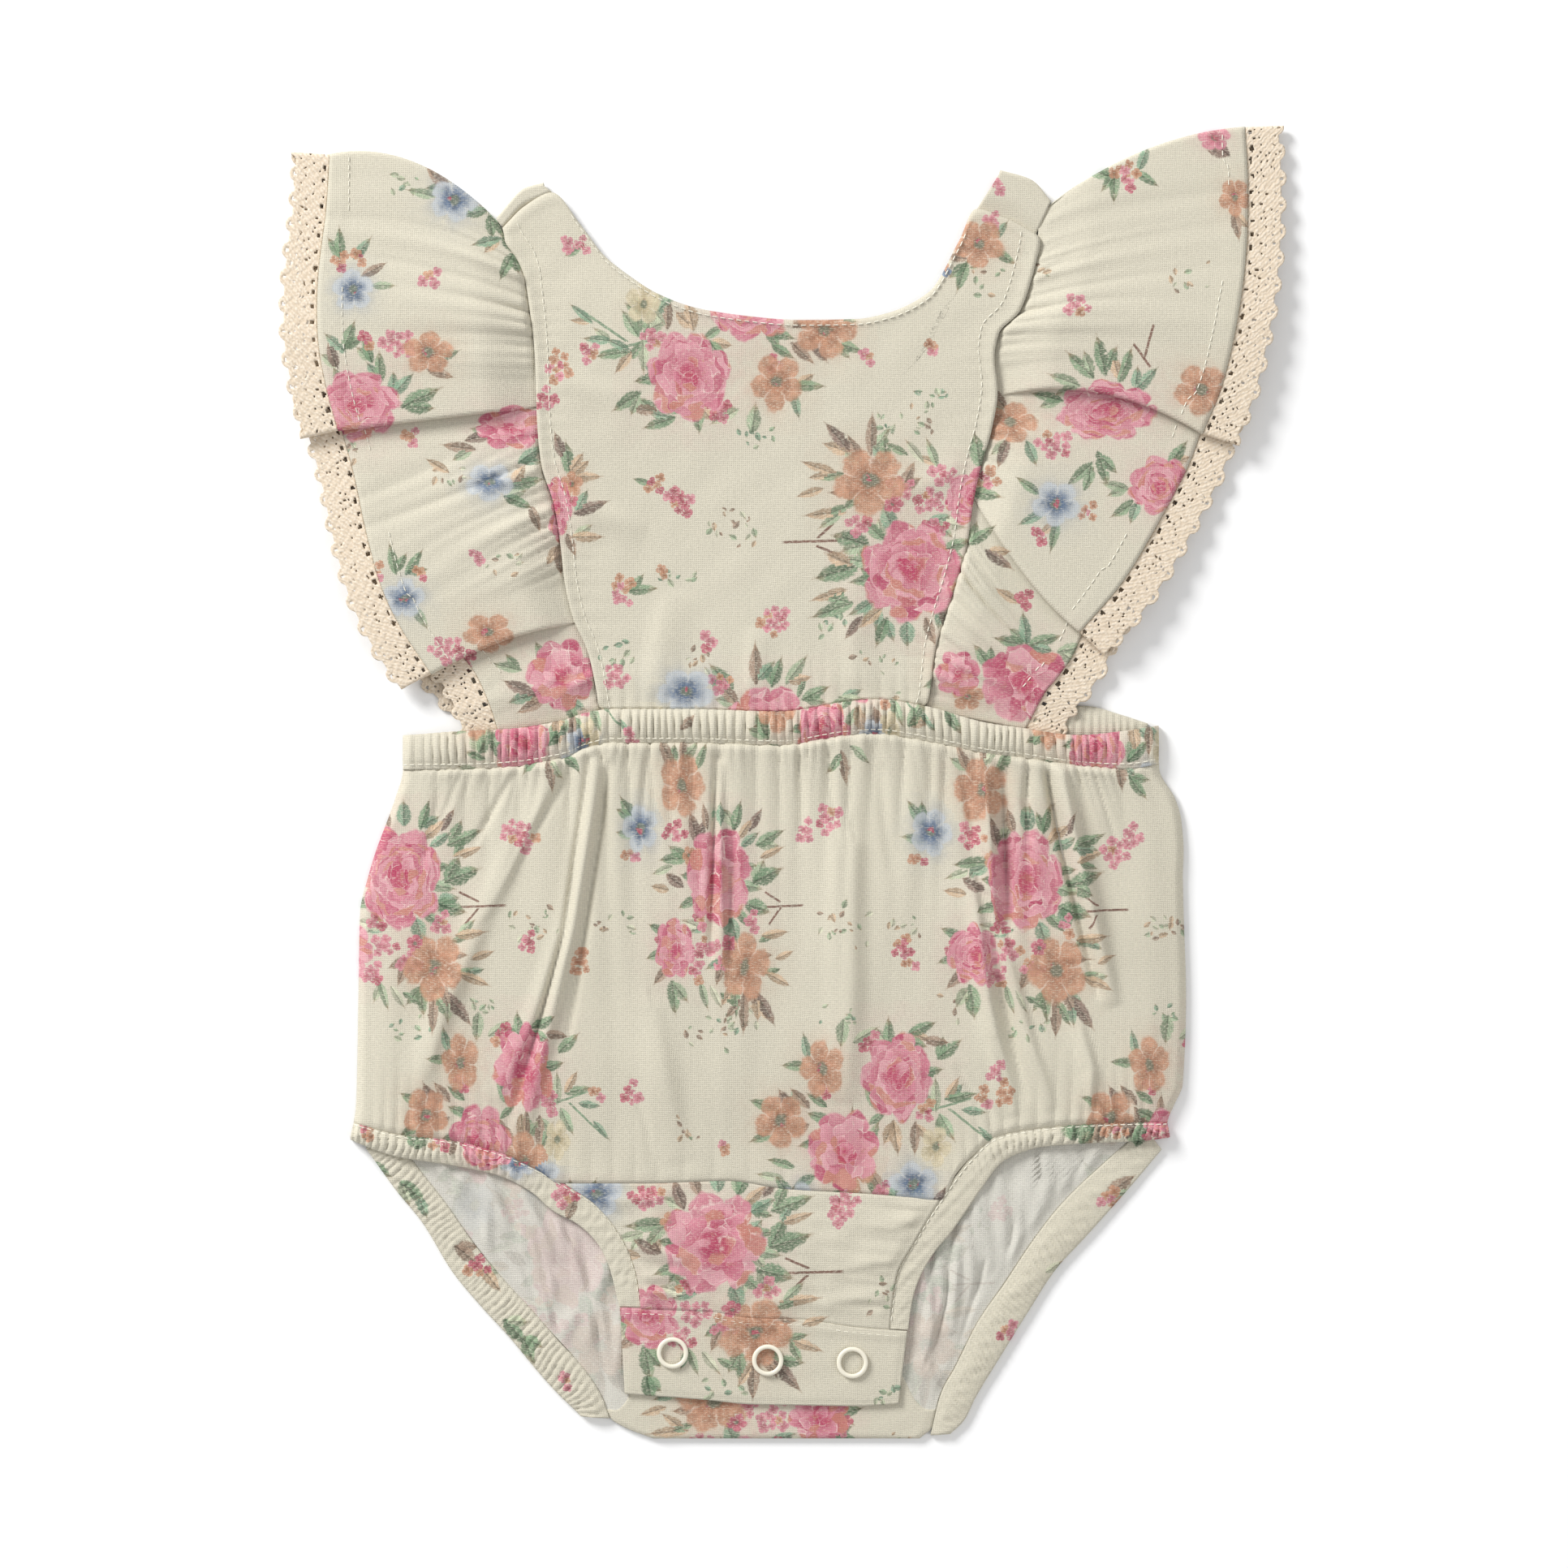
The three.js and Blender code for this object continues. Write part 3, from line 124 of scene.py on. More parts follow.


# The printed flowers, charted in millimetres. Two watercolour bouquets repeat over the cloth,
# drawn in by gathers where it is gathered. Long and wide are half sizes along and across a motif,
# turn is in radians, and tint is the number of its ink. Squeeze is how far gathers narrow a bouquet.
LEAF, STEM, CLUSTER, BLOSSOM, ROSE, SPECKLE = range(6)
CLOTHS = {"body": 0, "bodice": 1, "ruffle": 2, "band": 3, "crotch": 4, "casing": 5}
CLOTH_STEP = 400.0
BOUQUETS = [
    table("kind x y long wide turn tint", [
        (4, 0, 0, 15.5, 16, 0, 2), (0, 1, 19.5, 3.8, 2.8, 1.6, 3), (0, 12.5, 14.5, 4.6, 2, 0.7, 4),
        (0, 15, 11.5, 4.4, 2, 0.5, 3), (0, 24, 12, 6.6, 2.6, 0.35, 1), (0, 25, 7.5, 5.6, 1.8, 0.3, 4),
        (0, 23, 0.5, 6.8, 3.5, 0.3, 8), (0, 18.5, -9.5, 5.6, 3.6, -0.25, 8), (1, 31, -9, 9, 1.2, 0.03, 1),
        (1, 25.5, -6.2, 4.2, 1.2, -0.4, 1), (1, 26.5, -12, 4, 1.2, 0.75, 1), (0, 7, -16.5, 4, 3, -1.2, 3),
        (0, 26.5, -17.5, 6, 2, 0.1, 4), (0, 23, -18.5, 4, 1.6, 0.35, 1), (0, -12, -14.5, 5, 2.3, 2.9, 6),
        (0, -9, -16, 4, 1.8, 3.4, 3), (0, -20.5, 5.5, 6.6, 2.6, 3.2, 1), (0, -26, 2, 4.5, 1.8, 3.4, 2),
        (3, -13.5, 6.5, 3.2, 3, 0.3, 0), (0, -20.5, -1, 4.4, 2.4, 2.7, 9), (0, -27, -3.5, 4, 2, 3, 4),
        (3, -17, 28, 10.5, 10, 0.4, 0), (2, -20.5, 14, 6.5, 4, 0.2, 3), (0, -11, 15, 4.8, 2.2, 1.9, 9),
        (3, -36, 15, 8, 7.5, 0.9, 1), (0, -42, 21, 5, 2.2, 2.3, 1), (0, -43, 13, 4.5, 2, 3, 0),
        (0, -24, 38, 5, 2.2, 2.1, 7), (0, -16, 40, 5.5, 2, 1.5, 7), (0, -8, 37, 4.5, 2, 1, 1),
        (2, -41, 7, 4, 3, 0.8, 0), (2, -6, -21.5, 6, 4, 0.5, 2), (4, -20, -22.5, 9.5, 9.5, 0, 2),
        (3, 12.5, -27.5, 11.5, 10.5, 0.2, 0), (3, 5.5, -20.5, 3.4, 2.8, 0.2, 3),
        (0, 28, -31.5, 5.6, 1.9, -0.35, 4), (0, 25, -29, 4, 1.6, 0.2, 1), (2, -10, -29.5, 4.5, 4, 0.2, 2),
        (0, -20.5, -37, 5.2, 2.9, -1.4, 1), (0, -26, -30, 4.6, 2.2, 3.8, 7),
        (0, -6.5, -36.5, 4.4, 1.6, -1.2, 0), (0, -1, -37, 4.2, 1.6, -0.9, 6),
        (0, 4.5, -37.5, 3.8, 1.5, -0.5, 1), (0, 12, -42, 6, 2.3, -1.6, 7),
        (0, 22, -40.5, 6.4, 2.5, -0.85, 9), (0, 31, -24, 4, 1.6, 0.3, 4), (5, 3, -46, 7, 4, -1.2, 1),
        (2, 41, 14, 4.2, 4.8, 0.3, 2), (5, 54, -14, 7, 5, -0.5, 0), (5, -48, -14, 7, 4, 2.2, 0),
        (0, 9, 19, 4.6, 2.2, 1.2, 8), (0, -6, 18.5, 4, 2, 1.9, 7), (0, 17.5, 17.5, 4.2, 1.8, 0.9, 9),
        (0, 14, 3, 4.6, 2.2, 0.1, 1), (0, 15.5, -3, 5, 2.4, -0.15, 5), (0, 11.5, -12.5, 4.4, 2.2, -0.7, 1),
        (2, 16, -14, 4, 4, 0.3, 2), (0, -14, -8, 4.6, 2.2, 3.5, 1), (0, -13, 0, 4.4, 2.2, 3, 8),
        (2, -8, -13, 4.4, 4, 0.2, 3), (0, 20, -24, 5, 2, 0, 7), (0, 1, -29, 4.6, 2.2, -2, 7),
        (0, 17, -37, 5, 2.2, -1.1, 7), (0, 8, -38, 5, 2.2, -1.5, 1), (2, -26, -20, 4.4, 4.4, 0.2, 3),
        (0, -29, -24, 4.4, 2, 3.4, 1), (0, -28, -16, 4.4, 2, 2.8, 8), (2, 3, -26, 5, 4, 0.2, 2),
    ]),
    table("kind x y long wide turn tint", [
        (4, 0, 0, 13.5, 12.5, 0, 2), (4, 19, 23, 13, 14, 0.6, 2), (3, -8, 25, 8, 9, 0.6, 0),
        (2, -7.5, 19, 3.5, 3, 0.2, 3), (3, -23, 9, 9.5, 8.5, 1.1, 0), (3, 25, -10.5, 9, 7, 0.5, 1),
        (3, 33, 1, 5.5, 6.5, 0.3, 4), (0, -18, 26, 4.4, 2, 3.1, 1), (0, -14, 32, 4, 1.7, 1.8, 3),
        (0, -1, 36, 4.2, 2.6, -1.7, 0), (5, -2, 42, 6, 3, 1.5, 1), (0, 8, 35.5, 4.8, 2, 0.5, 2),
        (0, 28, 37.5, 5, 2.2, 0.35, 8), (0, 33, 33.5, 4.6, 2, -0.1, 7), (0, 26, 33, 4, 2, -0.3, 1),
        (0, 38, 31, 5, 2.4, 0.6, 1), (1, 38, 14, 9, 1.2, 0.25, 0), (1, 44, 8.5, 9, 1.2, -0.6, 0),
        (0, 33, 17, 5, 2, 1.6, 2), (0, 42, 16.5, 5.6, 1.9, 0.15, 1), (0, 47, 12, 4.5, 1.7, -0.1, 3),
        (0, 39, 19, 4, 1.8, 0.9, 4), (0, 52, 4, 4.4, 1.4, -0.7, 3), (0, 37, 7, 4.6, 2.2, -1, 5),
        (0, 18.5, 4, 5, 2.6, -1.4, 4), (0, 25.5, 3.5, 5, 1.9, -1.6, 7), (0, 12, 10, 3.6, 1.6, 0.6, 1),
        (0, -10, 15.5, 4, 1.7, 2.6, 8), (0, -21, 15, 4.6, 2.3, 2.2, 9), (0, -17, 6, 4.4, 2, 3.6, 7),
        (0, -27, -8, 4.8, 1.7, 3, 2), (0, -23, -4, 4.8, 1.7, 2.9, 1), (0, -15, -10, 4.4, 2.2, 3.6, 1),
        (0, 3.5, -19, 6, 2.4, -1.55, 7), (0, 14, -15, 5, 2.4, -0.8, 1), (0, -9, -17, 5, 2.2, -2.2, 0),
        (0, -3, -16.5, 4.6, 2, -1.9, 8), (2, 50, 16, 3.8, 3.6, 0.5, 0), (2, 21, 62, 4.2, 4.4, 0.2, 3),
        (2, 18, -26, 3.5, 3, 0.4, 2), (5, -33, -20, 7, 4, 3.4, 0), (5, 46, -22, 6, 4, -0.4, 1),
        (0, -9, 10, 4.6, 2.2, 2.8, 1), (0, -12, 2, 4.4, 2.2, 3.3, 8), (0, 10, 16, 4.6, 2.2, 2.2, 1),
        (0, 16, 36, 4.6, 2.2, 1.6, 1), (0, 31, 24, 4.6, 2.2, 0.2, 8), (0, 12, -10, 4.6, 2.2, -0.9, 7),
        (2, 14, -13, 4, 4, 0.2, 2), (2, 10, 33, 4.4, 4.4, 0.2, 3), (2, 30, 12, 4, 4, 0.2, 2),
        (0, -16, 16, 4.4, 2, 2.4, 7), (0, -30, 14, 4.4, 2, 2.8, 1), (0, -30, 4, 4.4, 2, 3.5, 8),
    ]),
]
PLACES = {
    "body": table("bouquet x y turn squeeze", [
        (0, -117.5, -28.5, 0, 0.82), (0, -20, -28.5, 0, 0.66), (0, 74.2, -29.8, 0, 0.8),
        (1, -93.2, -110.5, 0, 0.72), (1, 18.8, -112.5, 0, 0.85), (1, 118.8, -111.5, 0, 0.8),
        (0, -163.8, -141, 0, 0.8), (0, -66.2, -144.8, 0, 0.8), (0, 33.8, -144.8, 0, 0.8),
        (0, 128.8, -141, 0, 0.8),
    ]),
    "bodice": table("bouquet x y turn squeeze", [
        (0, 39.2, 65.5, 3.14, 1), (1, -10, 148.5, 3.14, 1), (1, -5, 18, 3.14, 1),
    ]),
    "band": table("bouquet x y turn squeeze", [
        (1, -80, 12.8, 0, 0.62), (1, 12.5, 15, 0, 0.62), (1, 96.2, 10.2, 0, 0.62),
    ]),
    "crotch": table("bouquet x y turn squeeze", [
        (0, -21.2, -141, 0, 1), (0, -9, 100, 3.14, 1),
    ]),
}
LOOSE = {
    "ruffle": table("kind x y long wide turn tint", [
        (3, -101.2, 179.5, 7.5, 7, 0.2, 1), (0, -106.2, 186, 4.5, 2, 2.4, 7),
        (0, -111.2, 181.5, 4.2, 1.8, 2.9, 0), (0, -93.8, 176, 4, 2, 0.3, 1),
        (0, -87.5, 171.5, 5, 2.2, -0.9, 1), (0, -83.2, 165.2, 4.6, 2.2, -0.7, 8),
        (0, -91.2, 166.5, 4.4, 2, 3.4, 3), (2, -78.8, 169, 4.5, 4, 0.3, 2), (0, -85, 159, 4.4, 2, -2, 1),
        (0, -136.2, 166, 4.8, 1.9, 1.6, 1), (0, -129.2, 164.5, 4.2, 1.8, 0.9, 3),
        (2, -136.2, 160.2, 4, 3, 0.2, 0), (2, -130, 162, 3, 3, 0.2, 0), (3, -132, 151.5, 6.5, 6.5, 0.4, 1),
        (0, -125.5, 157.8, 4, 1.7, 0.5, 7), (0, -122.5, 152.8, 3.6, 1.5, 0, 0),
        (2, -107.5, 155.2, 4.2, 3.4, 0.2, 2), (5, -116.2, 184.5, 6, 3, 2.5, 1),
        (4, -83.8, 109.5, 11, 7, 0.8, 2), (0, -99.8, 103.5, 5, 2, 3, 7), (0, -93.8, 106.5, 4.4, 2, 3.4, 9),
        (3, -90.2, 92.5, 7.5, 6, 0.5, 1), (0, -78.8, 92.5, 5.2, 2.2, 0.2, 1),
        (0, -81.2, 86.5, 4.6, 2, -0.4, 8), (0, -77.5, 101.5, 4.4, 2, 0.6, 3),
        (0, -76.2, 81.5, 4, 1.8, -1.2, 7), (0, -106.2, 97.8, 4, 1.6, 2.6, 4),
        (5, -101.2, 95.2, 6, 3, 2.8, 0), (0, -119.8, 69, 4.6, 1.8, 1.8, 1),
        (0, -113.2, 68, 4.4, 1.8, 1, 8), (2, -124.8, 65, 4, 3, 0.3, 0), (2, -111.2, 65, 3, 3, 0.3, 0),
        (3, -116.2, 57, 6.5, 6, 0.7, 1), (0, -111.2, 51, 4, 1.8, -1, 0),
        (2, -93.8, 70.2, 3.6, 2.6, 0.2, 2), (3, -90.5, 46.5, 8, 6, 0.3, 0),
        (2, -103.2, 41.5, 6, 4.5, 0.4, 2), (2, -97.5, 37.8, 4, 3, 0.1, 3),
        (4, -68.2, 33.5, 11, 11, 0.3, 2), (0, -81.2, 29.5, 5.4, 2.3, 2.7, 9),
        (0, -77.5, 24, 4.6, 2, 3.6, 7), (0, -74.2, 39.5, 4.6, 2, 2, 1), (0, -85, 36, 4.4, 1.8, 2.9, 0),
        (0, -65, 22, 4.4, 2, -1.2, 1), (0, -136.2, 124, 4.2, 2, 2, 1), (0, -127.5, 133.5, 4.4, 2, 1.9, 8),
        (5, -86.2, 66.5, 7, 4, 0.4, 0), (5, -133.8, 101.5, 5, 3, 1, 0), (0, -66.2, 89, 4.5, 2, 0.5, 1),
        (4, -65, 81.5, 7, 9, 0.5, 2), (0, -68.8, 69, 4.4, 2, -1.5, 7),
        (4, -130.5, 116.5, 12.5, 11, 0.3, 2), (3, -108.8, 132.2, 8, 6.5, 0.3, 0),
        (2, -118.2, 135.2, 6, 5, 0.4, 2), (0, -111.2, 118.5, 6.5, 2.9, 0.45, 8),
        (0, -116.8, 122.5, 4.6, 2.2, 0.8, 3), (0, -123.8, 127.8, 4.6, 2.2, 1.6, 1),
        (0, -105, 126, 4.2, 1.8, -0.3, 7), (0, -102.5, 131.5, 3.6, 1.5, 0.4, 3),
        (0, -138.2, 131.5, 4.4, 2, 1.9, 9), (0, -133.2, 137.5, 4.6, 2.2, 1.2, 1),
        (0, -137.5, 135.2, 4.2, 2, 2.4, 3), (2, -114.5, 106.5, 4.2, 3, 0.2, 0),
        (2, -127.5, 136.5, 3, 3, 0.2, 3), (0, 96.2, 187.8, 4.6, 1.8, 2.9, 1),
        (0, 101.8, 183.5, 4.8, 1.9, -1.6, 1), (2, 105, 188.5, 5, 3.4, 0.2, 0),
        (0, 110.8, 192.5, 4.2, 1.8, 1.2, 3), (0, 111.8, 186, 4, 1.7, -0.6, 8),
        (2, 106.2, 185.2, 3, 3, 0.2, 3), (3, 138.8, 180.2, 5, 6, 0.5, 0), (0, 133.8, 196, 4.4, 2, 2.4, 9),
        (3, 132.5, 198.5, 5, 4, 0.4, 2), (0, 139.2, 171.5, 4.4, 1.8, -1.4, 7),
        (2, 90.2, 146.5, 4.6, 4, 0.3, 2), (5, 123.8, 155.2, 7, 5, -0.6, 0), (5, 76.2, 159, 5, 3, 2.6, 0),
        (0, 97.5, 131.5, 6, 2.6, 1.8, 8), (0, 91.2, 128.5, 5.4, 2.4, 2.4, 1),
        (0, 105, 128.5, 5.4, 2.4, 1.2, 1), (0, 86.2, 124, 5, 2, 2.8, 0), (1, 112, 135.2, 6, 1.2, 1.3, 1),
        (1, 110, 131.5, 4.5, 1.2, 2.2, 1), (0, 111.2, 124, 5, 2.2, 0.8, 3),
        (4, 99.2, 114.5, 15.5, 9.5, 0.2, 2), (3, 128.2, 121, 8.5, 8, 0.4, 0),
        (3, 69.8, 111, 8.5, 6.5, 0.9, 0), (2, 83.2, 104.5, 6.5, 5, 0.3, 2), (0, 91.2, 95.2, 5, 2, -2.4, 1),
        (0, 98.2, 96.5, 5.4, 2.2, -1.3, 8), (0, 81.2, 119, 4.6, 2, 2.9, 1), (0, 65.8, 119, 4.6, 2, 2.2, 7),
        (0, 67.5, 101.5, 4.4, 2, -1.9, 9), (0, 76.2, 101.5, 4, 2, -1.2, 3),
        (4, 115.8, 91.5, 10, 9.5, 0.9, 2), (0, 105, 84.5, 5, 2.2, -2.6, 1),
        (0, 121.2, 101.5, 4.6, 2.2, 0.9, 8), (0, 101.8, 91.5, 4.4, 1.8, 2.9, 0),
        (3, 83.8, 86, 7.5, 7, 0.2, 1), (0, 75, 91.5, 4.2, 1.8, 2.5, 1), (0, 76.2, 81.5, 4.2, 1.8, 3.6, 3),
        (2, 94.2, 83.5, 4, 3.4, 0.3, 0), (0, 83, 76, 4.6, 1.8, -1.8, 1), (2, 78.8, 76.5, 3.4, 3, 0.1, 3),
        (0, 93.8, 94, 4, 1.7, 1.2, 1), (0, 70.2, 43.5, 5.4, 2.4, 2.9, 8), (0, 80, 44, 5.4, 2.4, 0.3, 1),
        (0, 74.2, 47.8, 4.8, 2.2, 1.7, 3), (4, 74.2, 31, 14, 12, 0.4, 2), (4, 53.8, 34, 7, 7, 0.1, 2),
        (3, 56.8, 27, 5, 4.5, 0.2, 0), (0, 89.2, 41.5, 5, 2.2, 0.2, 0), (0, 61.2, 39, 4.4, 2, 2.2, 1),
        (0, 68.8, 57.8, 4.2, 1.8, 2.6, 4), (2, 74.2, 56.5, 3.6, 3, 0.1, 3), (0, 66.2, 69, 5, 2.2, -0.6, 9),
        (0, 61.2, 76.5, 4.6, 2, 0.6, 1), (0, 62.5, 89, 4.8, 2.2, -0.2, 1), (2, 62.5, 94, 4.5, 4, 0.2, 2),
    ]),
    "bodice": table("kind x y long wide turn tint", [
        (0, -40.5, 143.5, 5, 2.3, 1.2, 1), (0, -36.2, 147.8, 4.6, 2.1, 0.8, 3),
        (0, -45, 147.5, 4.4, 2, 2, 8), (2, 26.2, 131.5, 3, 3, 0.2, 2), (3, 60.2, 166.2, 8, 7.5, 0.5, 0),
        (2, 64.2, 173.2, 4.2, 3, 0.3, 2), (2, 66.2, 184.5, 3, 3, 0.2, 2), (0, 55, 156, 4.8, 2, -1.9, 1),
        (0, 68.2, 162, 4, 1.8, -0.6, 8), (0, 52.8, 162, 3.6, 1.6, 3, 7), (2, 49.5, 159, 2.2, 2, 0.2, 1),
        (5, 64.2, 155, 6, 5, 0.4, 0), (0, 66.8, 170.2, 3.6, 1.6, 0.9, 3), (0, -60.8, 94.5, 5, 2, 0, 4),
        (0, -59.2, 85, 5.4, 2.2, 0.35, 9), (0, -60.2, 76, 4.6, 2, 0, 4), (0, -66.2, 100.2, 5, 2.4, 1.7, 8),
        (0, -68.8, 104, 4, 2, 1.9, 9), (2, -67, 88.5, 4, 7, 0.2, 3), (3, -65, 92.2, 3.5, 4, 0.2, 0),
        (4, -69.8, 85.2, 5, 9, 0.2, 2), (0, -65.2, 73.5, 3.6, 1.6, -1.2, 7),
        (2, -38.8, 92, 4, 3.4, 0.3, 0), (2, -34.2, 88, 3.4, 3.2, 0.3, 0), (0, -43.5, 93, 2.6, 1.2, 2.8, 1),
        (5, -15, 79, 8, 6, -0.6, 0), (2, -36.8, 65.5, 2, 2, 0, 0), (5, -31.8, 64.5, 6, 3, 0, 1),
        (5, 38.8, 111.5, 8, 5, 0.3, 0), (2, -2.5, 49.5, 5.4, 5, 0.4, 2), (5, -26.2, 37.8, 5, 4, 1.2, 0),
        (2, -51.2, 32.8, 4.4, 4.6, 0.5, 2), (2, -61.8, 165.5, 3.6, 3, 0.6, 0),
        (0, -64.8, 163.5, 2.6, 1.4, 3.6, 1), (2, 45.8, 134.5, 2.2, 2, 0, 0), (5, 46.2, 117.8, 5, 4, 0, 1),
        (2, -68.8, 128.5, 4.6, 6, 1.5, 0), (2, -73.2, 118.5, 3.6, 5, 0.5, 3),
        (0, -43.2, 59.8, 4.6, 1.9, 0.1, 1), (2, -50, 61, 4, 4, 0.8, 0), (2, -49.2, 57, 3.4, 3, 0.8, 0),
        (2, -66.2, 166.5, 3, 3, 0, 2), (5, 32.5, 24, 6, 4, 0.5, 0), (0, 5.8, 30.2, 3.6, 1.2, 1.2, 1),
        (5, -66.2, 36.5, 6, 4, 2, 0), (5, 16.2, 49, 5, 4, 2, 1),
    ]),
    "body": table("kind x y long wide turn tint", [
        (2, -78.8, -16, 4.2, 5.4, 0.4, 2), (5, -77.5, -43.5, 7, 6, -1.2, 0),
        (2, -61.8, -54.8, 3, 4.6, 0.6, 0), (2, -46.8, -94.8, 2.8, 5.6, 0.2, 2),
        (2, 13.8, -11, 4.6, 5.4, 0.2, 2), (5, 20, -43.5, 7, 7, -1.3, 0),
        (2, 36.8, -49.8, 3.6, 3.4, 0.3, 0), (2, 38.8, -54.8, 3, 3, 0.9, 0),
        (2, 102.5, -21, 5, 5.6, 0.2, 2), (5, -30, -106, 4, 4, 0, 0), (2, -18, -111.5, 2, 2, 0, 0),
        (5, -23.8, -77.2, 7, 6, -1.2, 0), (2, 67.8, -94.8, 3, 5.4, 0.7, 0), (5, 118.8, -41, 7, 6, -1, 0),
        (5, -8.8, -71, 6, 4, -0.8, 0), (0, -71.2, 2.8, 5, 2, -1.4, 7), (0, -77.5, 6.5, 4.4, 1.8, -2.2, 1),
        (0, -65, 6.5, 4, 1.6, -0.9, 8), (0, 18.8, 5.2, 5, 2, -1.4, 7), (0, 23.8, 9, 4, 1.7, -0.7, 0),
        (0, 103.8, 2.8, 4.6, 1.9, -1.5, 7), (0, 108.8, -1, 4.6, 1.9, -0.9, 1),
        (5, -101.2, 6.5, 6, 4, 0, 0), (5, 1.2, -98.5, 5, 4, 0, 1), (2, 65.8, -88.5, 3.4, 4, 0.2, 2),
        (5, 53.8, -68.5, 6, 5, -1, 0),
    ]),
    "casing": table("kind x y long wide turn tint", [
        (0, -113.8, -125.5, 5, 2.6, -0.7, 8), (0, -110.8, -129.8, 4, 2, -1.2, 3),
        (0, -97.5, -144.8, 4.4, 2.4, -0.7, 7), (2, -94.2, -148.5, 4.4, 4, 0.3, 3),
        (0, -90, -152.2, 4.6, 2.2, -0.9, 4), (0, -82.2, -168.5, 5, 2.6, -0.8, 8),
        (0, -78.2, -174, 4.6, 2.4, -1.2, 1), (2, -66.2, -183.5, 3, 3, 0, 2),
        (0, 103.8, -123.5, 5, 2.6, 0.6, 7), (2, 100.8, -127.5, 4.4, 4, 0.2, 0),
        (2, 70, -168.5, 4.4, 4, 0.3, 2), (0, 83.8, -148.5, 3, 1.4, 0.6, 6),
        (0, -123.8, -118.5, 4, 2, -0.6, 8), (2, -127, -106.5, 2.6, 2.4, 0, 0),
        (0, -113, -107.2, 4, 2.6, 1.5, 8), (0, -110, -108.5, 4, 2.4, 1, 1),
        (2, -104.2, -109.8, 4, 3.4, 0.3, 0), (0, -101.2, -110.5, 3.4, 2, 1.4, 7),
        (4, -90, -111, 8.5, 8, 0.3, 2), (2, -94.2, -109, 5, 4.5, 0.2, 3), (3, -81.2, -116.5, 5, 5, 0.5, 1),
        (0, -83.8, -114.8, 4, 2, 1, 1), (0, 90, -104.8, 4.4, 3.2, 1.5, 8),
        (0, 93.8, -106.5, 4.4, 2.6, 1.2, 1), (0, 97.5, -105.5, 4.4, 2.6, 1.5, 7),
        (2, 102.5, -106, 5, 4, 0.2, 0), (0, 106.8, -104.8, 4, 2.4, 1.4, 9),
        (0, 110, -107.2, 4.4, 2.4, 1.3, 8), (2, 115, -107.2, 5, 4, 0.3, 3),
        (4, 116.8, -102.2, 5, 5, 0.1, 2), (2, -67, -125.5, 5, 5, 0.2, 2), (0, -65, -129.8, 4, 2, 1.2, 7),
    ]),
    "band": table("kind x y long wide turn tint", [
        (0, -91.2, 13.5, 4.4, 2.8, 1.2, 1), (0, -87, 10.2, 4, 2, -1, 8),
        (0, -68.8, 15.2, 4.4, 2.4, 0.8, 8), (2, -46.2, 15.2, 3, 3, 0, 2), (0, 41.2, 21.5, 4.4, 2.4, 1, 1),
        (0, 52.5, 19, 4, 2, -1, 8), (0, -6.2, 17.8, 4.4, 2.2, 2, 1), (3, -61.2, 12.8, 5, 5, 0.3, 1),
        (3, 28.2, 15.2, 5, 5, 0.3, 1), (0, 108.8, 10.2, 4.4, 2.2, 0.8, 8), (0, 80, 15.2, 4, 2.2, 0.8, 1),
        (0, -28.8, 19, 3, 1.6, 0.8, 7),
    ]),
    "crotch": table("kind x y long wide turn tint", [
        (2, 17.5, -131, 4.6, 5, 0.3, 2), (5, 32.5, -158.5, 7, 5, -0.6, 0), (5, 31.2, -188.5, 6, 3, 0.3, 1),
        (0, -41.2, -186, 4.4, 2.6, -1.4, 8),
    ]),
}
LEAF_INKS = (
    "#919F84", "#778C70", "#A8B095", "#7C957E", "#B59D83",
    "#92A588", "#BABBA3", "#917C6C", "#6B8267", "#79665D",
)
PETAL_INKS = ("#BD9076", "#76869B", "#C98692", "#B96776", "#CBBFA2")
BARK_INKS = ("#7F957B", "#7B5B50")


def linear(colour):
    """An sRGB hex colour as linear red, green, blue and 1."""
    values = np.array([int(colour[i : i + 2], 16) for i in (1, 3, 5)]) / 255
    low, high = values / 12.92, ((values + 0.055) / 1.055) ** 2.4
    return tuple(np.where(values <= 0.04045, low, high)) + (1.0,)


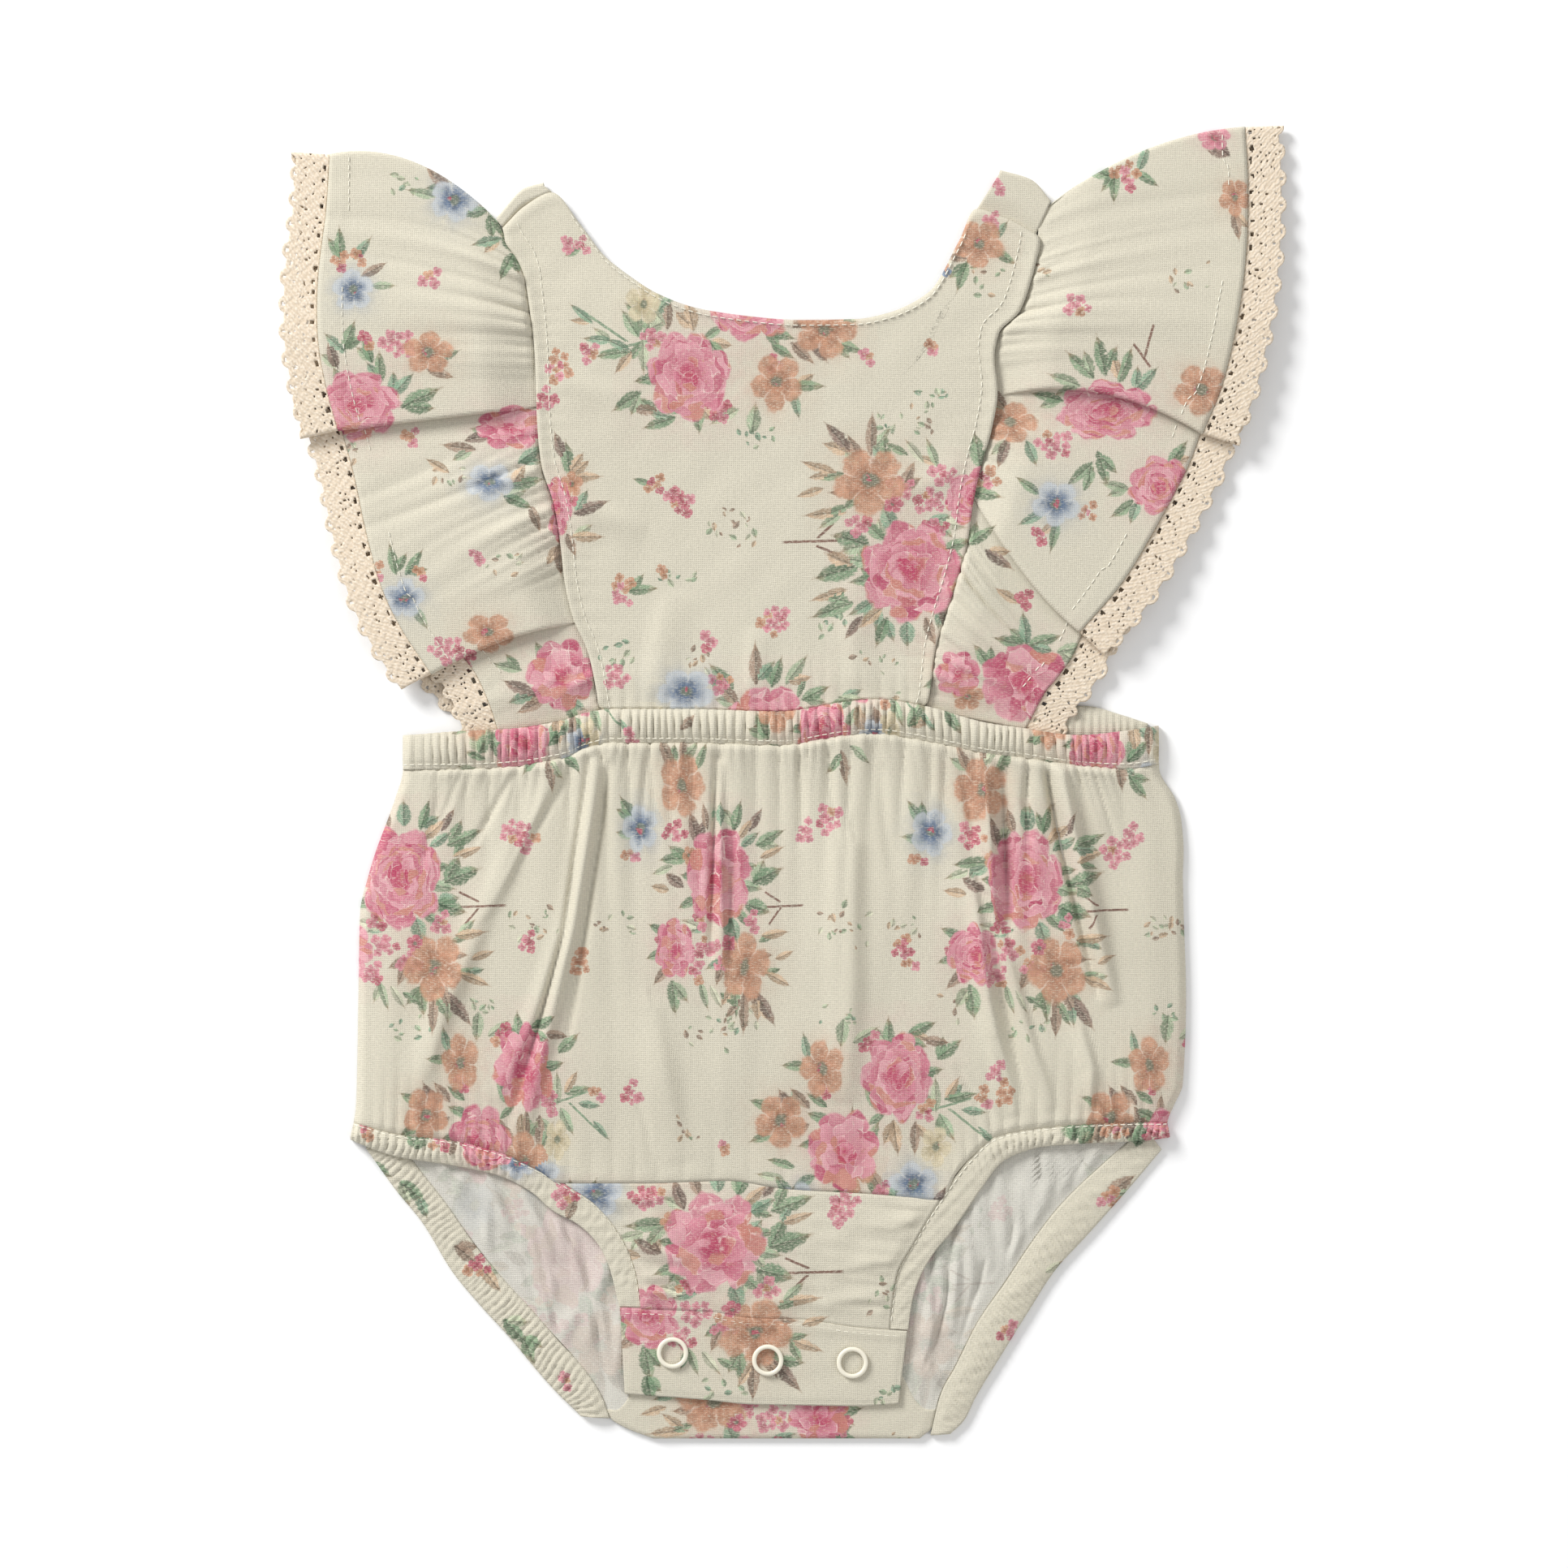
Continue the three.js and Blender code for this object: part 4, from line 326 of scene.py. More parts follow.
def printed_motifs():
    """Every motif, with the bouquets put in their places by turning, then squeezing sideways. Clusters
    and specks are broken into small parts, and a long leaf gets a smaller one beside it."""
    rows = [(CLOTHS[cloth], *row) for cloth, chart in LOOSE.items() for row in zip(*chart.values())]
    places = [(CLOTHS[cloth], *row) for cloth, chart in PLACES.items() for row in zip(*chart.values())]
    for cloth, bouquet, x, y, turn, squeeze in places:
        cos, sin = math.cos(turn), math.sin(turn)
        for kind, dx, dy, long, wide, aim, tint in zip(*BOUQUETS[int(bouquet)].values()):
            aim = aim + turn
            drawn = math.atan2(math.sin(aim), squeeze * math.cos(aim))
            if kind in (BLOSSOM, ROSE, CLUSTER):
                size = (long * squeeze, wide)
            else:
                size = (long * math.hypot(squeeze * math.cos(aim), math.sin(aim)), wide * (0.5 + squeeze / 2))
            place = (x + squeeze * (dx * cos - dy * sin), y + dx * sin + dy * cos)
            rows.append((cloth, kind, *place, *size, aim if kind == BLOSSOM else drawn, tint))
    rng = np.random.default_rng(12)
    parts = []
    for cloth, kind, x, y, long, wide, turn, tint in rows:
        if kind == CLUSTER:
            count = int(np.clip(long * wide / 2.6, 3, 11))
            for k in range(count):
                aim, away = turn + k * 2.4, 0.85 * math.sqrt(k / count)
                size = rng.uniform(1.3, 2.0)
                place = (x + long * away * math.cos(aim), y + wide * away * math.sin(aim))
                ink = tint if rng.random() < 0.6 else rng.choice((0, 2, 2, 3))
                parts.append((cloth, CLUSTER, *place, size, size, aim, ink))
        elif kind == SPECKLE:
            for k in range(9):
                place = (x + long * rng.uniform(-1, 1), y + wide * rng.uniform(-1, 1))
                ink = rng.choice((4, 6, 7, 0)) if tint == 0 else rng.choice((3, 5, 2))
                size = rng.uniform(0.8, 1.7)
                parts.append((cloth, LEAF, *place, size, size * 0.55, rng.uniform(0, 6.3), ink))
        else:
            # The chart gives a leaf by its solid part, and the brush draws its tip out by a seventh.
            drawn = (long * 1.14, wide * 0.88) if kind == LEAF else (long, wide)
            parts.append((cloth, kind, x, y, *drawn, turn, tint))
        if kind == LEAF and long > 4.3:
            # A smaller leaf springs from the same stalk, and overlaps the first.
            swing = turn + rng.choice((-1, 1)) * rng.uniform(0.5, 0.8)
            foot = (x - long * 0.9 * math.cos(turn), y - long * 0.9 * math.sin(turn))
            place = (foot[0] + long * 0.75 * math.cos(swing), foot[1] + long * 0.75 * math.sin(swing))
            ink = rng.choice((0, 1, 2, 3, 4, tint))
            parts.append((cloth, LEAF, *place, long * 0.78, wide * 0.8, swing, ink))
    return np.array(parts, float)


def stamps():
    """The printed layers, from the lowest up: centres, half sizes, turns, inks and seeds of each one's
    motifs. Each cloth's motifs are moved along x to its own part of the chart."""
    motifs = printed_motifs()
    motifs[:, 2] += CLOTH_STEP * motifs[:, 0]
    leaves = motifs[motifs[:, 1] == LEAF]
    inks = [np.array([linear(c) for c in colours]) for colours in (LEAF_INKS, BARK_INKS, PETAL_INKS)]
    layers = {}
    for name, part, tints in (
        ("stem", motifs[motifs[:, 1] == STEM], inks[1]),
        ("leaf_1", leaves[leaves[:, 4] <= 3.9], inks[0]), ("leaf_2", leaves[leaves[:, 4] > 3.9], inks[0]),
        ("floret", motifs[motifs[:, 1] == CLUSTER], inks[2]),
        ("blossom", motifs[motifs[:, 1] == BLOSSOM], inks[2]),
        ("rose", motifs[motifs[:, 1] == ROSE], inks[2]),
    ):
        turn = part[:, 6] * (name not in ("rose", "blossom"))
        layers[name] = (part[:, 2:4], part[:, 4:6], turn, tints[part[:, 7].astype(int)], part[:, 6])
    return layers


STAMPS = stamps()
# The chart is a grid of half millimetres over the six cloths, laid side by side.
CHART_CELL = 0.5
CHART_SHAPE = (4800, 900)
CHART_CORNER = np.array([-180.0, -225.0])


def nearest_motifs(place, size, turn):
    """For every cell of the chart, which motif of a layer lies nearest, with the distance measured in
    the motif's own half sizes: the square root of (along / long) squared + (across / wide) squared."""
    best = np.full(CHART_SHAPE, np.inf, np.float32)
    pick = np.zeros(CHART_SHAPE, np.int16)
    for k in range(len(place)):
        reach = size[k].max() * 1.5 + 2
        low = np.clip(((place[k] - reach - CHART_CORNER) / CHART_CELL).astype(int), 0, CHART_SHAPE)
        high = np.clip(((place[k] + reach - CHART_CORNER) / CHART_CELL).astype(int), 0, CHART_SHAPE)
        window = (slice(low[0], high[0]), slice(low[1], high[1]))
        lines = [np.arange(low[i], high[i]) * CHART_CELL + CHART_CORNER[i] - place[k][i] for i in (0, 1)]
        x, y = grid(*lines)
        cos, sin = math.cos(turn[k]), math.sin(turn[k])
        far = ((x * cos + y * sin) / size[k, 0]) ** 2 + ((y * cos - x * sin) / size[k, 1]) ** 2
        closer = far < best[window]
        best[window][closer] = far[closer]
        pick[window][closer] = k
    return pick


MOTIFS = {name: nearest_motifs(*layer[:3]) for name, layer in STAMPS.items()}


def print_cloth(mesh, flat, cloth):
    """Gives each face the nearest motif of each layer, and each of its corners its place in it, from
    -1 to 1 inside the motif. The wash is the colour of roses and blossoms near by, for a soft stain."""
    corners = flat.reshape(-1, 4, 2) + (CLOTH_STEP * CLOTHS[cloth], 0)
    cell = ((corners.mean(1) - CHART_CORNER) / CHART_CELL + 0.5).astype(int)
    cell = np.clip(cell, 0, np.array(CHART_SHAPE) - 1)
    wash = np.zeros((len(corners), 4, 4), np.float32)

    def store(name, kind, field, values):
        """Keeps one value for each corner under a name that the material reads."""
        mesh.attributes.new(name, kind, "CORNER").data.foreach_set(field, values.ravel())

    for layer, (place, size, turn, tint, seeds) in STAMPS.items():
        pick = MOTIFS[layer][cell[:, 0], cell[:, 1]].astype(int)
        away = corners - place[pick][:, None]
        cos, sin = np.cos(turn[pick])[:, None], np.sin(turn[pick])[:, None]
        local_x = (away[..., 0] * cos + away[..., 1] * sin) / size[pick, :1]
        local_y = (away[..., 1] * cos - away[..., 0] * sin) / size[pick, 1:]
        local_x, local_y = np.clip(local_x, -2.5, 2.5), np.clip(local_y, -2.5, 2.5)
        seed = np.repeat((seeds[pick] + pick * 1.7)[:, None] % 10, 4, 1)
        vector = np.stack([local_x, local_y, seed], -1).astype(np.float32)
        store(layer, "FLOAT_VECTOR", "vector", vector)
        colours = np.repeat(tint[pick][:, None], 4, 1).astype(np.float32)
        store(layer + "_tint", "FLOAT_COLOR", "color", colours)
        if layer in ("rose", "blossom"):
            near = np.exp(-(local_x**2 + local_y**2) / 1.9)[..., None]
            wash[..., :3] += near * colours[..., :3]
            wash[..., 3:] += near
    wash[..., :3] /= np.maximum(wash[..., 3:], 1e-6)
    wash[..., 3] = np.clip(wash[..., 3], 0, 1)
    store("wash", "FLOAT_COLOR", "color", wash)


def shell(name, top, bottom, outer, inner=None, flat=None, cloth=None):
    """A closed skin between two grids of points in mm: both faces, and a rim round their edge. The
    outer material is on the upper face and the rim, and the inner one, if any, on the lower face.
    Flat gives each point's place on the flat cloth, and cloth names the chart it is printed from."""
    lines, across = top.shape[:2]
    count = lines * across
    index = np.arange(count).reshape(lines, across)
    quads = np.stack([index[:-1, :-1], index[1:, :-1], index[1:, 1:], index[:-1, 1:]], -1).reshape(-1, 4)
    loop = np.concatenate([index[0, :-1], index[:-1, -1], index[-1, :0:-1], index[:0:-1, 0]])
    ahead = np.roll(loop, -1)
    rim = np.stack([loop, ahead, ahead + count, loop + count], -1)
    faces = np.concatenate([quads, quads[:, ::-1] + count, rim])
    points = np.concatenate([top.reshape(-1, 3), bottom.reshape(-1, 3)]) + ORIGIN_SHIFT
    a, b, c, d = (points[faces[:, k]] for k in range(4))
    volume = (a * np.cross(b, c)).sum() + (a * np.cross(c, d)).sum()
    if volume < 0:
        faces = faces[:, ::-1]
    mesh = bpy.data.meshes.new(name)
    mesh.vertices.add(len(points))
    mesh.vertices.foreach_set("co", (points * MM).astype(np.float32).ravel())
    mesh.loops.add(faces.size)
    mesh.loops.foreach_set("vertex_index", faces.ravel().astype(np.int32))
    mesh.polygons.add(len(faces))
    mesh.polygons.foreach_set("loop_start", np.arange(len(faces), dtype=np.int32) * 4)
    mesh.polygons.foreach_set("use_smooth", np.ones(len(faces), bool))
    side = np.zeros(len(faces), np.int32)
    side[len(quads) : 2 * len(quads)] = 1 if inner else 0
    mesh.polygons.foreach_set("material_index", side)
    mesh.update()
    flat = points[:, :2] - ORIGIN_SHIFT[:2] if flat is None else np.tile(flat.reshape(-1, 2), (2, 1))
    corner_flat = flat[faces.ravel()]
    mesh.uv_layers.new(name="cloth").data.foreach_set("uv", (corner_flat * MM).astype(np.float32).ravel())
    if cloth:
        print_cloth(mesh, corner_flat, cloth)
    for material in [outer] + ([inner] if inner else []):
        mesh.materials.append(material)
    piece = bpy.data.objects.new(name, mesh)
    bpy.context.scene.collection.objects.link(piece)
    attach(piece, "root")
    return piece


def add(tree, kind, inputs=(), out=0, **settings):
    """Adds a node and gives one of its outputs. Inputs are values or the outputs that feed them, in
    the order of the node's sockets or by their numbers or names; settings are its own properties."""
    made = tree.nodes.new("ShaderNode" + kind)
    for key, value in settings.items():
        setattr(made, key, value)
    for key, value in inputs.items() if isinstance(inputs, dict) else enumerate(inputs):
        if isinstance(value, bpy.types.NodeSocket):
            tree.links.new(value, made.inputs[key])
        else:
            made.inputs[key].default_value = value
    return made.outputs[out] if made.outputs else made


def new_tree(name):
    """An empty material and its nodes."""
    material = bpy.data.materials.new(name)
    material.use_nodes = True
    material.node_tree.nodes.clear()
    return material, material.node_tree


def painted_leaf(tree, x, y, tint, brush):
    """A pointed leaf, widest near its stalk, with saw teeth, a dark midrib, slanting veins and one
    darker half, browned towards its tip. Gives where it is inked, and its ink."""
    away = add(tree, "Math", (y,), operation="ABSOLUTE")
    slant = add(tree, "Math", (away, 0.5, x), operation="MULTIPLY_ADD")
    teeth = add(tree, "Math", (slant, 0.13), operation="PINGPONG")
    teeth = add(tree, "Math", (teeth, 1.35), operation="MULTIPLY")
    square = add(tree, "Math", (x, x), operation="MULTIPLY")
    belly = add(tree, "Math", (1.0, square), operation="SUBTRACT")
    taper = add(tree, "Math", (x, -0.35, 1.0), operation="MULTIPLY_ADD")
    outline = add(tree, "Math", (belly, taper), operation="MULTIPLY")
    toothed = add(tree, "Math", (outline, teeth), operation="SUBTRACT")
    inside = add(tree, "Math", (toothed, away), operation="SUBTRACT")
    mask = add(tree, "MapRange", (inside, -0.16, 0.1, 0.0, 0.92))
    midrib = add(tree, "MapRange", (away, 0.05, 0.18, 0.52, 1.0))
    slant = add(tree, "Math", (away, -0.8, x), operation="MULTIPLY_ADD")
    veins = add(tree, "Math", (slant, 0.17), operation="PINGPONG")
    veins = add(tree, "MapRange", (veins, 0.0, 0.08, 0.74, 1.08))
    half = add(tree, "MapRange", (y, -0.08, 0.08, 0.8, 1.28))
    lines = add(tree, "Math", (midrib, veins), operation="MULTIPLY")
    wet = add(tree, "Math", (half, brush["tone"]), operation="MULTIPLY")
    shade = add(tree, "Math", (lines, wet), operation="MULTIPLY")
    green = add(tree, "VectorMath", {0: tint, "Scale": shade}, operation="SCALE")
    tip = add(tree, "Math", (brush["blot"], 1.4, x), operation="MULTIPLY_ADD")
    warm = add(tree, "MapRange", (tip, 1.1, 1.7, 0.0, 0.7))
    ink = add(tree, "Mix", {0: warm, 6: green, 7: linear("#A98A70")}, 2, data_type="RGBA")
    return mask, ink


def painted_rose(tree, at, reach, angle, seed, brush):
    """A full rose. Its petals are cells that shrink towards the heart: pale at the rim, deep at the
    base, a few of them brown or crimson, with a thin unprinted line round each. Its outline is a
    circle with seven shallow lobes. Gives where it is inked, and its ink."""
    closer = add(tree, "Math", (reach, -1.2, 3.7), operation="MULTIPLY_ADD")
    spot = add(tree, "VectorMath", {0: at, "Scale": closer}, operation="SCALE")
    cells = add(tree, "TexVoronoi", {"Vector": spot, "Scale": 1.0}, feature="F1").node
    border = add(tree, "TexVoronoi", {"Vector": spot, "Scale": 1.0}, feature="DISTANCE_TO_EDGE")
    centre = add(tree, "VectorMath", (cells.outputs["Position"], (1, 1, 0)), operation="MULTIPLY")
    middle = add(tree, "VectorMath", (centre,), "Value", operation="LENGTH")
    spread = add(tree, "Math", (reach, closer), operation="MULTIPLY")
    rise = add(tree, "Math", (spread, middle), operation="SUBTRACT")
    rise = add(tree, "MapRange", (rise, -0.38, 0.44))
    chance = add(tree, "SeparateColor", (cells.outputs["Color"],)).node.outputs
    uneven = add(tree, "Math", (brush["blot"], 0.7, -0.35), operation="MULTIPLY_ADD")
    level = add(tree, "Math", (rise, uneven), operation="ADD")
    petal = add(tree, "Mix", {0: level, 6: linear("#AE4563"), 7: linear("#CF8594")}, 2, data_type="RGBA")
    pale = add(tree, "Math", (chance[0], 0.55), operation="MULTIPLY")
    petal = add(tree, "Mix", {0: pale, 6: petal, 7: linear("#E3B9BC")}, 2, data_type="RGBA")
    tawny = add(tree, "MapRange", (chance[1], 0.8, 0.84, 0.0, 0.7))
    petal = add(tree, "Mix", {0: tawny, 6: petal, 7: linear("#C0836C")}, 2, data_type="RGBA")
    heart = add(tree, "Math", (chance[2], 0.35, reach), operation="MULTIPLY_ADD")
    heart = add(tree, "MapRange", (heart, 0.32, 0.5, 0.85, 0.0))
    petal = add(tree, "Mix", {0: heart, 6: petal, 7: linear("#B03A5C")}, 2, data_type="RGBA")
    drops = add(tree, "MapRange", (brush["blot"], 0.58, 0.66, 0.0, 0.5))
    within = add(tree, "MapRange", (reach, 0.3, 0.9, 1.0, 0.2))
    brown = add(tree, "Math", (drops, within), operation="MULTIPLY")
    petal = add(tree, "Mix", {0: brown, 6: petal, 7: linear("#A9705C")}, 2, data_type="RGBA")
    edge = add(tree, "MapRange", (border, 0.02, 0.08, 0.7, 0.0))
    broken = add(tree, "MapRange", (brush["blot"], 0.38, 0.56, 1.0, 0.0))
    line = add(tree, "Math", (edge, broken), operation="MULTIPLY")
    crimson = add(tree, "MapRange", (chance[2], 0.4, 0.6))
    drawn = add(tree, "Mix", {0: crimson, 6: linear("#ECD9D0"), 7: linear("#B4506A")}, 2, data_type="RGBA")
    petal = add(tree, "Mix", {0: line, 6: petal, 7: drawn}, 2, data_type="RGBA")
    lobe = add(tree, "Math", (angle, 3.5, seed), operation="MULTIPLY_ADD")
    lobe = add(tree, "Math", (lobe,), operation="COSINE")
    lobe = add(tree, "Math", (lobe,), operation="ABSOLUTE")
    lobe = add(tree, "Math", (lobe, 0.6), operation="POWER")
    rim = add(tree, "Math", (lobe, 0.22, 0.78), operation="MULTIPLY_ADD")
    share = add(tree, "Math", (reach, rim), operation="DIVIDE")
    return add(tree, "MapRange", (share, 0.97, 1.03, 0.97, 0.0)), petal


def painted_flower(tree, reach, angle, seed, tint, petals, under, brush):
    """An open flower: rounded petals with pale gaps. A blossom has a dark throat with a few bright
    stamens and stains the cloth round it; where its tint is blue it was painted wetter, with a pale
    rim and a few dark strokes. Gives where it is inked, its ink, and the cloth under it."""
    lobe = add(tree, "Math", (angle, petals / 2, seed), operation="MULTIPLY_ADD")
    lobe = add(tree, "Math", (lobe,), operation="COSINE")
    lobe = add(tree, "Math", (lobe,), operation="ABSOLUTE")
    lobe = add(tree, "Math", (lobe, 0.6), operation="POWER")
    rim = add(tree, "Math", (lobe, 0.34, 0.66), operation="MULTIPLY_ADD")
    share = add(tree, "Math", (reach, rim), operation="DIVIDE")
    mask = add(tree, "MapRange", (share, 0.94, 1.06, 0.93, 0.0))
    between = add(tree, "MapRange", (lobe, 0.05, 0.4, 0.5, 0.0))
    outer = add(tree, "MapRange", (reach, 0.25, 0.6))
    gap = add(tree, "Math", (between, outer), operation="MULTIPLY")
    rich = add(tree, "VectorMath", (tint, tint), operation="MULTIPLY")
    deep = add(tree, "Math", (brush["blot"], 0.5, share), operation="MULTIPLY_ADD")
    deep = add(tree, "MapRange", (deep, 0.4, 1.0, 0.62, 0.0))
    petal = add(tree, "Mix", {0: deep, 6: tint, 7: rich}, 2, data_type="RGBA")
    petal = add(tree, "VectorMath", {0: petal, "Scale": brush["tone"]}, operation="SCALE")
    petal = add(tree, "Mix", {0: gap, 6: petal, 7: linear("#F0E4D6")}, 2, data_type="RGBA")
    if petals < 5:
        return mask, petal, under
    inks = add(tree, "SeparateColor", (tint,)).node.outputs
    blue = add(tree, "Math", (inks[2], inks[0]), operation="SUBTRACT")
    blue = add(tree, "MapRange", (blue, 0.05, 0.12))
    washed = add(tree, "Math", (brush["blot"], 0.9, share), operation="MULTIPLY_ADD")
    washed = add(tree, "MapRange", (washed, 0.8, 1.25, 0.0, 0.8))
    washed = add(tree, "Math", (blue, washed), operation="MULTIPLY")
    petal = add(tree, "Mix", {0: washed, 6: petal, 7: linear("#C7CACA")}, 2, data_type="RGBA")
    dabs = add(tree, "MapRange", (brush["blot"], 0.48, 0.56, 0.0, 0.75))
    within = add(tree, "MapRange", (reach, 0.15, 0.8, 1.0, 0.0))
    strokes = add(tree, "Math", (dabs, within), operation="MULTIPLY")
    strokes = add(tree, "Math", (blue, strokes), operation="MULTIPLY")
    petal = add(tree, "Mix", {0: strokes, 6: petal, 7: linear("#4A6282")}, 2, data_type="RGBA")
    halo = add(tree, "Math", (blue, 0.12, 0.08), operation="MULTIPLY_ADD")
    around = add(tree, "MapRange", (share, 0.95, 1.45, 1.0, 0.0))
    halo = add(tree, "Math", (halo, around), operation="MULTIPLY")
    under = add(tree, "Mix", {0: halo, 6: under, 7: tint}, 2, data_type="RGBA")
    throat = add(tree, "Math", (brush["blot"], 0.3, reach), operation="MULTIPLY_ADD")
    throat = add(tree, "MapRange", (throat, 0.3, 0.42, 0.85, 0.0))
    petal = add(tree, "Mix", {0: throat, 6: petal, 7: linear("#66705F")}, 2, data_type="RGBA")
    grain = add(tree, "SeparateXYZ", (brush["wander"],))
    stamen = add(tree, "MapRange", (grain, 0.56, 0.6))
    stamen = add(tree, "Math", (throat, stamen), operation="MULTIPLY")
    petal = add(tree, "Mix", {0: stamen, 6: petal, 7: linear("#B2405C")}, 2, data_type="RGBA")
    return mask, petal, under


# How far the brush strays in each layer, as a share of the motif's half size.
STRAYING = {"stem": 0.3, "leaf_1": 0.34, "leaf_2": 0.34, "floret": 0.5, "blossom": 0.3, "rose": 0.42}


def printed_gauze(name, ground, fade):
    """Cotton double gauze: a matt cloth of loose threads, printed in soft watercolour flowers.
    The fade is how far the print is hidden, as it is on the cloth's wrong side."""
    material, tree = new_tree(name)
    uv = add(tree, "UVMap", uv_map="cloth")
    # The brush wanders by about a third of a millimetre at every printed edge.
    wander = add(tree, "TexNoise", {"Vector": uv, "Scale": 330.0, "Detail": 3.0}, 1)
    drift = add(tree, "TexNoise", {"Vector": uv, "Scale": 150.0, "Detail": 1.5}, 1)
    blot = add(tree, "TexNoise", {"Vector": uv, "Scale": 260.0, "Detail": 4.0, "Roughness": 0.65})
    # Ink misses short lengths of the weft, so the flecks lie along the cloth's width.
    weft = add(tree, "VectorMath", (uv, (1.0, 3.2, 1.0)), operation="MULTIPLY")
    fleck = add(tree, "TexNoise", {"Vector": weft, "Scale": 900.0, "Detail": 2.0})
    printed = add(tree, "MapRange", (fleck, 0.5, 0.72, 1.0, 0.3))
    dense = add(tree, "MapRange", (fleck, 0.5, 0.75, 1.0, 0.45))
    tone = add(tree, "MapRange", (blot, 0.36, 0.66, 0.78, 1.2))
    brush = {"blot": blot, "tone": tone, "wander": wander}
    wash = add(tree, "Attribute", attribute_name="wash").node.outputs
    thin = add(tree, "Math", (wash["Alpha"], 0.3), operation="MULTIPLY")
    patchy = add(tree, "MapRange", (blot, 0.3, 0.7))
    stain = add(tree, "Math", (thin, patchy), operation="MULTIPLY")
    colour = add(tree, "Mix", {0: stain, 6: linear(ground), 7: wash["Color"]}, 2, data_type="RGBA")

    for layer, stray in STRAYING.items():
        at = add(tree, "Attribute", out="Vector", attribute_name=layer)
        tint = add(tree, "Attribute", out="Color", attribute_name=layer + "_tint")
        moves = ((drift, stray), (wander, 0.1)) if layer == "rose" else ((wander, stray),)
        for noise, share in moves:
            centred = add(tree, "VectorMath", (noise, (0.5, 0.5, 0.5)), operation="SUBTRACT")
            at = add(tree, "VectorMath", (centred, (share, share, 0.0), at), operation="MULTIPLY_ADD")
        x, y, seed = add(tree, "SeparateXYZ", (at,)).node.outputs
        if layer == "stem":
            # A thin line, fading at both its edges and cut off at its ends.
            away = add(tree, "Math", (y,), operation="ABSOLUTE")
            along = add(tree, "Math", (x,), operation="ABSOLUTE")
            line = add(tree, "MapRange", (away, 0.24, 0.42, 0.95, 0.0))
            ends = add(tree, "MapRange", (along, 0.9, 1.0, 1.0, 0.0))
            mask = add(tree, "Math", (line, ends), operation="MULTIPLY")
            ink = add(tree, "VectorMath", {0: tint, "Scale": tone}, operation="SCALE")
        elif layer.startswith("leaf"):
            mask, ink = painted_leaf(tree, x, y, tint, brush)
        else:
            level = add(tree, "VectorMath", (at, (1, 1, 0)), operation="MULTIPLY")
            reach = add(tree, "VectorMath", (level,), "Value", operation="LENGTH")
            angle = add(tree, "Math", (y, x), operation="ARCTAN2")
            if layer == "rose":
                mask, ink = painted_rose(tree, at, reach, angle, seed, brush)
            else:
                petals = 4 if layer == "floret" else 5
                mask, ink, colour = painted_flower(
                    tree, reach, angle, seed, tint, petals, colour, brush)
        mask = add(tree, "Math", (mask, dense if layer == "rose" else printed), operation="MULTIPLY")
        colour = add(tree, "Mix", {0: mask, 6: colour, 7: ink}, 2, data_type="RGBA")
    veiled = add(tree, "Mix", {0: fade, 6: colour, 7: linear(ground)}, 2, data_type="RGBA")
    # Threads lie 0.4 mm apart on the real cloth, and are drawn 0.6 mm apart so that they show. Their crests
    # are painted lighter and the gaps between them darker, as painted shade, and slubs vary the threads' own
    # tone.
    warp, woof = [
        add(tree, "TexWave", {"Vector": uv, "Scale": 520.0, "Distortion": 3.2, "Detail": 1.0,
                              "Detail Scale": 0.6}, 1, bands_direction=way)
        for way in ("X", "Y")
    ]
    weave = add(tree, "Math", (warp, woof), operation="MAXIMUM")
    thread = add(tree, "MapRange", (weave, 0.2, 1.0, 0.92, 1.03))
    slub = add(tree, "MapRange", (fleck, 0.35, 0.65, 0.93, 1.06))
    light = add(tree, "Math", (thread, slub), operation="MULTIPLY")
    shaded = add(tree, "VectorMath", {0: veiled, "Scale": light}, operation="SCALE")
    height = add(tree, "Math", (blot, 1.2, weave), operation="MULTIPLY_ADD")
    bump = add(tree, "Bump", {"Strength": 0.4, "Distance": 0.0003, "Height": height})
    skin = add(tree, "BsdfPrincipled", {
        "Base Color": shaded, "Roughness": 0.92, "Normal": bump, "Sheen Weight": 0.1,
        "Specular IOR Level": 0.2,
    })
    add(tree, "OutputMaterial", {"Surface": skin})
    return material


GAUZE = printed_gauze("printed cotton double gauze", "#CDC7B5", 0.0)
# The wrong side is the cloth's own greyer back, its print faded through; its ground is also darkened a little
# as painted shade, for the shadow of the front layer over it.
SHADED_WRONG_SIDE = printed_gauze("wrong side of cotton gauze in painted shade", "#CDCAC0", 0.76)

BACK_BAND = table("x top bottom", [
    (-113.5, 12.5, 3), (-83, 15.5, 5.5), (-60, 20.5, 10.5), (0, 21, 11), (30, 24.5, 14.5),
    (62, 24.6, 14.6), (93.5, 24, 13.5), (104, 21.3, 10), (112.3, 18.6, 7),
])
BACK_SIDES = table("y left right", [
    (2.4, -113.2, 112), (-4.75, -116, 117), (-21, -122, 119.8), (-40, -126.7, 119.8), (-92, -127.7, 119.4),
    (-100, -127, 115.8), (-106.2, -122.2, 110.9), (-115.8, -114.5, 100), (-129.4, -103.7, 85.8),
    (-141, -95.4, 76.7), (-153.6, -85.2, 68.2), (-165.7, -74.2, 60), (-180, -61.5, 52.6),
    (-188.6, -55.9, 48.1), (-195.2, -53.3, 46.5), (-198.25, -48.5, 45.7), (-201.5, -40, 42),
])
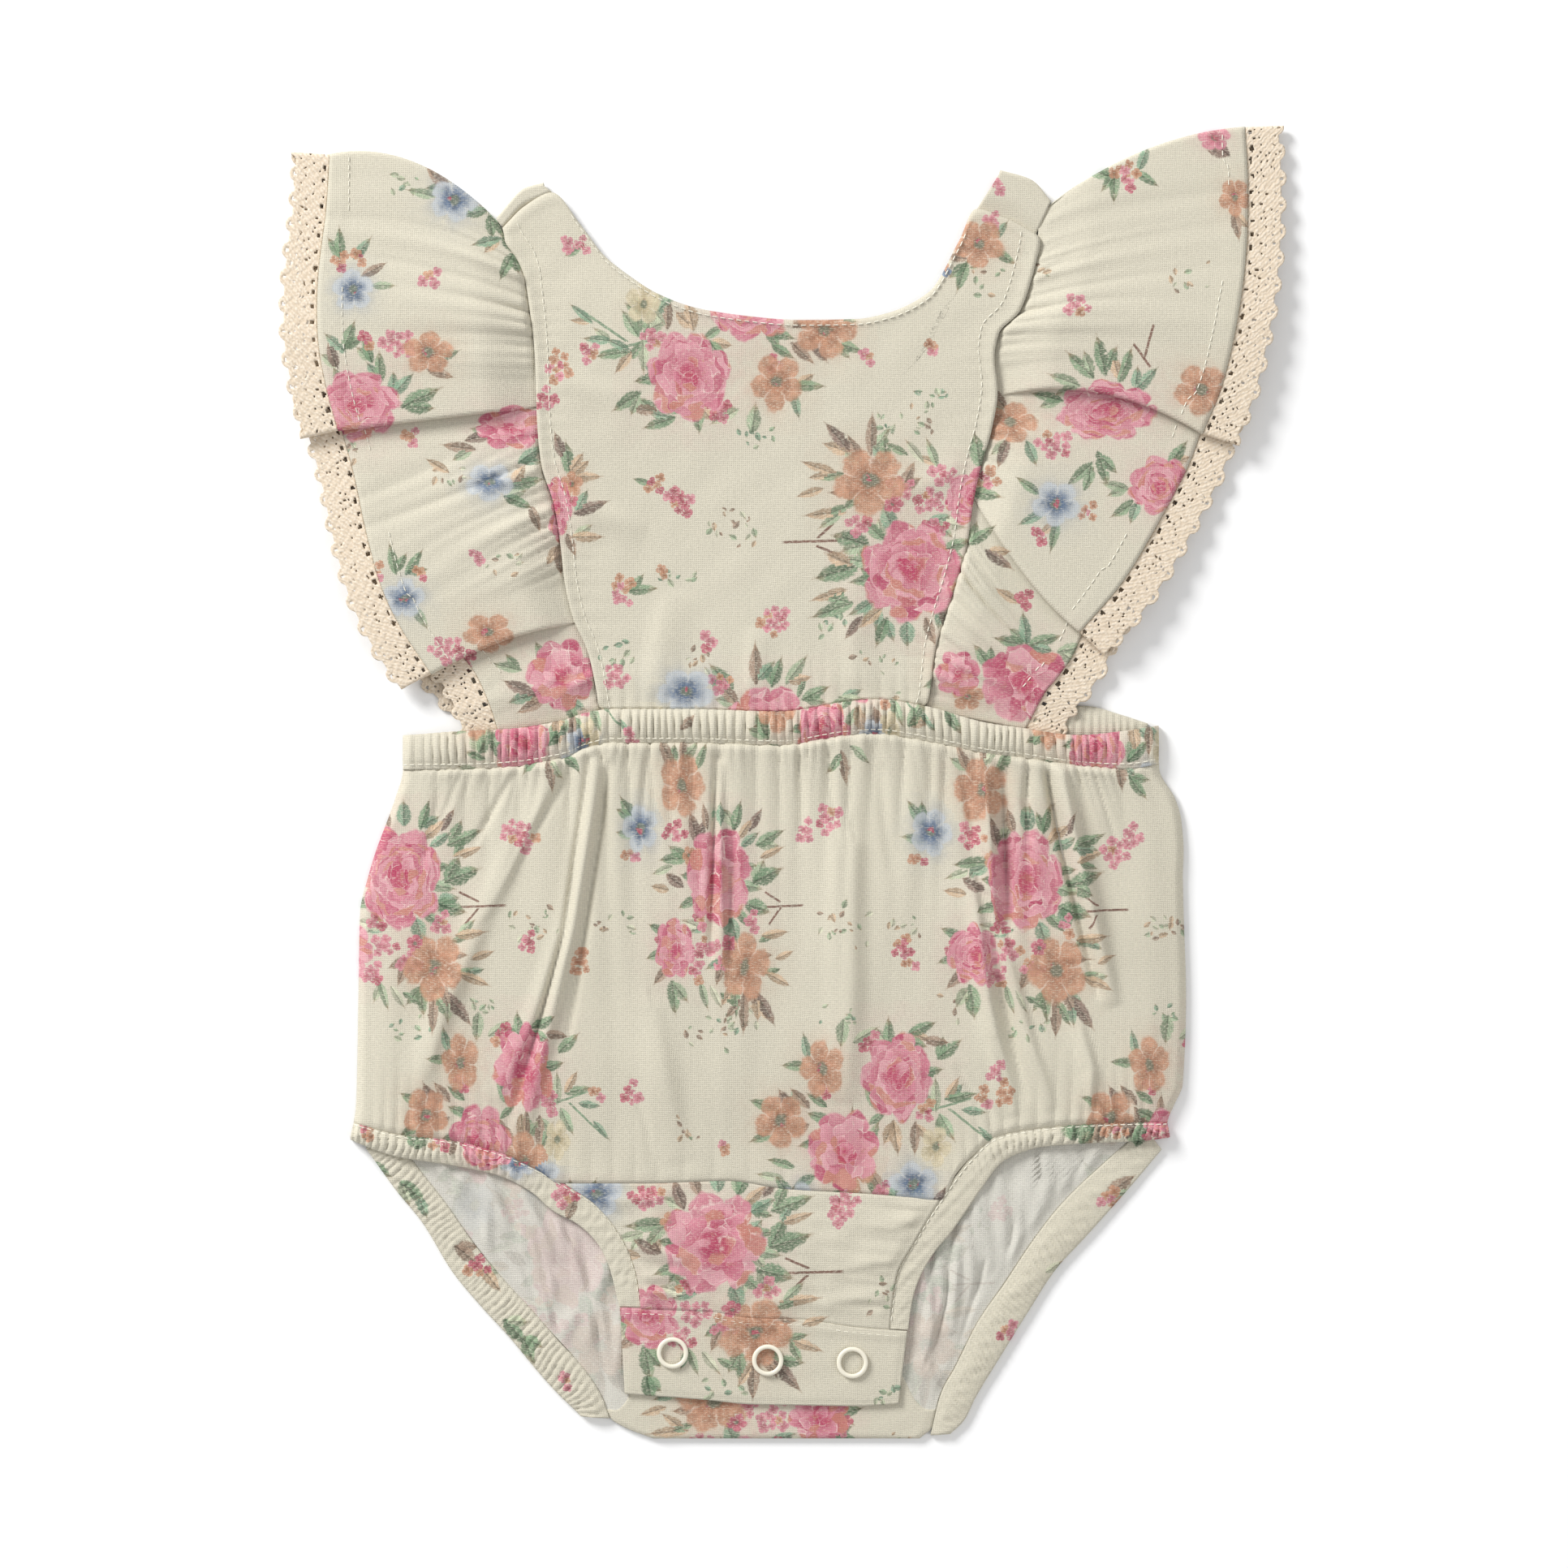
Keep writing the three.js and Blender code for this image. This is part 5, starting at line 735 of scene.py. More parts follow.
# A crease runs from one place over a second to a third, its height and width in mm. Grooves sink in.
CREASES = table("from_x from_y over_x over_y to_x to_y height width", [
    (-97, -118, -99, -124, -102, -131, 0.8, 2.4), (-90, -121, -91, -143, -86, -152, 1.0, 2.2),
    (-77, -141, -71, -153, -72, -168, 1.0, 2.2), (-62, -161, -66, -167, -69, -173, 0.8, 2.2),
    (77, -116, 78, -127, 78, -138, 1.0, 2.2), (66, -119, 68, -131, 69, -143, 0.9, 2.2),
    (56, -134, 58, -146, 59, -158, 1.0, 2.2), (50, -158, 43, -178, 49, -186, 0.9, 2.2),
    (-84, -124, -80, -134, -79, -150, 0.8, 2), (-70, -134, -64, -146, -60, -158, 0.9, 2),
    (85, -114, 87, -121, 88, -128, 0.8, 2), (72, -124, 73, -138, 70, -150, 0.8, 2),
    (48, -146, 50, -156, 47, -168, 0.8, 2), (-58, -150, -55, -165, -53, -180, 0.8, 2),
    (-108, -113, -104, -118, -103, -125, 0.9, 2.2), (-52, -142, -58, -160, -60, -176, 1.2, 3),
    (-82, -122, -74, -138, -70, -148, 1.2, 3.4), (-48, -158, -50, -172, -52, -184, 1.1, 2.6),
    (96, -110, 96, -116, 94, -122, 0.9, 2.2), (60, -124, 62, -140, 64, -150, 1.2, 3),
    (44, -152, 46, -166, 44, -184, 1.2, 2.8), (80, -112, 82, -122, 80, -132, 1.1, 2.6),
    (54, -142, 53, -156, 52, -170, 1.1, 2.6), (-94, -116, -88, -126, -84, -140, 1.2, 2.8),
])
GROOVES = table("from_x from_y over_x over_y to_x to_y height width", [
    (-76, -138, -72, -158, -67, -180, 1.5, 0.9), (-107, -120, -99, -133, -90, -148, 1.3, 0.9),
    (-62, -140, -58, -165, -54, -186, 1.4, 0.9), (-95, -118, -84, -130, -78, -142, 1.1, 0.9),
    (-88, -136, -80, -148, -76, -160, 1.0, 0.8), (-68, -128, -66, -140, -66, -152, 1.1, 0.9),
    (53, -128, 50, -160, 44, -180, 1.5, 0.9), (60, -126, 62, -147, 54, -174, 1.4, 0.9),
    (78, -110, 78, -122, 77, -134, 1.5, 0.9), (70, -118, 71, -134, 68, -152, 1.1, 0.8),
    (90, -108, 92, -116, 88, -126, 1.1, 0.8), (100, -106, 101, -110, 99, -116, 0.9, 0.8),
    (46, -142, 44, -156, 42, -168, 1.1, 0.9),
])


def with_height(x, y, z):
    """Points from their x, y and z, where z may be one height for all."""
    return np.stack([x, y, np.broadcast_to(z, x.shape)], -1)


def back_panel():
    """Rows from the crotch end to the back waistband, each as wide as the side edges are there. The
    upper face lies one wall up, lifted by creases and small waves that fade out at the edges."""
    left, right = column(BACK_SIDES, "y", "left"), column(BACK_SIDES, "y", "right")
    band_edge = column(BACK_BAND, "x", "bottom")
    aside = np.linspace(-1, 1, 170)
    v, u = grid(np.linspace(0, 1, 130) ** 1.3, 0.5 + 0.5 * np.sign(aside) * np.abs(aside) ** 0.6)
    low, high = BACK_SIDES["y"][-1], BACK_SIDES["y"][0]
    side_y = blend(low, high, v)
    x = blend(left(side_y), right(side_y), u)
    y = blend(side_y, band_edge(x) - SEAM_GAP + side_y - high, np.clip((v - 0.8) / 0.2, 0, 1))
    small = 0.22 * crumple(x, y, 14, 3) + 0.14 * crumple(x, y, 6, 4)
    lift = ridge(CREASES, x, y, 2.2) * 1.8 - ridge(GROOVES, x, y) + small
    edge = ease(np.minimum(u, 1 - u) / 0.03) * ease(v / 0.02)
    upper = WALL + (0.4 + np.maximum(0.75 * lift, -1.0)) * edge
    return shell("back_panel_cloth", with_height(x, y, upper), with_height(x, y, 0),
                 SHADED_WRONG_SIDE, GAUZE, cloth="body")


back = back_panel()
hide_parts("back_panel")

# Back placket: a folded strip of the same cloth, right side up, that the front snaps onto.
# Only its hem shows, below the front placket, and its length under that is a guess.


def back_placket():
    """Rows from the hem up, as wide as the panel it lies on; its upper edge bows up in the middle."""
    left, right = column(BACK_SIDES, "y", "left"), column(BACK_SIDES, "y", "right")
    v, u = grid(24, 120)
    y = blend(-201.4, -192.5, v) + 13 * v * ease(np.sin(np.pi * u) * 2.2 - 0.15)
    x = blend(left(y) + 0.2, right(y) - 0.2, u)
    edge = ease(np.minimum(u, 1 - u) / 0.03) * ease(np.minimum(v, 1 - v) / 0.05)
    z = 1.3 + (0.45 + 0.1 * crumple(x, y, 9, 14)) * edge
    # Its print is cut from another place of the cloth, 317 mm further up.
    return shell("back_placket_strip", with_height(x, y, z), with_height(x, y, WALL + 0.05), GAUZE, GAUZE,
                 flat=np.stack([x, y + 317], -1), cloth="crotch")


facing = back_placket()

# Elastic casings at the back: narrow folded strips of the same gauze with elastic run through.
# Seen from inside the garment, they are ribbed where the elastic draws them up.
LEG_CASINGS = {
    "back_left": table("inner_x inner_y outer_x outer_y", [
        (-122, -107, -128.5, -112), (-112.2, -119.2, -119, -125.25), (-104.5, -129, -111.25, -134.75),
        (-94.5, -143.2, -101.75, -150.25), (-86.3, -153, -93.25, -160.5), (-78, -162, -84.5, -170),
        (-69.5, -171.8, -76, -180.25), (-62, -180, -69, -188), (-56.25, -188.75, -64.5, -192.3),
        (-53.8, -195.2, -62.25, -194.6),
    ]),
    "back_right": table("inner_x inner_y outer_x outer_y", [
        (111.6, -106, 116.5, -112.5), (100.5, -115.8, 107.25, -123.5), (86, -129.8, 92.75, -139.75),
        (77.5, -140.6, 84, -149.25), (68.3, -154.4, 75.5, -162.25), (60.5, -165.7, 67, -176),
        (53, -180.3, 59.25, -188.75), (48.9, -188, 55.75, -195.75), (45.6, -200.5, 51.5, -200),
    ]),
    "front_left": table("inner_x inner_y outer_x outer_y", [
        (-132.2, -104.4, -133.25, -109.4), (-117.25, -108.25, -119, -114.5),
        (-102.75, -109.75, -101.75, -117.25), (-86.75, -113.75, -88, -120.25),
        (-75, -119, -77.75, -125.25), (-66.8, -123.6, -70.75, -131.25), (-58.75, -128.5, -63, -135.5),
        (-51.5, -136.5, -57, -141.5), (-47.5, -143.5, -53.5, -148.5), (-44.75, -152.25, -51.5, -156),
        (-43.75, -161, -50.4, -160.7),
    ]),
    "front_right": table("inner_x inner_y outer_x outer_y", [
        (118.2, -104.3, 119, -108.75), (110, -104.25, 109, -109.75), (95.25, -104.75, 92.75, -110.5),
        (79.75, -106, 79.75, -111.5), (65.25, -108.9, 68, -115.7), (57.5, -115.5, 61, -124.25),
        (48.75, -127.2, 55.75, -132), (44.5, -133.5, 51.5, -138), (40.25, -140.75, 47, -143.25),
        (35, -150.25, 42, -151.75), (33.6, -158, 39.75, -158.75), (32.6, -167.6, 38.4, -167.8),
    ]),
}


def casing_edges(rows):
    """Both edges of a casing by distance along its outer edge; the inner one leaves the seam gap."""
    steps = np.hypot(np.diff(rows["outer_x"]), np.diff(rows["outer_y"]))
    at = np.concatenate([[0], np.cumsum(steps)])
    width = np.hypot(rows["outer_x"] - rows["inner_x"], rows["outer_y"] - rows["inner_y"])
    gap = SEAM_GAP / width
    placed = {
        "at": at, "outer_x": rows["outer_x"], "outer_y": rows["outer_y"],
        "inner_x": blend(rows["inner_x"], rows["outer_x"], gap),
        "inner_y": blend(rows["inner_y"], rows["outer_y"], gap),
    }
    curves = [column(placed, "at", name) for name in ("inner_x", "inner_y", "outer_x", "outer_y")]
    return at[-1], curves


def rib_wave(along, pitch, seed, roundness=0.6):
    """Gathers across a casing: rounded crests with sharp valleys, their widths drifting along it. It
    is the size of a sine, raised to the roundness, whose phase four slower sines push to and fro."""
    starts = np.random.default_rng(seed).random(4) * 6
    drift = sum(np.sin(along / (pitch * k) + p) * 0.75 for k, p in zip((1.3, 1.9, 3.1, 5.3), starts))
    phase = np.pi * along / pitch + drift
    return np.abs(np.sin(phase)) ** roundness


def casing(name, rows, under, upper, pitch, height, weight, materials, seed):
    """A strip between two edges, crowned over its elastic, crossed by its gathers and sunk a little
    along its stitching. Its print is drawn in where the gathers stand high."""
    length, (inner_x, inner_y, outer_x, outer_y) = casing_edges(rows)
    v, u = grid(np.linspace(0, length, int(length / 0.4)), np.linspace(-0.05, 1, 18))
    x, y = blend(inner_x(v), outer_x(v), u), blend(inner_y(v), outer_y(v), u)
    gather = rib_wave(v + 0.35 * np.sin(5 * u + v / 7), pitch, seed, 0.42) * height * weight(v / length)
    crown = np.clip(np.sin(np.pi * np.clip(u, 0.02, 0.98)), 0, 1) ** 0.45
    stitched = 1 - 0.4 * np.exp(-(((u - 0.12) / 0.06) ** 2))
    creased = 0.22 * crumple(x, y, 3.5, seed) + 0.16 * crumple(x, y, 8, seed + 50)
    puff = crown * stitched * (0.12 + 0.38 * weight(v / length) + creased)
    top = with_height(x, y, upper(x, y) + puff + gather * (0.2 + 0.8 * crown))
    flat = np.stack([x + 0.8 * (gather - 0.3), y], -1)
    return shell(name, top, with_height(x, y, under(x, y)), *materials, flat=flat, cloth="casing"), top


def flat_ground(x, y):
    """The table, at height 0."""
    return np.zeros_like(x)


def back_upper(x, y):
    """The upper face of the back casings, just above the back panel's wall."""
    return np.full_like(x, WALL + 0.05)


for side, seed in (("left", 5), ("right", 6)):
    piece, _ = casing(f"back_leg_casing_{side}", LEG_CASINGS[f"back_{side}"], flat_ground, back_upper,
                      2.0, 0.95, lambda v: 0.35 + 0.65 * np.abs(np.sin(3 * v + seed)),
                      (GAUZE, GAUZE), seed)
    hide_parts(f"leg_casing_back_{side}")

# Back waistband: a casing of the same gauze, gathered over elastic and sewn to the back panel.
# Only its inside shows, as a rim above the front band.


def waistband_back():
    """Close ribs across a strip between two edges, each rib highest in the middle of the strip."""
    top_edge, bottom_edge = column(BACK_BAND, "x", "top"), column(BACK_BAND, "x", "bottom")
    x, v = grid(np.linspace(-113.5, 112.3, 400), 14)
    y = blend(bottom_edge(x), top_edge(x), v)
    ribs = 1.1 * rib_wave(x, 2.7, 8, 0.42) * np.clip(np.sin(np.pi * v), 0.1, 1) ** 0.5
    return shell("waistband_back_casing", with_height(x, y, 0.9 + ribs), with_height(x, y, 0), GAUZE, GAUZE,
                 cloth="body")


band_back = waistband_back()
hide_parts("waistband_back")

# Front bloomer panel: one piece of printed gauze, gathered to the waistband above.
# Its fullness falls in soft uneven folds, and it rolls down to the table at both sides.
FRONT_BASE = 2.2
SIDE_ROLL = 3.4
SIDES = table("y left right", [
    (18, -117, 115.5), (4.75, -117, 115.75), (-4.75, -119.5, 120.75), (-11, -121.75, 122.5),
    (-21, -125.5, 123.25), (-28.5, -127.75, 123), (-39.75, -130.25, 123.25), (-65.5, -130.75, 124),
    (-92.25, -131.25, 123), (-99, -131.5, 120.25), (-104.25, -132.25, 118.3), (-109, -133.25, 119),
    (-113, -133.25, 119),
])
FRONT_BAND = table("x top bottom", [
    (-117, 15, 4.75), (-98.25, 16.25, 5), (-83, 17, 5.75), (-67, 19.75, 8.5), (-60, 22, 11.5),
    (-52.5, 23, 13), (-29.5, 23, 13), (-1.25, 22.25, 12.25), (19.5, 25.25, 15.25), (28.25, 26, 15.75),
    (45.5, 23.5, 13.25), (54, 21, 11.5), (62.5, 18.75, 9.75), (71.25, 17.5, 8.75), (91, 15, 6),
    (105.75, 16.5, 5), (115.5, 18, 6.5),
])
GATHERS = table("x height reach", [
    (-117, 0.5, 12), (-106, 1, 25), (-97, 0.8, 18), (-90, 1.1, 24), (-81, 0.9, 30), (-66, 1.3, 40),
    (-56, 1.5, 60), (-48, 1.2, 34), (-41, 1, 26), (-36, 1.1, 30), (-28.5, 1.3, 40), (-19.5, 1.5, 60),
    (-8.5, 1, 30), (-1, 1.1, 34), (5, 0.9, 24), (14, 1.2, 38), (21, 1.3, 52), (28, 1, 30), (37.5, 1.3, 44),
    (46, 1, 28), (50, 1.1, 32), (59, 1.2, 46), (69, 1.1, 40), (75, 1.4, 60), (82, 1, 28), (91, 1.1, 26),
    (104, 0.8, 18), (115.75, 0.5, 12),
])
FOLDS = table("from_x from_y over_x over_y to_x to_y height width", [
    (-56.5, 5, -64.5, -44, -79, -106, 2.0, 3.4), (-61, -30, -74, -66, -88, -98, 1.1, 3.4),
    (-92, -42, -104, -70, -112, -96, 1.3, 5), (-70, 4, -84, -26, -106, -66, 1.2, 4.2),
    (-19.5, 6, -19, -28, -18, -60, 1.8, 2.4),
    (21, -20, 21, -60, 19, -98, 1.8, 8), (85.5, 3, 91.5, -24, 102, -68, 3.0, 3.4),
    (62, 4, 64, -24, 65, -50, 2.1, 3.2), (58, -28, 63, -66, 71, -102, 2.0, 3.2),
    (67, -46, 76, -80, 83, -100, 1.2, 3.4), (91, -74, 95, -88, 94, -100, 1.2, 3),
    (-40, -70, -36, -92, -30, -116, 1, 7),
])
CREASE_LINES = table("from_x from_y over_x over_y to_x to_y height width", [
    (-59.5, 8, -67.2, -46, -84.5, -105.8, 2.2, 1.1), (-53.5, 6, -60, -39, -67.2, -84, 1.6, 1.1),
    (-20.5, 8, -21.4, -25, -22.2, -54, 3.2, 1.2), (-14.5, -8, -16.2, -30, -17, -56, 0.9, 1.0),
    (81, 3, 86, -21, 97, -66, 3.4, 1.2), (67, 4, 68, -20, 69.5, -48, 2.4, 1.2),
    (75, 4, 74.2, -6, 75.8, -18.5, 1.2, 1.0), (62.5, -34, 67, -66, 75, -98, 1.4, 1.2),
    (30, 4, 31.2, -11, 33.8, -28.5, 0.8, 1.8), (55, 4, 56.8, -6, 58.8, -16, 1.0, 1.0),
    (65, -78.5, 68.2, -91, 70, -103.5, 0.8, 1.2), (53.8, -88, 58.8, -96, 68.8, -105, 0.7, 1.2),
    (-74, 2, -82, -20, -92, -40, 0.5, 1.8), (-83, 3, -89, -8, -96, -20, 1.0, 1.1),
    (-64, 6, -76, -14, -86, -34, 0.7, 1.3), (-100, 3, -103, -6, -108, -16, 0.7, 1.1),
    (-42, 8, -43, -4, -44, -18, 0.9, 1.0), (5, 8, 6, -6, 5, -20, 0.8, 1.0),
    (14, 10, 15, -3, 17, -22, 0.7, 1.2), (-104, 0, -108, -14, -112, -30, 0.6, 1.4),
    (-46, -92, -42, -104, -40, -118, 0.5, 1.4), (96, 2, 100, -10, 104, -24, 0.6, 1.2),
])
CROTCH_SEAM = [
    (-68.75, -122.75), (-43, -122.75), (-17.25, -122), (1, -124.5), (26.75, -126), (48.4, -127.9),
]
LOWER_EDGE = table("x y", [
    (-132.25, -104.25), (-117.25, -108.25), (-102.75, -109.75), (-86.75, -113.75), (-75, -119),
    *CROTCH_SEAM, (53, -120.1), (57.5, -114.9), (65.25, -108.7), (79.75, -106), (95.25, -104.75),
    (110, -104.25), (118.3, -104.1),
])
left_side, right_side = column(SIDES, "y", "left"), column(SIDES, "y", "right")
band_top, band_bottom = column(FRONT_BAND, "x", "top"), column(FRONT_BAND, "x", "bottom")
lower_edge = column(LOWER_EDGE, "x", "y")
crotch_seam = column(table("x y", CROTCH_SEAM), "x", "y")


def inside(x, y):
    """How far a place lies inside the nearer side edge."""
    return np.minimum(x - left_side(y), right_side(y) - x)


def front_under(x, y):
    """The under face of the front: level, rolling down to the table at both sides."""
    return FRONT_BASE * ease(inside(x, y) / SIDE_ROLL)


def front_upper(x, y):
    """The upper face of the front: one wall higher, and rolling down a little further out."""
    return WALL + FRONT_BASE * ease((inside(x, y) + 0.8) / SIDE_ROLL)


def body_folds(x, y):
    """How far the front's folds lift it. Gathers fade below the band: an arch between each two knots,
    its height and reach mixed from theirs, and finer ribs that splay out. Short gathers rise from the
    leg casings and the crotch seam. The long folds, a low puff and small unevenness are added, and
    all fade out at the edges."""
    knots = GATHERS["x"]
    depth = np.maximum(band_bottom(x) - y, 0)
    lean = x + 0.06 * depth * np.sin(x / 23)
    i = np.clip(np.searchsorted(knots, lean, side="right") - 1, 0, len(knots) - 2)
    t = np.clip((lean - knots[i]) / (knots[i + 1] - knots[i]), 0, 1)
    size = [GATHERS["height"][k] * np.exp(-depth / (0.6 * GATHERS["reach"][k])) for k in (i, i + 1)]
    gather = 1.7 * blend(size[0], size[1], t) * np.sin(np.pi * t) ** (0.45 + 1.3 * ease(depth / 45))
    strength = 0.75 + 0.4 * np.sin(x / 5.3) * np.sin(x / 8.9 + 1)
    splayed = x * (1 - 0.0026 * depth) + 0.08 * depth * np.sin(x / 9)
    reach = 5.6 + 3.4 * np.sin(x / 4.1) * np.sin(x / 9.7 + 1)
    fine = 1.7 * strength * rib_wave(splayed, 3.4, 21, 0.5) * np.exp(-depth / reach)
    hem = np.maximum(y - lower_edge(x), 0)
    sides = ease((np.abs(x + 7) - 52) / 20)
    leg = 1.1 * rib_wave(x + 0.06 * hem * np.sin(x / 8), 4.6, 22) * np.exp(-hem / 11) * sides
    seam = 0.5 * rib_wave(x, 9, 23) * np.exp(-hem / 14) * (1 - sides)
    puff = 1.4 * ease(depth / 60) * ease((y + 122) / 40)
    soft = 0.3 * crumple(x, y * 0.45, 15, 24) + 0.3 * crumple(x, y, 30, 25)
    middle = ease(depth / 14) * ease(hem / 14)
    folds = ridge(FOLDS, x, y, 2.0) * 1.5 - ridge(CREASE_LINES, x, y)
    total = gather + fine + leg + seam + folds + puff + soft * middle
    return total * ease(inside(x, y) / 12) * (0.25 + 0.75 * ease(depth / 1.5)) * (0.1 + 0.9 * ease(hem / 2.2))


def patch(bottom, top, left, right, v, u):
    """Fills four edges: each pair blended across, less the blend of the four corners counted twice."""
    corner = [[np.array(edge(np.array(float(end)))) for end in (0, 1)] for edge in (bottom, top)]
    shape = (-1,) + (1,) * u.ndim
    c = [[corner[a][b].reshape(shape) for b in (0, 1)] for a in (0, 1)]
    across = (1 - v) * np.array(bottom(u)) + v * np.array(top(u))
    down = (1 - u) * np.array(left(v)) + u * np.array(right(v))
    twice = (1 - v) * ((1 - u) * c[0][0] + u * c[0][1]) + v * ((1 - u) * c[1][0] + u * c[1][1])
    return across + down - twice


def side_edge(bottom, top, end_share, read_x):
    """A side edge by height: its ends are exactly the corners of the top and bottom edges, and its x
    follows a curve between them."""
    start, end = bottom(np.array(end_share)), top(np.array(end_share))

    def edge(v):
        y = blend(start[1], end[1], v)
        return np.where(v <= 0, start[0], np.where(v >= 1, end[0], read_x(y))), y

    return edge


def front_panel():
    """One patch from the waistband to the leg casings, as fine across as its gathers need, lifted by
    its folds. Where the cloth slopes its print is drawn in sideways, as gathers draw it."""

    def top(u):
        """Along the waistband's lower edge."""
        x = blend(-117, 115.75, u)
        return x, band_bottom(x) - SEAM_GAP

    def bottom(u):
        """Along the leg casings and the crotch seam."""
        x = blend(-132.25, 118.3, u)
        return x, lower_edge(x) + SEAM_GAP

    shares = np.linspace(0, 1, 324)
    shares = shares - 0.012 * np.sin(2 * np.pi * shares)
    v, u = grid(126, shares)
    left, right = side_edge(bottom, top, 0.0, left_side), side_edge(bottom, top, 1.0, right_side)
    x, y = patch(bottom, top, left, right, v, u)
    lift = body_folds(x, y)
    across = np.gradient(lift, axis=1) / np.maximum(np.gradient(x, axis=1), 0.1)
    flat = np.stack([x - 0.9 * np.clip(across, -0.7, 0.7), y], -1)
    return shell("front_panel_cloth", with_height(x, y, front_upper(x, y) + lift),
                 with_height(x, y, front_under(x, y) + lift), GAUZE, SHADED_WRONG_SIDE, flat=flat, cloth="body")


front = front_panel()
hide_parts("front_panel")

# Front waistband: a casing of the same gauze, drawn up by the elastic inside into close ribs.
# It is sewn between the bloomer front and the bib, with one row of stitching above its lower edge.


def waistband_front():
    """A strip between two edges: a crown over the elastic, sunk at the stitching, and close ribs that
    grow weaker at both sides. Its print is drawn in where the ribs stand high."""
    x, v = grid(np.linspace(-117, 115.5, 760), np.linspace(-0.035, 1, 21))
    y = blend(band_bottom(x), band_top(x), v)
    weight = 0.3 + 0.7 * ease((x + 114) / 12) * ease((114 - x) / 24)
    lean = x + 0.5 * np.sin(x / 6) * (v - 0.5)
    ribs = rib_wave(lean, 2.7, 31, 0.36) * weight
    crown = np.clip(np.sin(np.pi * np.clip(v, 0.02, 0.98)), 0, 1) ** 0.5
    stitched = 1 - 0.35 * np.exp(-(((v - 0.13) / 0.06) ** 2))
    z = front_upper(x, y) + 0.35 + 0.8 * crown * stitched + 1.7 * ribs * (0.1 + 0.9 * crown)
    wavy = y + 0.35 * (ribs - 0.5) * (v - 0.4)
    flat = np.stack([x + 1.1 * (ribs - 0.5), y], -1)
    top = with_height(x, wavy, z)
    return shell("waistband_front_casing", top, with_height(x, y, front_under(x, y)), GAUZE, GAUZE,
                 flat=flat, cloth="band"), top


band_front, band_top_grid = waistband_front()
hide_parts("waistband_front")

# Front leg casings: narrow bindings of the same gauze along the front leg edges.
# They are ribbed by elastic towards the sides, and smooth where they bind the crotch.
casing_tops = {}
for side, seed in (("left", 41), ("right", 42)):
    piece, casing_tops[side] = casing(
        f"front_leg_casing_{side}", LEG_CASINGS[f"front_{side}"], front_under,
        lambda x, y: front_upper(x, y) - 0.3, 2.4, 1.25,
        lambda v: 0.12 + 0.88 * ease((0.6 - v) / 0.2), (GAUZE, GAUZE), seed)
    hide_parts(f"leg_casing_front_{side}")

# Crotch panel: a smooth piece of gauze between the crotch seam and the snap placket.
# The leg casings draw it into a few soft folds at both sides.
PLACKET = table("stitch_x stitch_y hem_x hem_y", [
    (-50.2, -161.25, -48.75, -187.5), (-24.5, -162.25, -24.5, -189.3), (-10, -164.5, -10, -190.7),
    (4.75, -164.9, 4.75, -191), (23, -167.4, 23, -191.25), (38.2, -168.5, 35.5, -190.5),
])
placket_stitch = column(PLACKET, "stitch_x", "stitch_y")
placket_hem = column(PLACKET, "hem_x", "hem_y")
CROTCH_FOLDS = table("from_x from_y over_x over_y to_x to_y height width", [
    (-50, -141, -40, -143, -28, -146, 1.0, 2.6), (-48, -150, -40, -151, -30, -150, 0.9, 2.2),
    (-47, -157, -38, -156, -28, -157, 0.8, 2), (-62, -127, -50, -128, -34, -127, 0.8, 2.6),
    (44, -133, 34, -136, 20, -134, 0.8, 3), (38, -146, 28, -147, 14, -150, 0.8, 2.4),
    (34, -158, 24, -158, 8, -160, 0.7, 2.4), (-8, -160, 4, -158, 18, -160, 0.6, 2.6),
])


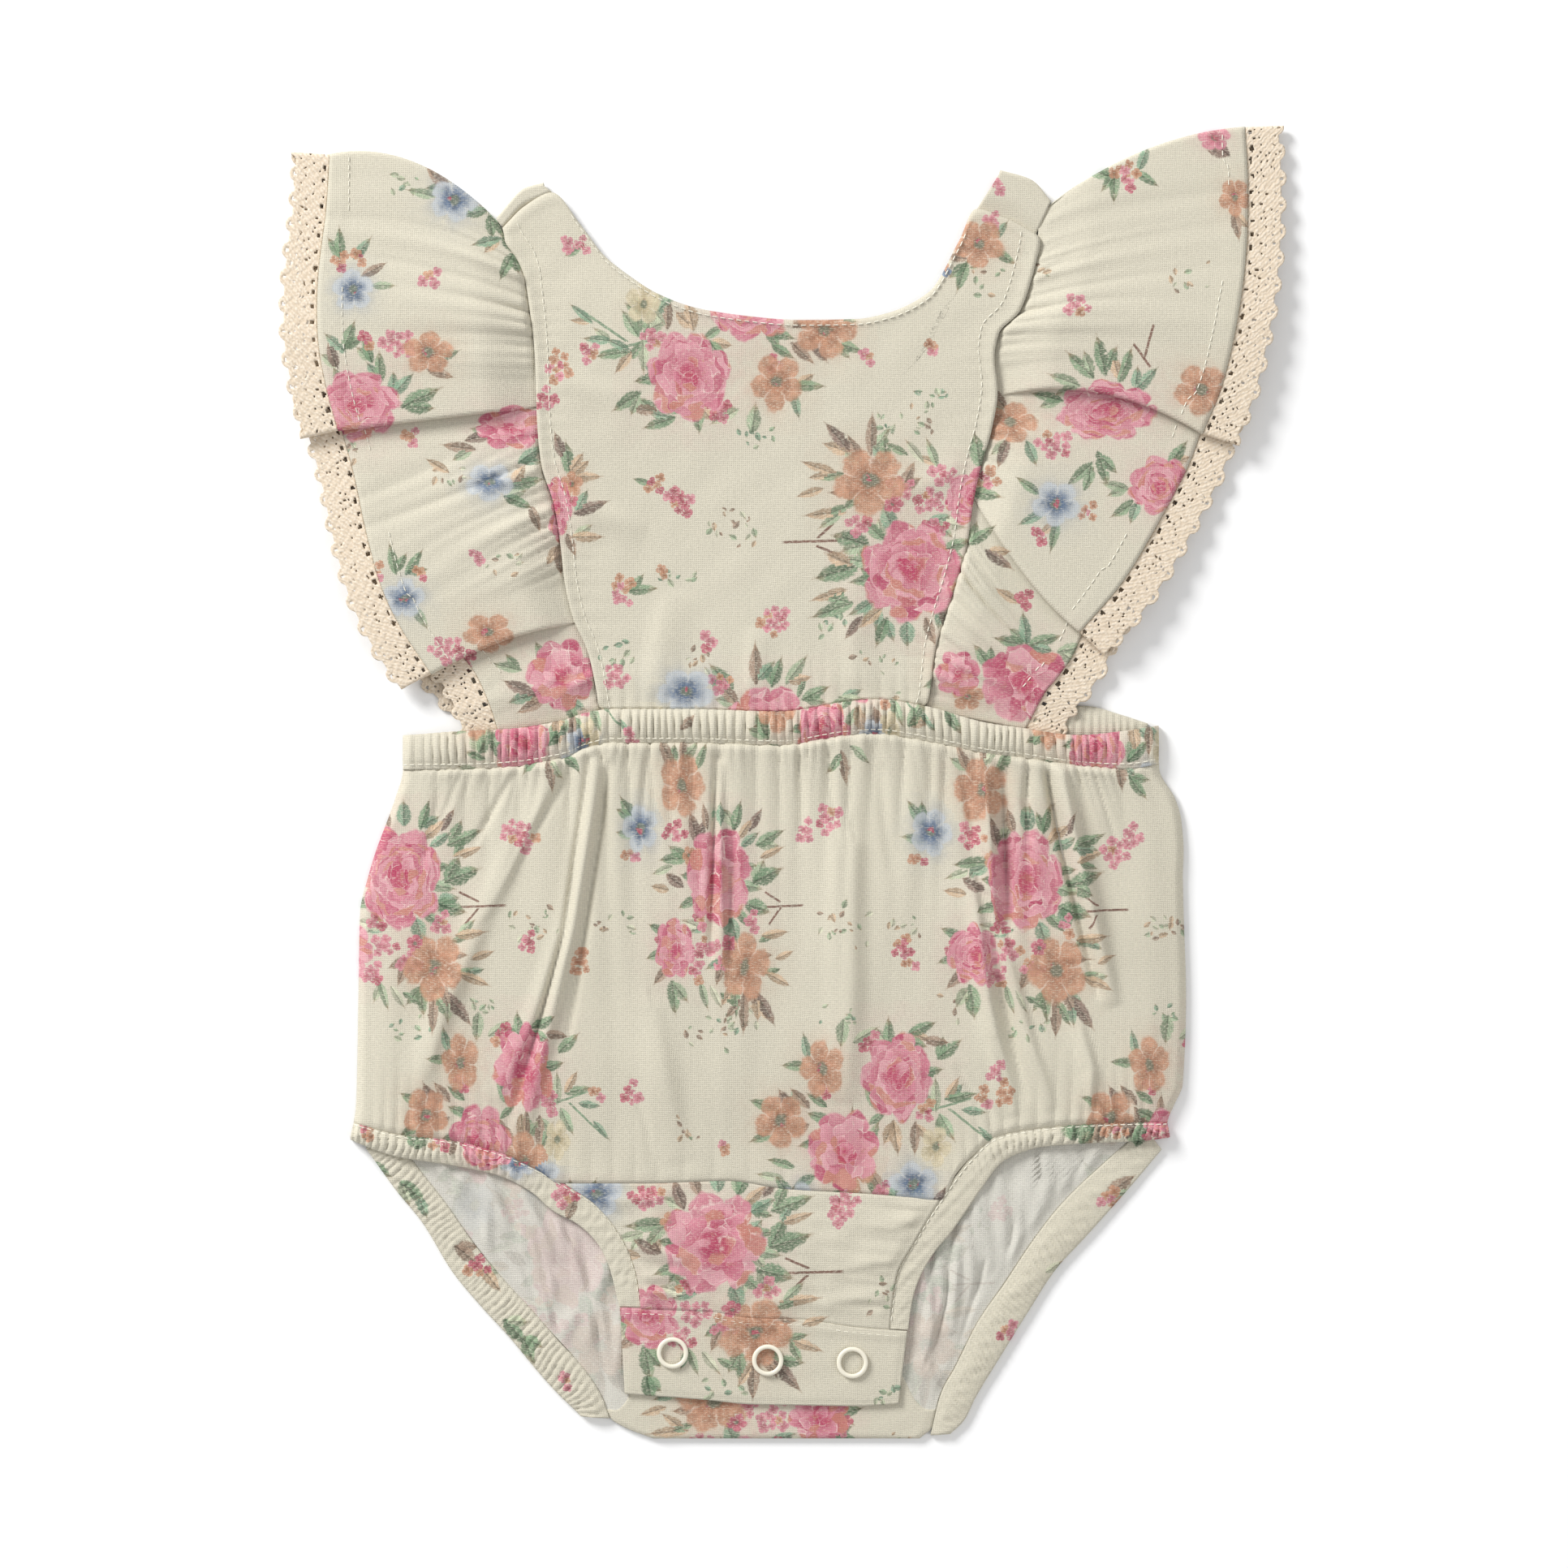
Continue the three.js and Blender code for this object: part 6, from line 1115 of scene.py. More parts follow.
def crotch_panel():
    """One patch between the crotch seam, the placket and the inner edges of both leg casings, lifted
    by a low puff, soft folds and short ribs beside the casings."""

    def edge(rows, first):
        """A side edge by share of its points: a casing's inner edge turned round, then its corner."""
        share = np.linspace(0, 1, len(rows["inner_x"]) + 1)
        placed = {
            "share": share,
            "x": np.append(rows["inner_x"][::-1], first[0]),
            "y": np.append(rows["inner_y"][::-1], first[1]),
        }
        return column(placed, "share", "x"), column(placed, "share", "y")

    parts = [
        edge({k: c[6:] for k, c in LEG_CASINGS["front_left"].items()}, (-67, -123.15)),
        edge({k: c[7:] for k, c in LEG_CASINGS["front_right"].items()}, (47.9, -128.3)),
    ]

    def top(u):
        """Along the crotch seam."""
        x = blend(parts[0][0](1.0), parts[1][0](1.0), u)
        return x, crotch_seam(x) - SEAM_GAP

    def bottom(u):
        """Along the placket's stitching."""
        x = blend(parts[0][0](0.0), parts[1][0](0.0), u)
        return x, placket_stitch(x) + SEAM_GAP

    def pinned(curve, u):
        """A side edge whose ends are exactly the corners of the top and bottom edges."""
        start, end = bottom(np.array(u)), top(np.array(u))
        return lambda v: tuple(
            np.where(v <= 0, start[k], np.where(v >= 1, end[k], curve[k](v))) for k in (0, 1)
        )

    v, u = grid(60, 130)
    x, y = patch(bottom, top, pinned(parts[0], 0.0), pinned(parts[1], 1.0), v, u)
    puff = 0.9 * np.sin(np.pi * np.clip((y + 164) / 40, 0, 1)) * ease((60 - np.abs(x + 8)) / 30)
    edge_in = ease(np.minimum(np.minimum(u, 1 - u) / 0.05, np.minimum(v, 1 - v) / 0.08))
    soft = 0.3 * crumple(x, y, 16, 51) + 0.2 * crumple(x, y * 1.6, 9, 52)
    drawn = 0.7 * rib_wave(y + 0.1 * x, 3.6, 53) * (np.exp(-u / 0.06) + np.exp(-(1 - u) / 0.1) * 0.8)
    soft = soft + drawn + ridge(CROTCH_FOLDS, x, y, 1.8)
    lift = puff + np.maximum(soft, -0.25) * edge_in
    base = with_height(x, y, FRONT_BASE + lift)
    return shell("crotch_panel_cloth", base + (0, 0, WALL), base, GAUZE, SHADED_WRONG_SIDE, cloth="crotch")


crotch = crotch_panel()
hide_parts("crotch_panel")

# Snap placket: a folded strip of the same gauze, top-stitched along its upper edge.
# It is sewn to the crotch panel and carries the three snaps.


def snap_placket():
    """A level strip between its hem and its stitching, with soft unevenness, rounded at its edges and
    a little higher along the stitched fold."""
    v, u = grid(46, 140)
    top_x = blend(PLACKET["stitch_x"][0], PLACKET["stitch_x"][-1], u)
    hem_x = blend(PLACKET["hem_x"][0], PLACKET["hem_x"][-1], u)
    x = blend(hem_x, top_x, v)
    y = blend(placket_hem(hem_x), placket_stitch(top_x) + 0.35, v)
    edge_in = ease(np.minimum(u, 1 - u) / 0.03) * ease(np.minimum(v, 1 - v) / 0.09)
    lift = (0.25 * edge_in + 0.14 * crumple(x, y, 17, 61) + 0.1 * crumple(x, y, 7, 62)) * edge_in
    upper = FRONT_BASE + WALL - 0.3 + 0.42 * ease((v - 0.8) / 0.17)
    base = with_height(x, y, FRONT_BASE)
    return shell("snap_placket_cloth", with_height(x, y, upper + lift), base, GAUZE, GAUZE, cloth="crotch")


placket = snap_placket()
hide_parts("snap_placket")

# Bodice front: a smooth bib of the same gauze with a scooped, narrow-hemmed neckline.
# It is sewn to the ruffles along both sides, to the straps above and to the waistband below.
BODICE_BASE = 1.4
SEAM_LAP = 1.1
BODICE_SEAMS = table("y left right", [
    (179.5, -91.5, 82.8), (173, -87.6, 78.5), (166.25, -84.25, 78), (161, -80.6, 76.8),
    (155, -78.25, 75.2), (145.25, -76.75, 71.6), (138.5, -75.8, 65.2), (131, -75.2, 63.8),
    (120.5, -74.9, 64.8), (109, -74.4, 63),
    (98, -73.2, 59.8), (86.25, -69.5, 57.3), (74.5, -67.5, 55.6), (62.75, -66.2, 52.4), (51, -63.5, 48.5),
    (40.75, -59, 45.6), (29.75, -56.5, 44.2), (22, -55.4, 42.8),
])
BODICE_TOP = table("share x y", [
    (0, -86.4, 171), (0.05, -79.5, 177.8), (0.1, -71.2, 182), (0.16, -62.5, 172.25), (0.22, -55, 162.5),
    (0.29, -47.5, 156.5), (0.37, -38, 150.5), (0.45, -23.75, 145.75), (0.54, 4.75, 142.75), (0.63, 22, 143),
    (0.7, 31.75, 144.75), (0.77, 45, 151.5), (0.83, 53.75, 166.5), (0.9, 59.75, 177), (0.95, 68.75, 174),
    (1, 77.9, 169),
])
BODICE_FOLDS = table("from_x from_y over_x over_y to_x to_y height width", [
    (-72, 92, -60, 84, -42, 78, 0.7, 5), (58, 98, 44, 92, 30, 88, 0.6, 5),
    (-40, 26, -38, 44, -34, 60, 0.6, 6), (24, 28, 22, 44, 20, 62, 0.6, 6),
    (-76, 128, -62, 122, -46, 118, 0.5, 5), (-10, 26, -9, 36, -8, 48, 0.5, 5),
])
seams = {"left": column(BODICE_SEAMS, "y", "left"), "right": column(BODICE_SEAMS, "y", "right")}


def bodice_front():
    """One patch from the waistband to the neckline. It drops to its base above the waist, and carries
    soft swells and folds, short gathers at the side seams and the waist, and a raised neckline hem.
    At the side seams it laps over the ruffles by 1.1 mm."""
    top_x, top_y = column(BODICE_TOP, "share", "x"), column(BODICE_TOP, "share", "y")

    def top(u):
        """Along the straps' ends and the neckline."""
        return top_x(u), top_y(u)

    def bottom(u):
        """Along the waistband's upper edge."""
        x = blend(seams["left"](23.4), seams["right"](24.6), u)
        return x, band_top(x) + SEAM_GAP

    v, u = grid(140, 150)
    left, right = side_edge(bottom, top, 0.0, seams["left"]), side_edge(bottom, top, 1.0, seams["right"])
    x, y = patch(bottom, top, left, right, v, u)
    waist = (FRONT_BASE - BODICE_BASE) * ease((42 - y) / 12)
    swell = 0.5 * np.sin((x + 20) / 17) * np.sin((y - 20) / 24) + 0.5
    soft = swell * ease((y - 22) / 20) * ease((165 - y) / 20)
    edge = np.minimum(x - seams["left"](y), seams["right"](y) - x)
    gathers = 0.6 * rib_wave(y, 4.6, 71) * np.exp(-np.maximum(edge, 0) / 5) * ease(edge / 2.5)
    above = np.maximum(y - band_top(x), 0)
    drawn = 0.6 * rib_wave(x, 4.1, 72) * np.exp(-above / 7)
    fine = 0.12 * crumple(x, y, 24, 73) + 0.1 * crumple(x, y, 10, 74)
    inner = ease(edge / 8) * ease((1 - v) / 0.05) * ease(above / 8)
    lap = ease((170 - y) / 4) * (1 - ease((edge - 0.6) / 2.2))
    folds = ridge(BODICE_FOLDS, x, y, 1.6) * 1.6 * inner
    under = BODICE_BASE + waist + soft + folds + 1.0 * lap * ease(above / 3)
    beside = ease((170 - y) / 4) * (1 - ease(edge / 6)) * ease(above / 1.5)
    x = x + np.where(u < 0.5, -1, 1) * SEAM_LAP * beside
    hem = ease((1 - v) / 0.012) * 0.25 + 0.35 * np.exp(-((((1 - v) - 0.012) / 0.008) ** 2))
    upper = under + (WALL - 0.35) * (1 - 0.35 * lap) + hem + gathers + drawn + (fine + 0.1) * inner
    top_grid = with_height(x, y, upper)
    return shell("bodice_front_cloth", top_grid, with_height(x, y, under), GAUZE, SHADED_WRONG_SIDE,
                 cloth="bodice"), top_grid


bodice, bodice_grid = bodice_front()
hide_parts("bodice_front")

# Shoulder straps: narrow strips of the same gauze, sewn to the bib's top corners.
# Each is folded over the shoulder and runs down behind to the back waistband, which is a guess.
STRAP_WIDTH = 19
STRAPS = {
    "left": table("share start_x start_y fold_x fold_y", [
        (0, -86.6, 171.6, -88, 173.9), (0.5, -79.7, 178.3, -79.5, 183), (1, -71.5, 182.4, -73.6, 184.7)]),
    "right": table("share start_x start_y fold_x fold_y", [
        (0, 78, 169.6, 82, 179.2), (0.5, 69, 174.5, 76.25, 185.6), (1, 60, 177.5, 66.6, 188.6)]),
}
back_band_top = column(BACK_BAND, "x", "top")


def folded_skin(middle, thickness):
    """Both faces of a folded strip: its middle surface moved half its thickness along its normal."""
    along = np.gradient(middle, axis=0)
    along /= np.maximum(np.linalg.norm(along, axis=-1, keepdims=True), 1e-9)
    across = np.gradient(middle, axis=1)
    normal = np.cross(along, across)
    normal /= np.maximum(np.linalg.norm(normal, axis=-1, keepdims=True), 1e-9)
    return middle + normal * thickness / 2, middle - normal * thickness / 2


def strap(side):
    """A strip's middle surface in three runs: in front up to the fold, half a circle round the fold,
    and behind down to the back band beside the seam. Both faces lie half a thickness off it."""
    sign = 1 if side == "left" else -1
    read = {k: column(STRAPS[side], "share", k) for k in ("start_x", "start_y", "fold_x", "fold_y")}
    u = np.linspace(0, 1, 26)
    front_z, back_z = BODICE_BASE + 0.5, 0.5
    radius = (front_z - back_z) / 2
    fold_x, fold_y = read["fold_x"](u), read["fold_y"](u) - radius
    t = np.linspace(0, 1, 24)[:, None]
    start_x, start_y = read["start_x"](u), read["start_y"](u)
    length = np.hypot(start_x - fold_x, start_y - fold_y)
    start_x, start_y = start_x + (start_x - fold_x) / length, start_y + (start_y - fold_y) / length
    front = np.stack(np.broadcast_arrays(
        blend(start_x, fold_x, t), blend(start_y, fold_y, t), blend(0.8, front_z, ease(t * 2))), -1)
    angle = np.linspace(0, np.pi, 12)[1:-1, None]
    turn = np.stack(np.broadcast_arrays(
        fold_x, fold_y + radius * np.sin(angle), blend(front_z, back_z, (1 - np.cos(angle)) / 2)), -1)
    t = np.linspace(0, 1, 50)[:, None]
    end_x = seams[side](0.0) + sign * (SEAM_GAP / 2 + STRAP_WIDTH * u)
    y = blend(fold_y, back_band_top(end_x) + SEAM_GAP, t)
    shift = sign * (SEAM_GAP / 2 + STRAP_WIDTH * u)
    astray = fold_x - seams[side](fold_y + radius) - shift
    x = seams[side](y) + shift + astray * (1 - ease(t * 5))
    behind = np.stack(np.broadcast_arrays(x, y, back_z), -1)
    middle = np.concatenate([front, turn, behind])
    top, bottom = folded_skin(middle, 0.9)
    return shell(f"strap_{side}_cloth", top, bottom, GAUZE, GAUZE, cloth="bodice")


for side in ("left", "right"):
    piece = strap(side)
    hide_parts(f"strap_{side}")

# Flutter ruffles: gathered to the bodice seam, folded in tiers, their hems turned and top-stitched.
# Each runs from the back waist over the shoulder and down the front to the waistband.
# A row is one line of the cloth from the seam to the hem, in order from the back waist to the front:
# how far it bows, how high it lies, how strongly it is gathered, and 1 where the cloth turns back.
RUFFLE_SEAM_GAP = 0.25
RUFFLE_ROW = "seam_y hem_x hem_y bow height gather turn"
RUFFLES = {
    "left": table(RUFFLE_ROW, [
        (27, -93, 26.5, 0, 0.5, 0, 0), (70, -121, 62, 0, 0.5, 0, 0), (110, -132, 112, 0, 0.5, 0, 0),
        (150, -137, 163, 3, 0.5, 0, 0), (171.5, -139.4, 192.4, 8, 0.5, 0, 1),
        (171.5, -139.4, 192.4, 8, 2.6, 0, 0), (160, -140.4, 176, 5, 3.1, 1, 0),
        (147, -142.6, 156.5, 2, 4.4, 1, 0), (134, -142.7, 137.7, 0, 5.8, 0.6, 0),
        (124, -140.4, 123, 0, 5.8, 0, 0), (117, -136.8, 109.5, 0, 5.8, 0, 1),
        (117, -136.8, 109.5, 0, 4.2, 0, 0), (119, -139.4, 121.5, 0, 4.2, 0, 1),
        (119, -139.4, 121.5, 0, 2.6, 0, 0), (111, -134.6, 105, 0, 2.6, 0, 0),
        (103, -131.8, 95, 0, 3, 1, 0), (88, -128, 77.5, 0, 4.2, 1, 0), (73, -123.2, 60.5, 0, 5.4, 0.8, 0),
        (61, -117, 47.5, 1, 5.8, 0, 0), (50.5, -108.5, 34.6, 2.5, 5.8, 0, 1),
        (50.5, -108.5, 34.6, 2.5, 4.2, 0, 0), (52.5, -107, 46.5, 1, 4.2, 0, 1),
        (52.5, -107, 46.5, 1, 2.6, 0, 0), (43, -96.3, 36.5, 0, 2.6, 0, 0),
        (32, -90.6, 25.5, 0, 2.8, 0.8, 0), (21.6, -87.4, 15.4, 0, 1.6, 0.1, 0),
    ]),
    "right": table(RUFFLE_ROW, [
        (31, 77, 33, 0, 0.5, 0, 0), (70, 101, 66, 0, 0.5, 0, 0), (112, 124, 106, 0, 0.5, 0, 0),
        (155, 138, 170, 2, 0.5, 0, 0), (177, 142, 200.8, 5, 0.5, 0, 1), (177, 142, 200.8, 5, 2.6, 0, 0),
        (163, 142.8, 184, 2, 3.1, 0.5, 0), (148, 142, 162, 1, 4.4, 0.6, 0),
        (136, 139.2, 142, 2, 5.8, 0.6, 0), (127, 134.8, 123, 5, 5.8, 0, 0),
        (120, 129, 108.4, 7, 5.8, 0, 1), (120, 129, 108.4, 7, 4.2, 0, 0),
        (122, 132.4, 120.4, 5, 4.2, 0, 1), (122, 132.4, 120.4, 5, 2.6, 0, 0),
        (113, 126, 101.5, 5, 2.6, 0, 0), (107, 121.5, 92, 3, 3.2, 1, 0),
        (100, 112.5, 75.5, 2, 4.8, 0.8, 0), (95, 103.5, 61.2, 0, 5.8, 0, 0),
        (90, 91.6, 47.4, -4, 5.8, 0, 1), (90, 91.6, 47.4, -4, 4.2, 0, 0), (92, 98.6, 57, -1, 4.2, 0, 1),
        (92, 98.6, 57, -1, 2.6, 0, 0), (82, 91.9, 46, -4, 2.6, 0, 0), (70, 88.6, 39, -3, 2.9, 1, 0),
        (52, 83.5, 32, -2, 3.2, 1, 0), (38, 80, 27.6, 0, 3, 1, 0), (22.9, 74.4, 16.8, 0, 1.6, 0.1, 0),
    ]),
}
RUFFLE_SKIN = 0.85


def ruffle_spokes(side, seam_step, hem_step, turn_steps):
    """Spokes along a ruffle's cloth: soft curves through each run of rows, half circles at its folds."""
    rows = np.stack(list(RUFFLES[side].values()), 1)
    starts, spokes, layers = 0, [], []
    for end in [int(i) for i in np.flatnonzero(rows[:, 6])] + [len(rows) - 1]:
        run = rows[starts : end + 1, :6]
        slope = np.gradient(run, axis=0) if len(run) > 1 else run * 0
        for i in range(len(run) - 1):
            a, b = run[i], run[i + 1]
            count = max(abs(b[0] - a[0]) / seam_step, math.hypot(*(b[1:3] - a[1:3])) / hem_step)
            t = (np.arange(math.ceil(count)) / math.ceil(count))[:, None]
            curve = a * (1 + 2 * t) * (1 - t) ** 2 + slope[i] * t * (1 - t) ** 2
            curve += b * t * t * (3 - 2 * t) - slope[i + 1] * t * t * (1 - t)
            curve[:, 3:] = blend(a, b, t)[:, 3:]
            spokes.append(curve)
            layers += [starts] * len(curve)
        last, before = run[-1], spokes[-1][-1]
        spokes.append(last[None])
        layers.append(starts)
        if end < len(rows) - 1:
            radius = abs(rows[end + 1, 4] - last[4]) / 2
            angle = np.linspace(0, np.pi, turn_steps + 1)[1:-1]
            turn = np.repeat(last[None], len(angle), 0)
            out = radius * np.sin(angle)
            hem = (last[1:3] - before[1:3]) / math.hypot(*(last[1:3] - before[1:3]))
            turn[:, 0] += out * np.sign(last[0] - before[0])
            turn[:, 1:3] += out[:, None] * hem
            turn[:, 4] = blend(last[4], rows[end + 1, 4], (1 - np.cos(angle)) / 2)
            spokes.append(turn)
            layers += [-1] * len(turn)
        starts = end + 1
    spokes = np.concatenate(spokes)
    gap = -RUFFLE_SEAM_GAP if side == "left" else RUFFLE_SEAM_GAP
    return spokes, seams[side](spokes[:, 0]) + gap, np.array(layers)


def ruffle(side):
    """A surface of spokes from the seam to the hem, held down where they are sewn in front. Gathers in
    three sizes fan out from the seam and fade towards the hem, which is turned up by 7 mm."""
    spokes, seam_x, _ = ruffle_spokes(side, 0.75, 2.2, 8)
    share = np.linspace(0, 1, 55) ** 1.25
    seam_y, hem_x, hem_y, bow, height, gather = (spokes[:, k : k + 1] for k in range(6))
    x = blend(seam_x[:, None], hem_x, share)
    y = blend(seam_y, hem_y, share) + 4 * bow * share * (1 - share)
    front = height > 2
    sewn = np.where(front, 1.55 + 0.12 * (height - 2.6), height)
    height = blend(sewn, height, ease(share / 0.28))
    rise = ease(share / 0.05) * (0.72 + 0.4 * np.sin(seam_y / 6.3 + 1) * np.sin(seam_y / 3.9))
    slant = 15 * ease((112 - seam_y) / 9) if side == "left" else 5
    fan = seam_y + slant * share + 3 * share * np.sin(seam_y / 5)
    fine = 2.1 * gather * rib_wave(fan, 3.6, 81) * np.exp(-share / 0.24) * rise
    wave = 2.3 * gather * rib_wave(fan, 7.3, 83) * np.exp(-share / 0.36) * rise
    long = 1.4 * gather * rib_wave(fan, 11.3, 82) * np.exp(-share / 0.8) * (1 - np.exp(-share / 0.15))
    swell = 0.6 * gather * np.sin(seam_y / 4.5 + 2 * share) * share * (1 - share) * 2
    length = np.hypot(hem_x - seam_x[:, None], hem_y - seam_y)
    from_hem = length * (1 - share)
    turned = 0.22 * ease((7.4 - from_hem) / 0.6) - 0.2 * np.exp(-(((from_hem - 7) / 0.5) ** 2))
    middle = np.stack([x, y, height + wave + fine + long + swell + turned * 0.6], -1)
    top, bottom = folded_skin(middle, (RUFFLE_SKIN * (0.35 + 0.65 * ease(share / 0.12)))[..., None])
    if side == "left":
        top, bottom = bottom, top
    piece = shell(f"ruffle_{side}_cloth", top, bottom, GAUZE, GAUZE,
                  flat=np.stack([x, y], -1), cloth="ruffle")
    return piece, middle, from_hem


ruffle_grids = {}
for side in ("left", "right"):
    piece, middle, from_hem = ruffle(side)
    ruffle_grids[side] = (middle, from_hem)
    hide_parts(f"ruffle_{side}")

# Lace edging: ecru cotton bobbin lace, 12 mm wide, sewn under the ruffle's hem.
# Its ground is closely twisted thread with small holes, and its outer edge runs in picots.
LACE_WIDTH = 12
LACE_THREAD = 0.6
SCALLOP_PITCH = 7.9
SCALLOP_DEPTH = 1.7
SCALLOP_RADIUS = 2.3


def cotton_lace():
    """Ecru cotton thread, matt, in knotted loops about 0.9 mm apart that shade each other: the
    height is the distance from each knot plus half a slanting wave, darker where it is low."""
    material, tree = new_tree("ecru cotton lace")
    uv = add(tree, "UVMap", uv_map="cloth")
    knots = add(tree, "TexVoronoi", {"Vector": uv, "Scale": 1150.0, "Randomness": 0.75}, feature="F1")
    twist = add(tree, "TexWave", {
        "Vector": uv, "Scale": 380.0, "Distortion": 4.0, "Detail": 1.0, "Detail Scale": 1.5,
    }, 1, bands_direction="DIAGONAL")
    height = add(tree, "Math", (twist, 0.5, knots), operation="MULTIPLY_ADD")
    ramp = add(tree, "ValToRGB", (height,)).node
    for end, place, colour in zip(ramp.color_ramp.elements, (0.1, 1.0), ("#E8DCCB", "#D3C2AB")):
        end.position, end.color = place, linear(colour)
    bump = add(tree, "Bump", {"Strength": 0.5, "Distance": 0.0003, "Height": height}, invert=True)
    skin = add(tree, "BsdfPrincipled", {"Base Color": ramp.outputs[0], "Roughness": 0.85, "Normal": bump})
    add(tree, "OutputMaterial", {"Surface": skin})
    return material


LACE = cotton_lace()


def smooth_piece(name, points, faces, material):
    """A visible piece from points in mm and faces, in one material, shaded smoothly."""
    mesh = bpy.data.meshes.new(name)
    mesh.from_pydata(((points.reshape(-1, 3) + ORIGIN_SHIFT) * MM).tolist(), [], faces.tolist())
    mesh.polygons.foreach_set("use_smooth", np.ones(len(mesh.polygons), bool))
    mesh.materials.append(material)
    piece = bpy.data.objects.new(name, mesh)
    bpy.context.scene.collection.objects.link(piece)
    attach(piece, "root")
    return piece


def lace_directions(spokes, seam_x, layers):
    """Which way the lace points at each spoke: three parts square to the hem and one part along the
    spoke, averaged over thirteen spokes, and kept as it was before a fold while it runs round it."""
    straight = np.stack([spokes[:, 1] - seam_x, spokes[:, 2] - spokes[:, 0]], 1)
    straight /= np.linalg.norm(straight, axis=1, keepdims=True)
    square = np.zeros_like(straight)
    for layer in np.unique(layers[layers >= 0]):
        run = np.flatnonzero(layers == layer)
        along = np.gradient(spokes[run, 1:3], axis=0)
        along /= np.maximum(np.linalg.norm(along, axis=1, keepdims=True), 1e-9)
        normal = np.stack([along[:, 1], -along[:, 0]], 1)
        square[run] = normal * np.sign((normal * straight[run]).sum(1, keepdims=True))
    held = np.maximum.accumulate(np.where(layers >= 0, np.arange(len(layers)), 0))
    mixed = 3 * square[held] + straight
    reach = 6
    window = np.ones(2 * reach + 1) / (2 * reach + 1)
    padded = np.pad(mixed, ((reach, reach), (0, 0)), mode="edge")
    soft = np.stack([np.convolve(padded[:, k], window, "valid") for k in (0, 1)], 1)
    return soft / np.linalg.norm(soft, axis=1, keepdims=True)


def lace(side):
    """A strip 12 mm wide in fine cells, with the cells that fall in a hole taken out."""
    spokes, seam_x, layers = ruffle_spokes(side, 30, 0.62, 8)
    direction = lace_directions(spokes, seam_x, layers)
    step = np.linalg.norm(np.diff(spokes[:, 1:3], axis=0), axis=1)
    run = np.concatenate([[0], np.cumsum(step)])[:, None]
    from_bump = (run / SCALLOP_PITCH % 1 - 0.5) * SCALLOP_PITCH
    bump = np.sqrt(np.clip(1 - (from_bump / SCALLOP_RADIUS) ** 2, 0, 1))
    width = LACE_WIDTH - SCALLOP_DEPTH * (1 - bump)
    share = np.linspace(0, 1, 24)
    out = blend(SEAM_GAP, width, share)
    x = spokes[:, 1:2] + out * direction[:, :1]
    y = spokes[:, 2:3] + out * direction[:, 1:]
    z = spokes[:, 4:5] + 0.12 * np.sin(run * 2.1) * np.sin(out * 1.9) + 0 * out
    points = np.stack([x, y, z], -1)
    middle_run = (run[:-1] + run[1:]) / 2
    middle_out = (out[:-1, :-1] + out[1:, 1:]) / 2

    rng = np.random.default_rng(91 + len(side))
    gone = np.zeros(middle_out.shape, bool)

    def pierce(along, out_row, half_long, half_wide):
        """Takes out the cells in each of many small ovals."""
        for a, o, p, q in zip(along, out_row, half_long, half_wide):
            low, high = np.searchsorted(middle_run[:, 0], (a - p, a + p))
            window = slice(low, high + 1)
            gone[window] |= ((middle_run[window] - a) / p) ** 2 + ((middle_out[window] - o) / q) ** 2 < 1

    total = float(run[-1, 0])
    along = np.arange(2, total, 4.4)
    pierce(along + rng.uniform(-0.9, 0.9, len(along)), rng.uniform(1.1, 1.7, len(along)),
           rng.uniform(0.5, 1.0, len(along)), rng.uniform(0.4, 0.75, len(along)))
    for row in (3.1, 4.5, 5.9, 7.3, 8.7):
        along = np.arange(1, total, 2.5)
        along = along[rng.random(len(along)) < 0.55]
        pierce(along + rng.uniform(-0.7, 0.7, len(along)), row + rng.uniform(-0.5, 0.5, len(along)),
               rng.uniform(0.26, 0.4, len(along)), rng.uniform(0.22, 0.34, len(along)))
    along = np.arange(SCALLOP_PITCH / 2, total, SCALLOP_PITCH)
    pierce(along, np.full(len(along), 10.5), np.full(len(along), 0.5), np.full(len(along), 0.4))
    lines, across = points.shape[:2]
    index = np.arange(lines * across).reshape(lines, across)
    quads = np.stack([index[:-1, :-1], index[1:, :-1], index[1:, 1:], index[:-1, 1:]], -1)[~gone]
    used, faces = np.unique(quads, return_inverse=True)
    faces = faces.reshape(-1, 4)
    piece = smooth_piece(f"lace_{side}_edging", points.reshape(-1, 3)[used], faces, LACE)
    cloth = np.stack([np.broadcast_to(run, out.shape), out], -1).reshape(-1, 2)[used][faces.ravel()]
    piece.data.uv_layers.new(name="cloth").data.foreach_set("uv", (cloth * MM).astype(np.float32).ravel())
    skin = piece.modifiers.new("thread thickness", "SOLIDIFY")
    skin.thickness, skin.offset = LACE_THREAD * MM, 0.0
    return piece


for side in ("left", "right"):
    piece = lace(side)
    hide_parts(f"lace_{side}")

# Ring snaps: open brass rings in baked cream enamel, 10 mm across, pressed through the placket.
# The placket's cloth shows inside each ring.
SNAPS = table("x y", [(-34, -174.75), (-4.75, -177), (21.25, -177.75)])
RING_RADIUS = 4.15
RING_TUBE = 0.7
RING_STEPS = (72, 24)


def smooth_material(name, colour, roughness, coat=0.0):
    """A plain even material: its colour, how matt it is, and how glossy its clear coat is."""
    material = bpy.data.materials.new(name)
    material.use_nodes = True
    skin = material.node_tree.nodes["Principled BSDF"].inputs
    skin["Base Color"].default_value = colour
    skin["Roughness"].default_value, skin["Coat Weight"].default_value = roughness, coat
    return material


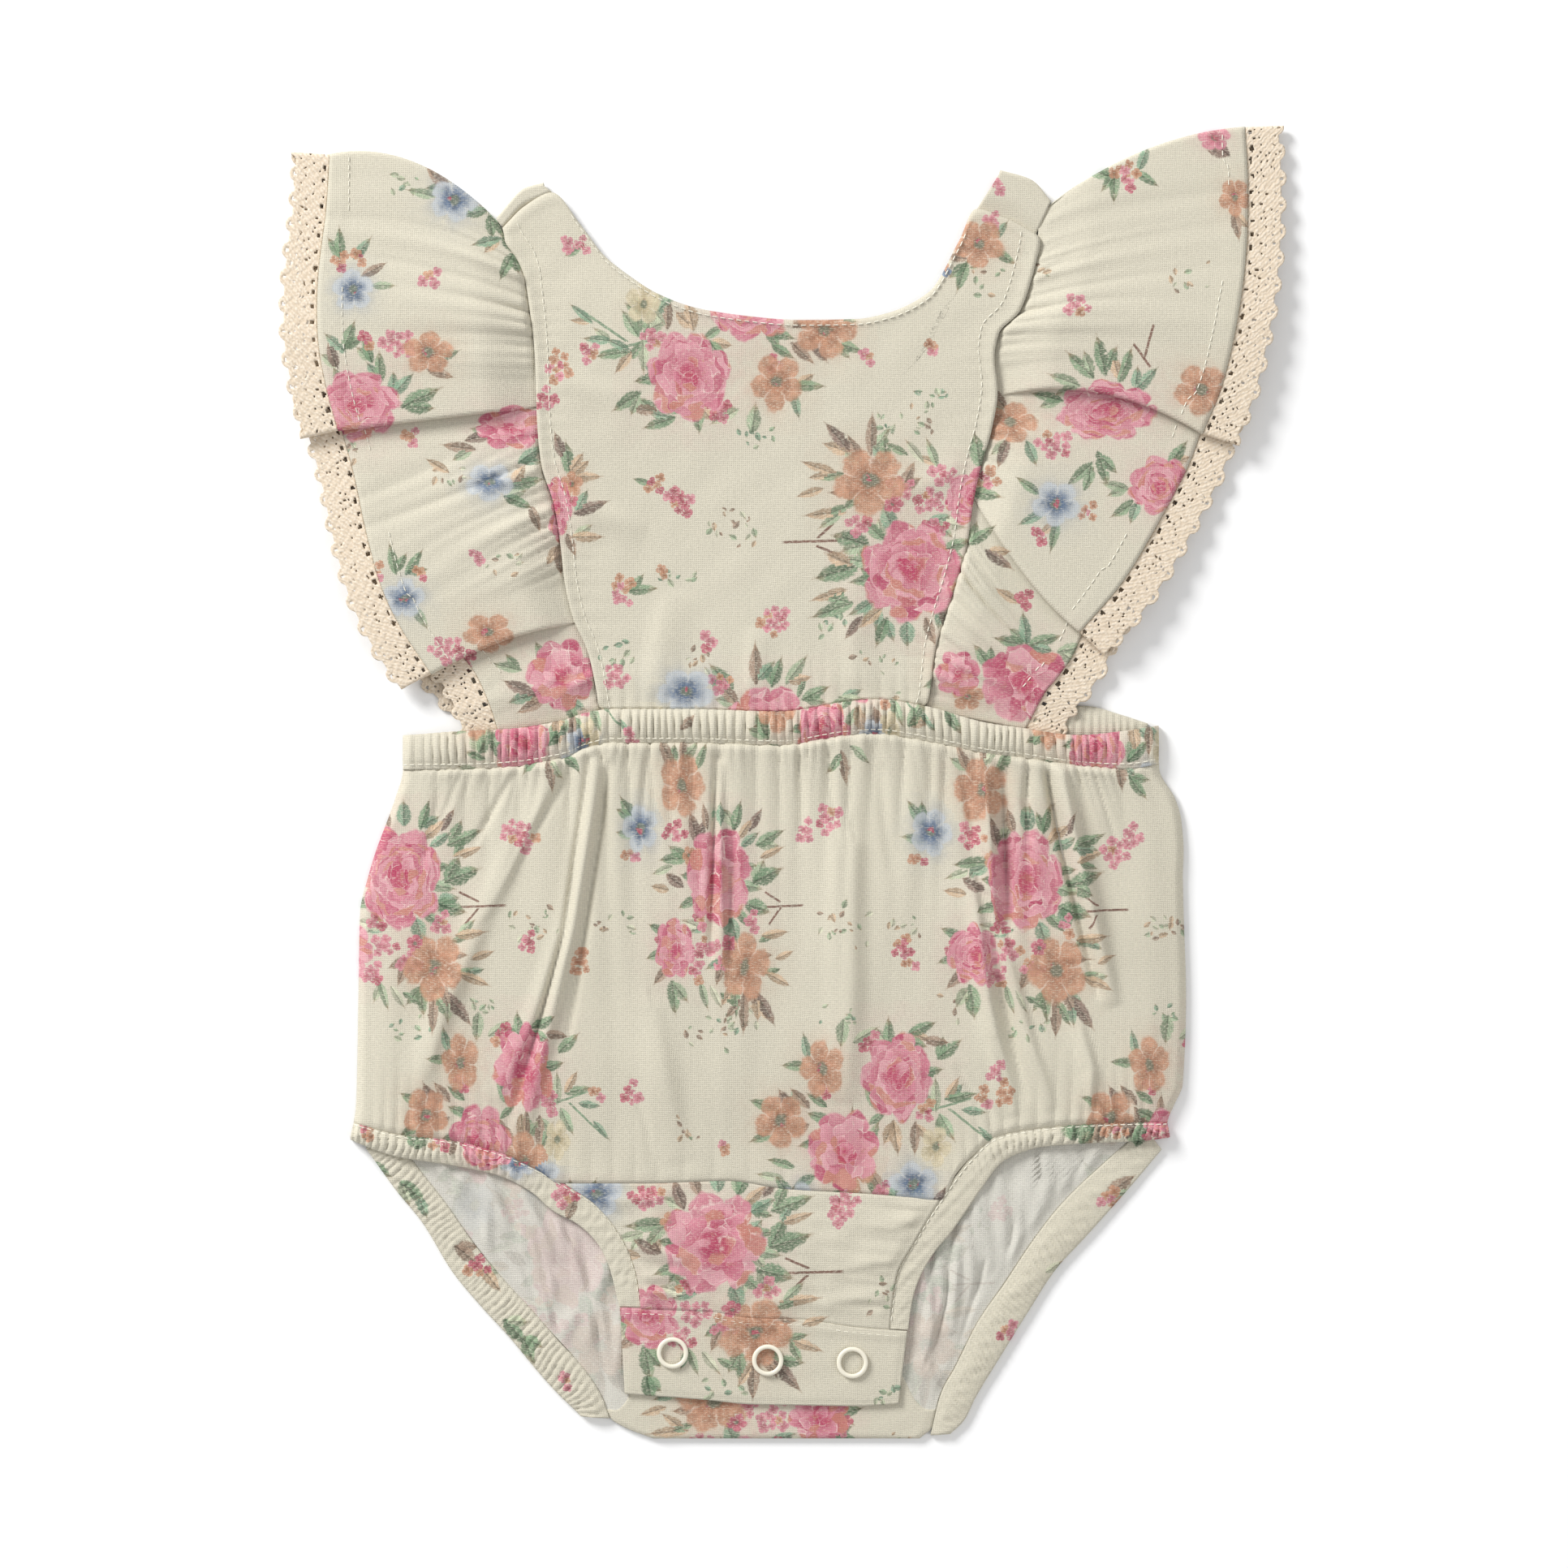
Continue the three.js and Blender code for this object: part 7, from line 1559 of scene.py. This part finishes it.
# Baked cream paint over brass: smooth, with a soft highlight.
ENAMEL = smooth_material("cream enamel", linear("#E8E2D0"), 0.32, 0.3)
for number, (x, y) in enumerate(zip(*SNAPS.values()), 1):
    around, tube = grid(*[np.linspace(0, 2 * np.pi, steps + 1)[:-1] for steps in RING_STEPS])
    radius = RING_RADIUS + RING_TUBE * np.cos(tube)
    z = FRONT_BASE + WALL + 0.15 + RING_TUBE * (1 + 0.8 * np.sin(tube))
    ring = np.stack([x + radius * np.cos(around), y + radius * np.sin(around), z], -1)
    index = np.arange(around.size).reshape(RING_STEPS)
    turned = np.roll(index, -1, 0)
    faces = np.stack([index, turned, np.roll(turned, -1, 1), np.roll(index, -1, 1)], -1).reshape(-1, 4)
    piece = smooth_piece(f"ring_snap_{number}", ring, faces, ENAMEL)
    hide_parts(f"snap_{number}")

# Stitching: cream cotton thread, a little lighter than the cloth, in rows along hems and seams.
# Each stitch is a short raised dash with flat faces.
STITCH_PITCH = 2.5
STITCH_LENGTH = 1.8
STITCH_WIDTH = 0.34
STITCH_RISE = 0.22
STITCH_LIFT = 0.12


def stitch_row(line):
    """Dashes along a line of points: each a six-sided lozenge, laid in the line's own direction."""
    step = np.linalg.norm(np.diff(line, axis=0), axis=1)
    run = np.concatenate([[0], np.cumsum(step)])
    at = np.arange(STITCH_PITCH / 2, run[-1] - STITCH_PITCH / 2, STITCH_PITCH)
    reach = STITCH_LENGTH / 2
    ends = [np.stack([np.interp(at + d, run, line[:, k]) for k in range(3)], 1) for d in (-reach, reach)]
    along = ends[1] - ends[0]
    along /= np.linalg.norm(along, axis=1, keepdims=True)
    up = np.array([0, 0, 1.0])
    aside = np.cross(along, up)
    aside /= np.linalg.norm(aside, axis=1, keepdims=True)
    centre = (ends[0] + ends[1]) / 2 + up * STITCH_LIFT
    half, wide = along * reach, aside * STITCH_WIDTH / 2
    rise, sink = up * STITCH_RISE, up * STITCH_LIFT
    corners = [-half, -0.6 * half + wide, -0.6 * half - wide, -0.6 * half + rise, 0.6 * half + wide,
               0.6 * half - wide, 0.6 * half + rise, half, -0.6 * half - sink, 0.6 * half - sink]
    return np.stack([centre + corner for corner in corners], 1)


# The triangles of one dash, by the order of its ten corners.
DASH_FACES = np.array([
    (0, 3, 1), (0, 2, 3), (0, 8, 2), (0, 1, 8), (7, 4, 6), (7, 6, 5), (7, 5, 9), (7, 9, 4),
    (1, 3, 6), (1, 6, 4), (3, 2, 5), (3, 5, 6), (2, 8, 9), (2, 9, 5), (8, 1, 4), (8, 4, 9),
])


def at_share(surface, share):
    """The line of a grid of points at one share across it."""
    place = share * (surface.shape[1] - 1)
    low = int(place)
    return blend(surface[:, low], surface[:, min(low + 1, surface.shape[1] - 1)], place - low)


def hem_lines(side):
    """A ruffle's top stitching, 7 mm inside its hem, where the ruffle lies level on its front."""
    middle, from_hem = ruffle_grids[side]
    pick = np.abs(from_hem - 7).argmin(1)
    line = middle[np.arange(len(pick)), pick] + (0, 0, RUFFLE_SKIN / 2)
    level = np.abs(np.gradient(line[:, 2])) < 0.12
    keep = np.flatnonzero((line[:, 2] > 2.2) & level)
    parts = np.split(keep, np.flatnonzero(np.diff(keep) > 1) + 1)
    return [line[part] for part in parts if len(part) > 12]


placket_x = np.linspace(-49, 37, 120)
stitch_lines = [
    # The neckline, 1.8 mm below the bodice's upper edge and over the neck only.
    bodice_grid[-3][20:-20],
    at_share(band_top_grid, 0.13),
    at_share(casing_tops["left"], 0.1),
    at_share(casing_tops["right"], 0.1),
    bodice_grid[:, 4],
    bodice_grid[:, -5],
    np.stack([placket_x, placket_stitch(placket_x) - 1.4, 0 * placket_x + FRONT_BASE + WALL], 1),
    *hem_lines("left"),
    *hem_lines("right"),
]
points = np.concatenate([stitch_row(line) for line in stitch_lines])
faces = (DASH_FACES + 10 * np.arange(len(points))[:, None, None]).reshape(-1, 3)
THREAD = smooth_material("cream sewing thread", linear("#E9E5D6"), 0.75)
stitching = smooth_piece("stitching", points, faces, THREAD)
stitching.data.polygons.foreach_set("use_smooth", np.zeros(len(faces), bool))

# Table, light and camera: a matt white board under the garment, a large window light from the upper
# left with a weak fill from the right, and a view from straight above.
TABLE_REACH = 3
TABLE_DROP = 0.0003
CAMERA_HEIGHT = 1.342
CAMERA_LENS = 100
corners = [(a * TABLE_REACH, b * TABLE_REACH, -TABLE_DROP) for a, b in ((-1, -1), (1, -1), (1, 1), (-1, 1))]
mesh = bpy.data.meshes.new("table_top")
mesh.from_pydata(corners, [], [(0, 1, 2, 3)])
mesh.materials.append(smooth_material("matt white board", (0.94, 0.94, 0.94, 1), 0.9))
floor = bpy.data.objects.new("table_top", mesh)
bpy.context.scene.collection.objects.link(floor)

LAMPS = (
    ("window light", (-1.8, 1.8, 1.35), 1.2, 98.0),
    ("fill light", (1.8, -0.8, 1.9), 1.8, 18.0),
)
for name, place, size, power in LAMPS:
    lamp = bpy.data.lights.new(name, "AREA")
    lamp.shape, lamp.size, lamp.energy = "DISK", size, power
    holder = bpy.data.objects.new(name, lamp)
    holder.location = place
    aim = -np.array(place)
    holder.rotation_euler = (
        math.atan2(math.hypot(aim[0], aim[1]), -aim[2]),
        0,
        math.atan2(aim[1], aim[0]) - math.pi / 2,
    )
    bpy.context.scene.collection.objects.link(holder)

world = bpy.data.worlds.new("studio")
world.use_nodes = True
sky = world.node_tree.nodes["Background"].inputs
sky["Color"].default_value, sky["Strength"].default_value = (1, 1, 1, 1), 0.5
bpy.context.scene.world = world
bpy.context.scene.view_settings.view_transform = "Standard"

lens = bpy.data.cameras.new("overhead camera")
lens.lens, lens.sensor_width = CAMERA_LENS, 36
camera = bpy.data.objects.new("overhead camera", lens)
camera.location = (0.00036, -0.00069, CAMERA_HEIGHT)
bpy.context.scene.collection.objects.link(camera)
bpy.context.scene.camera = camera
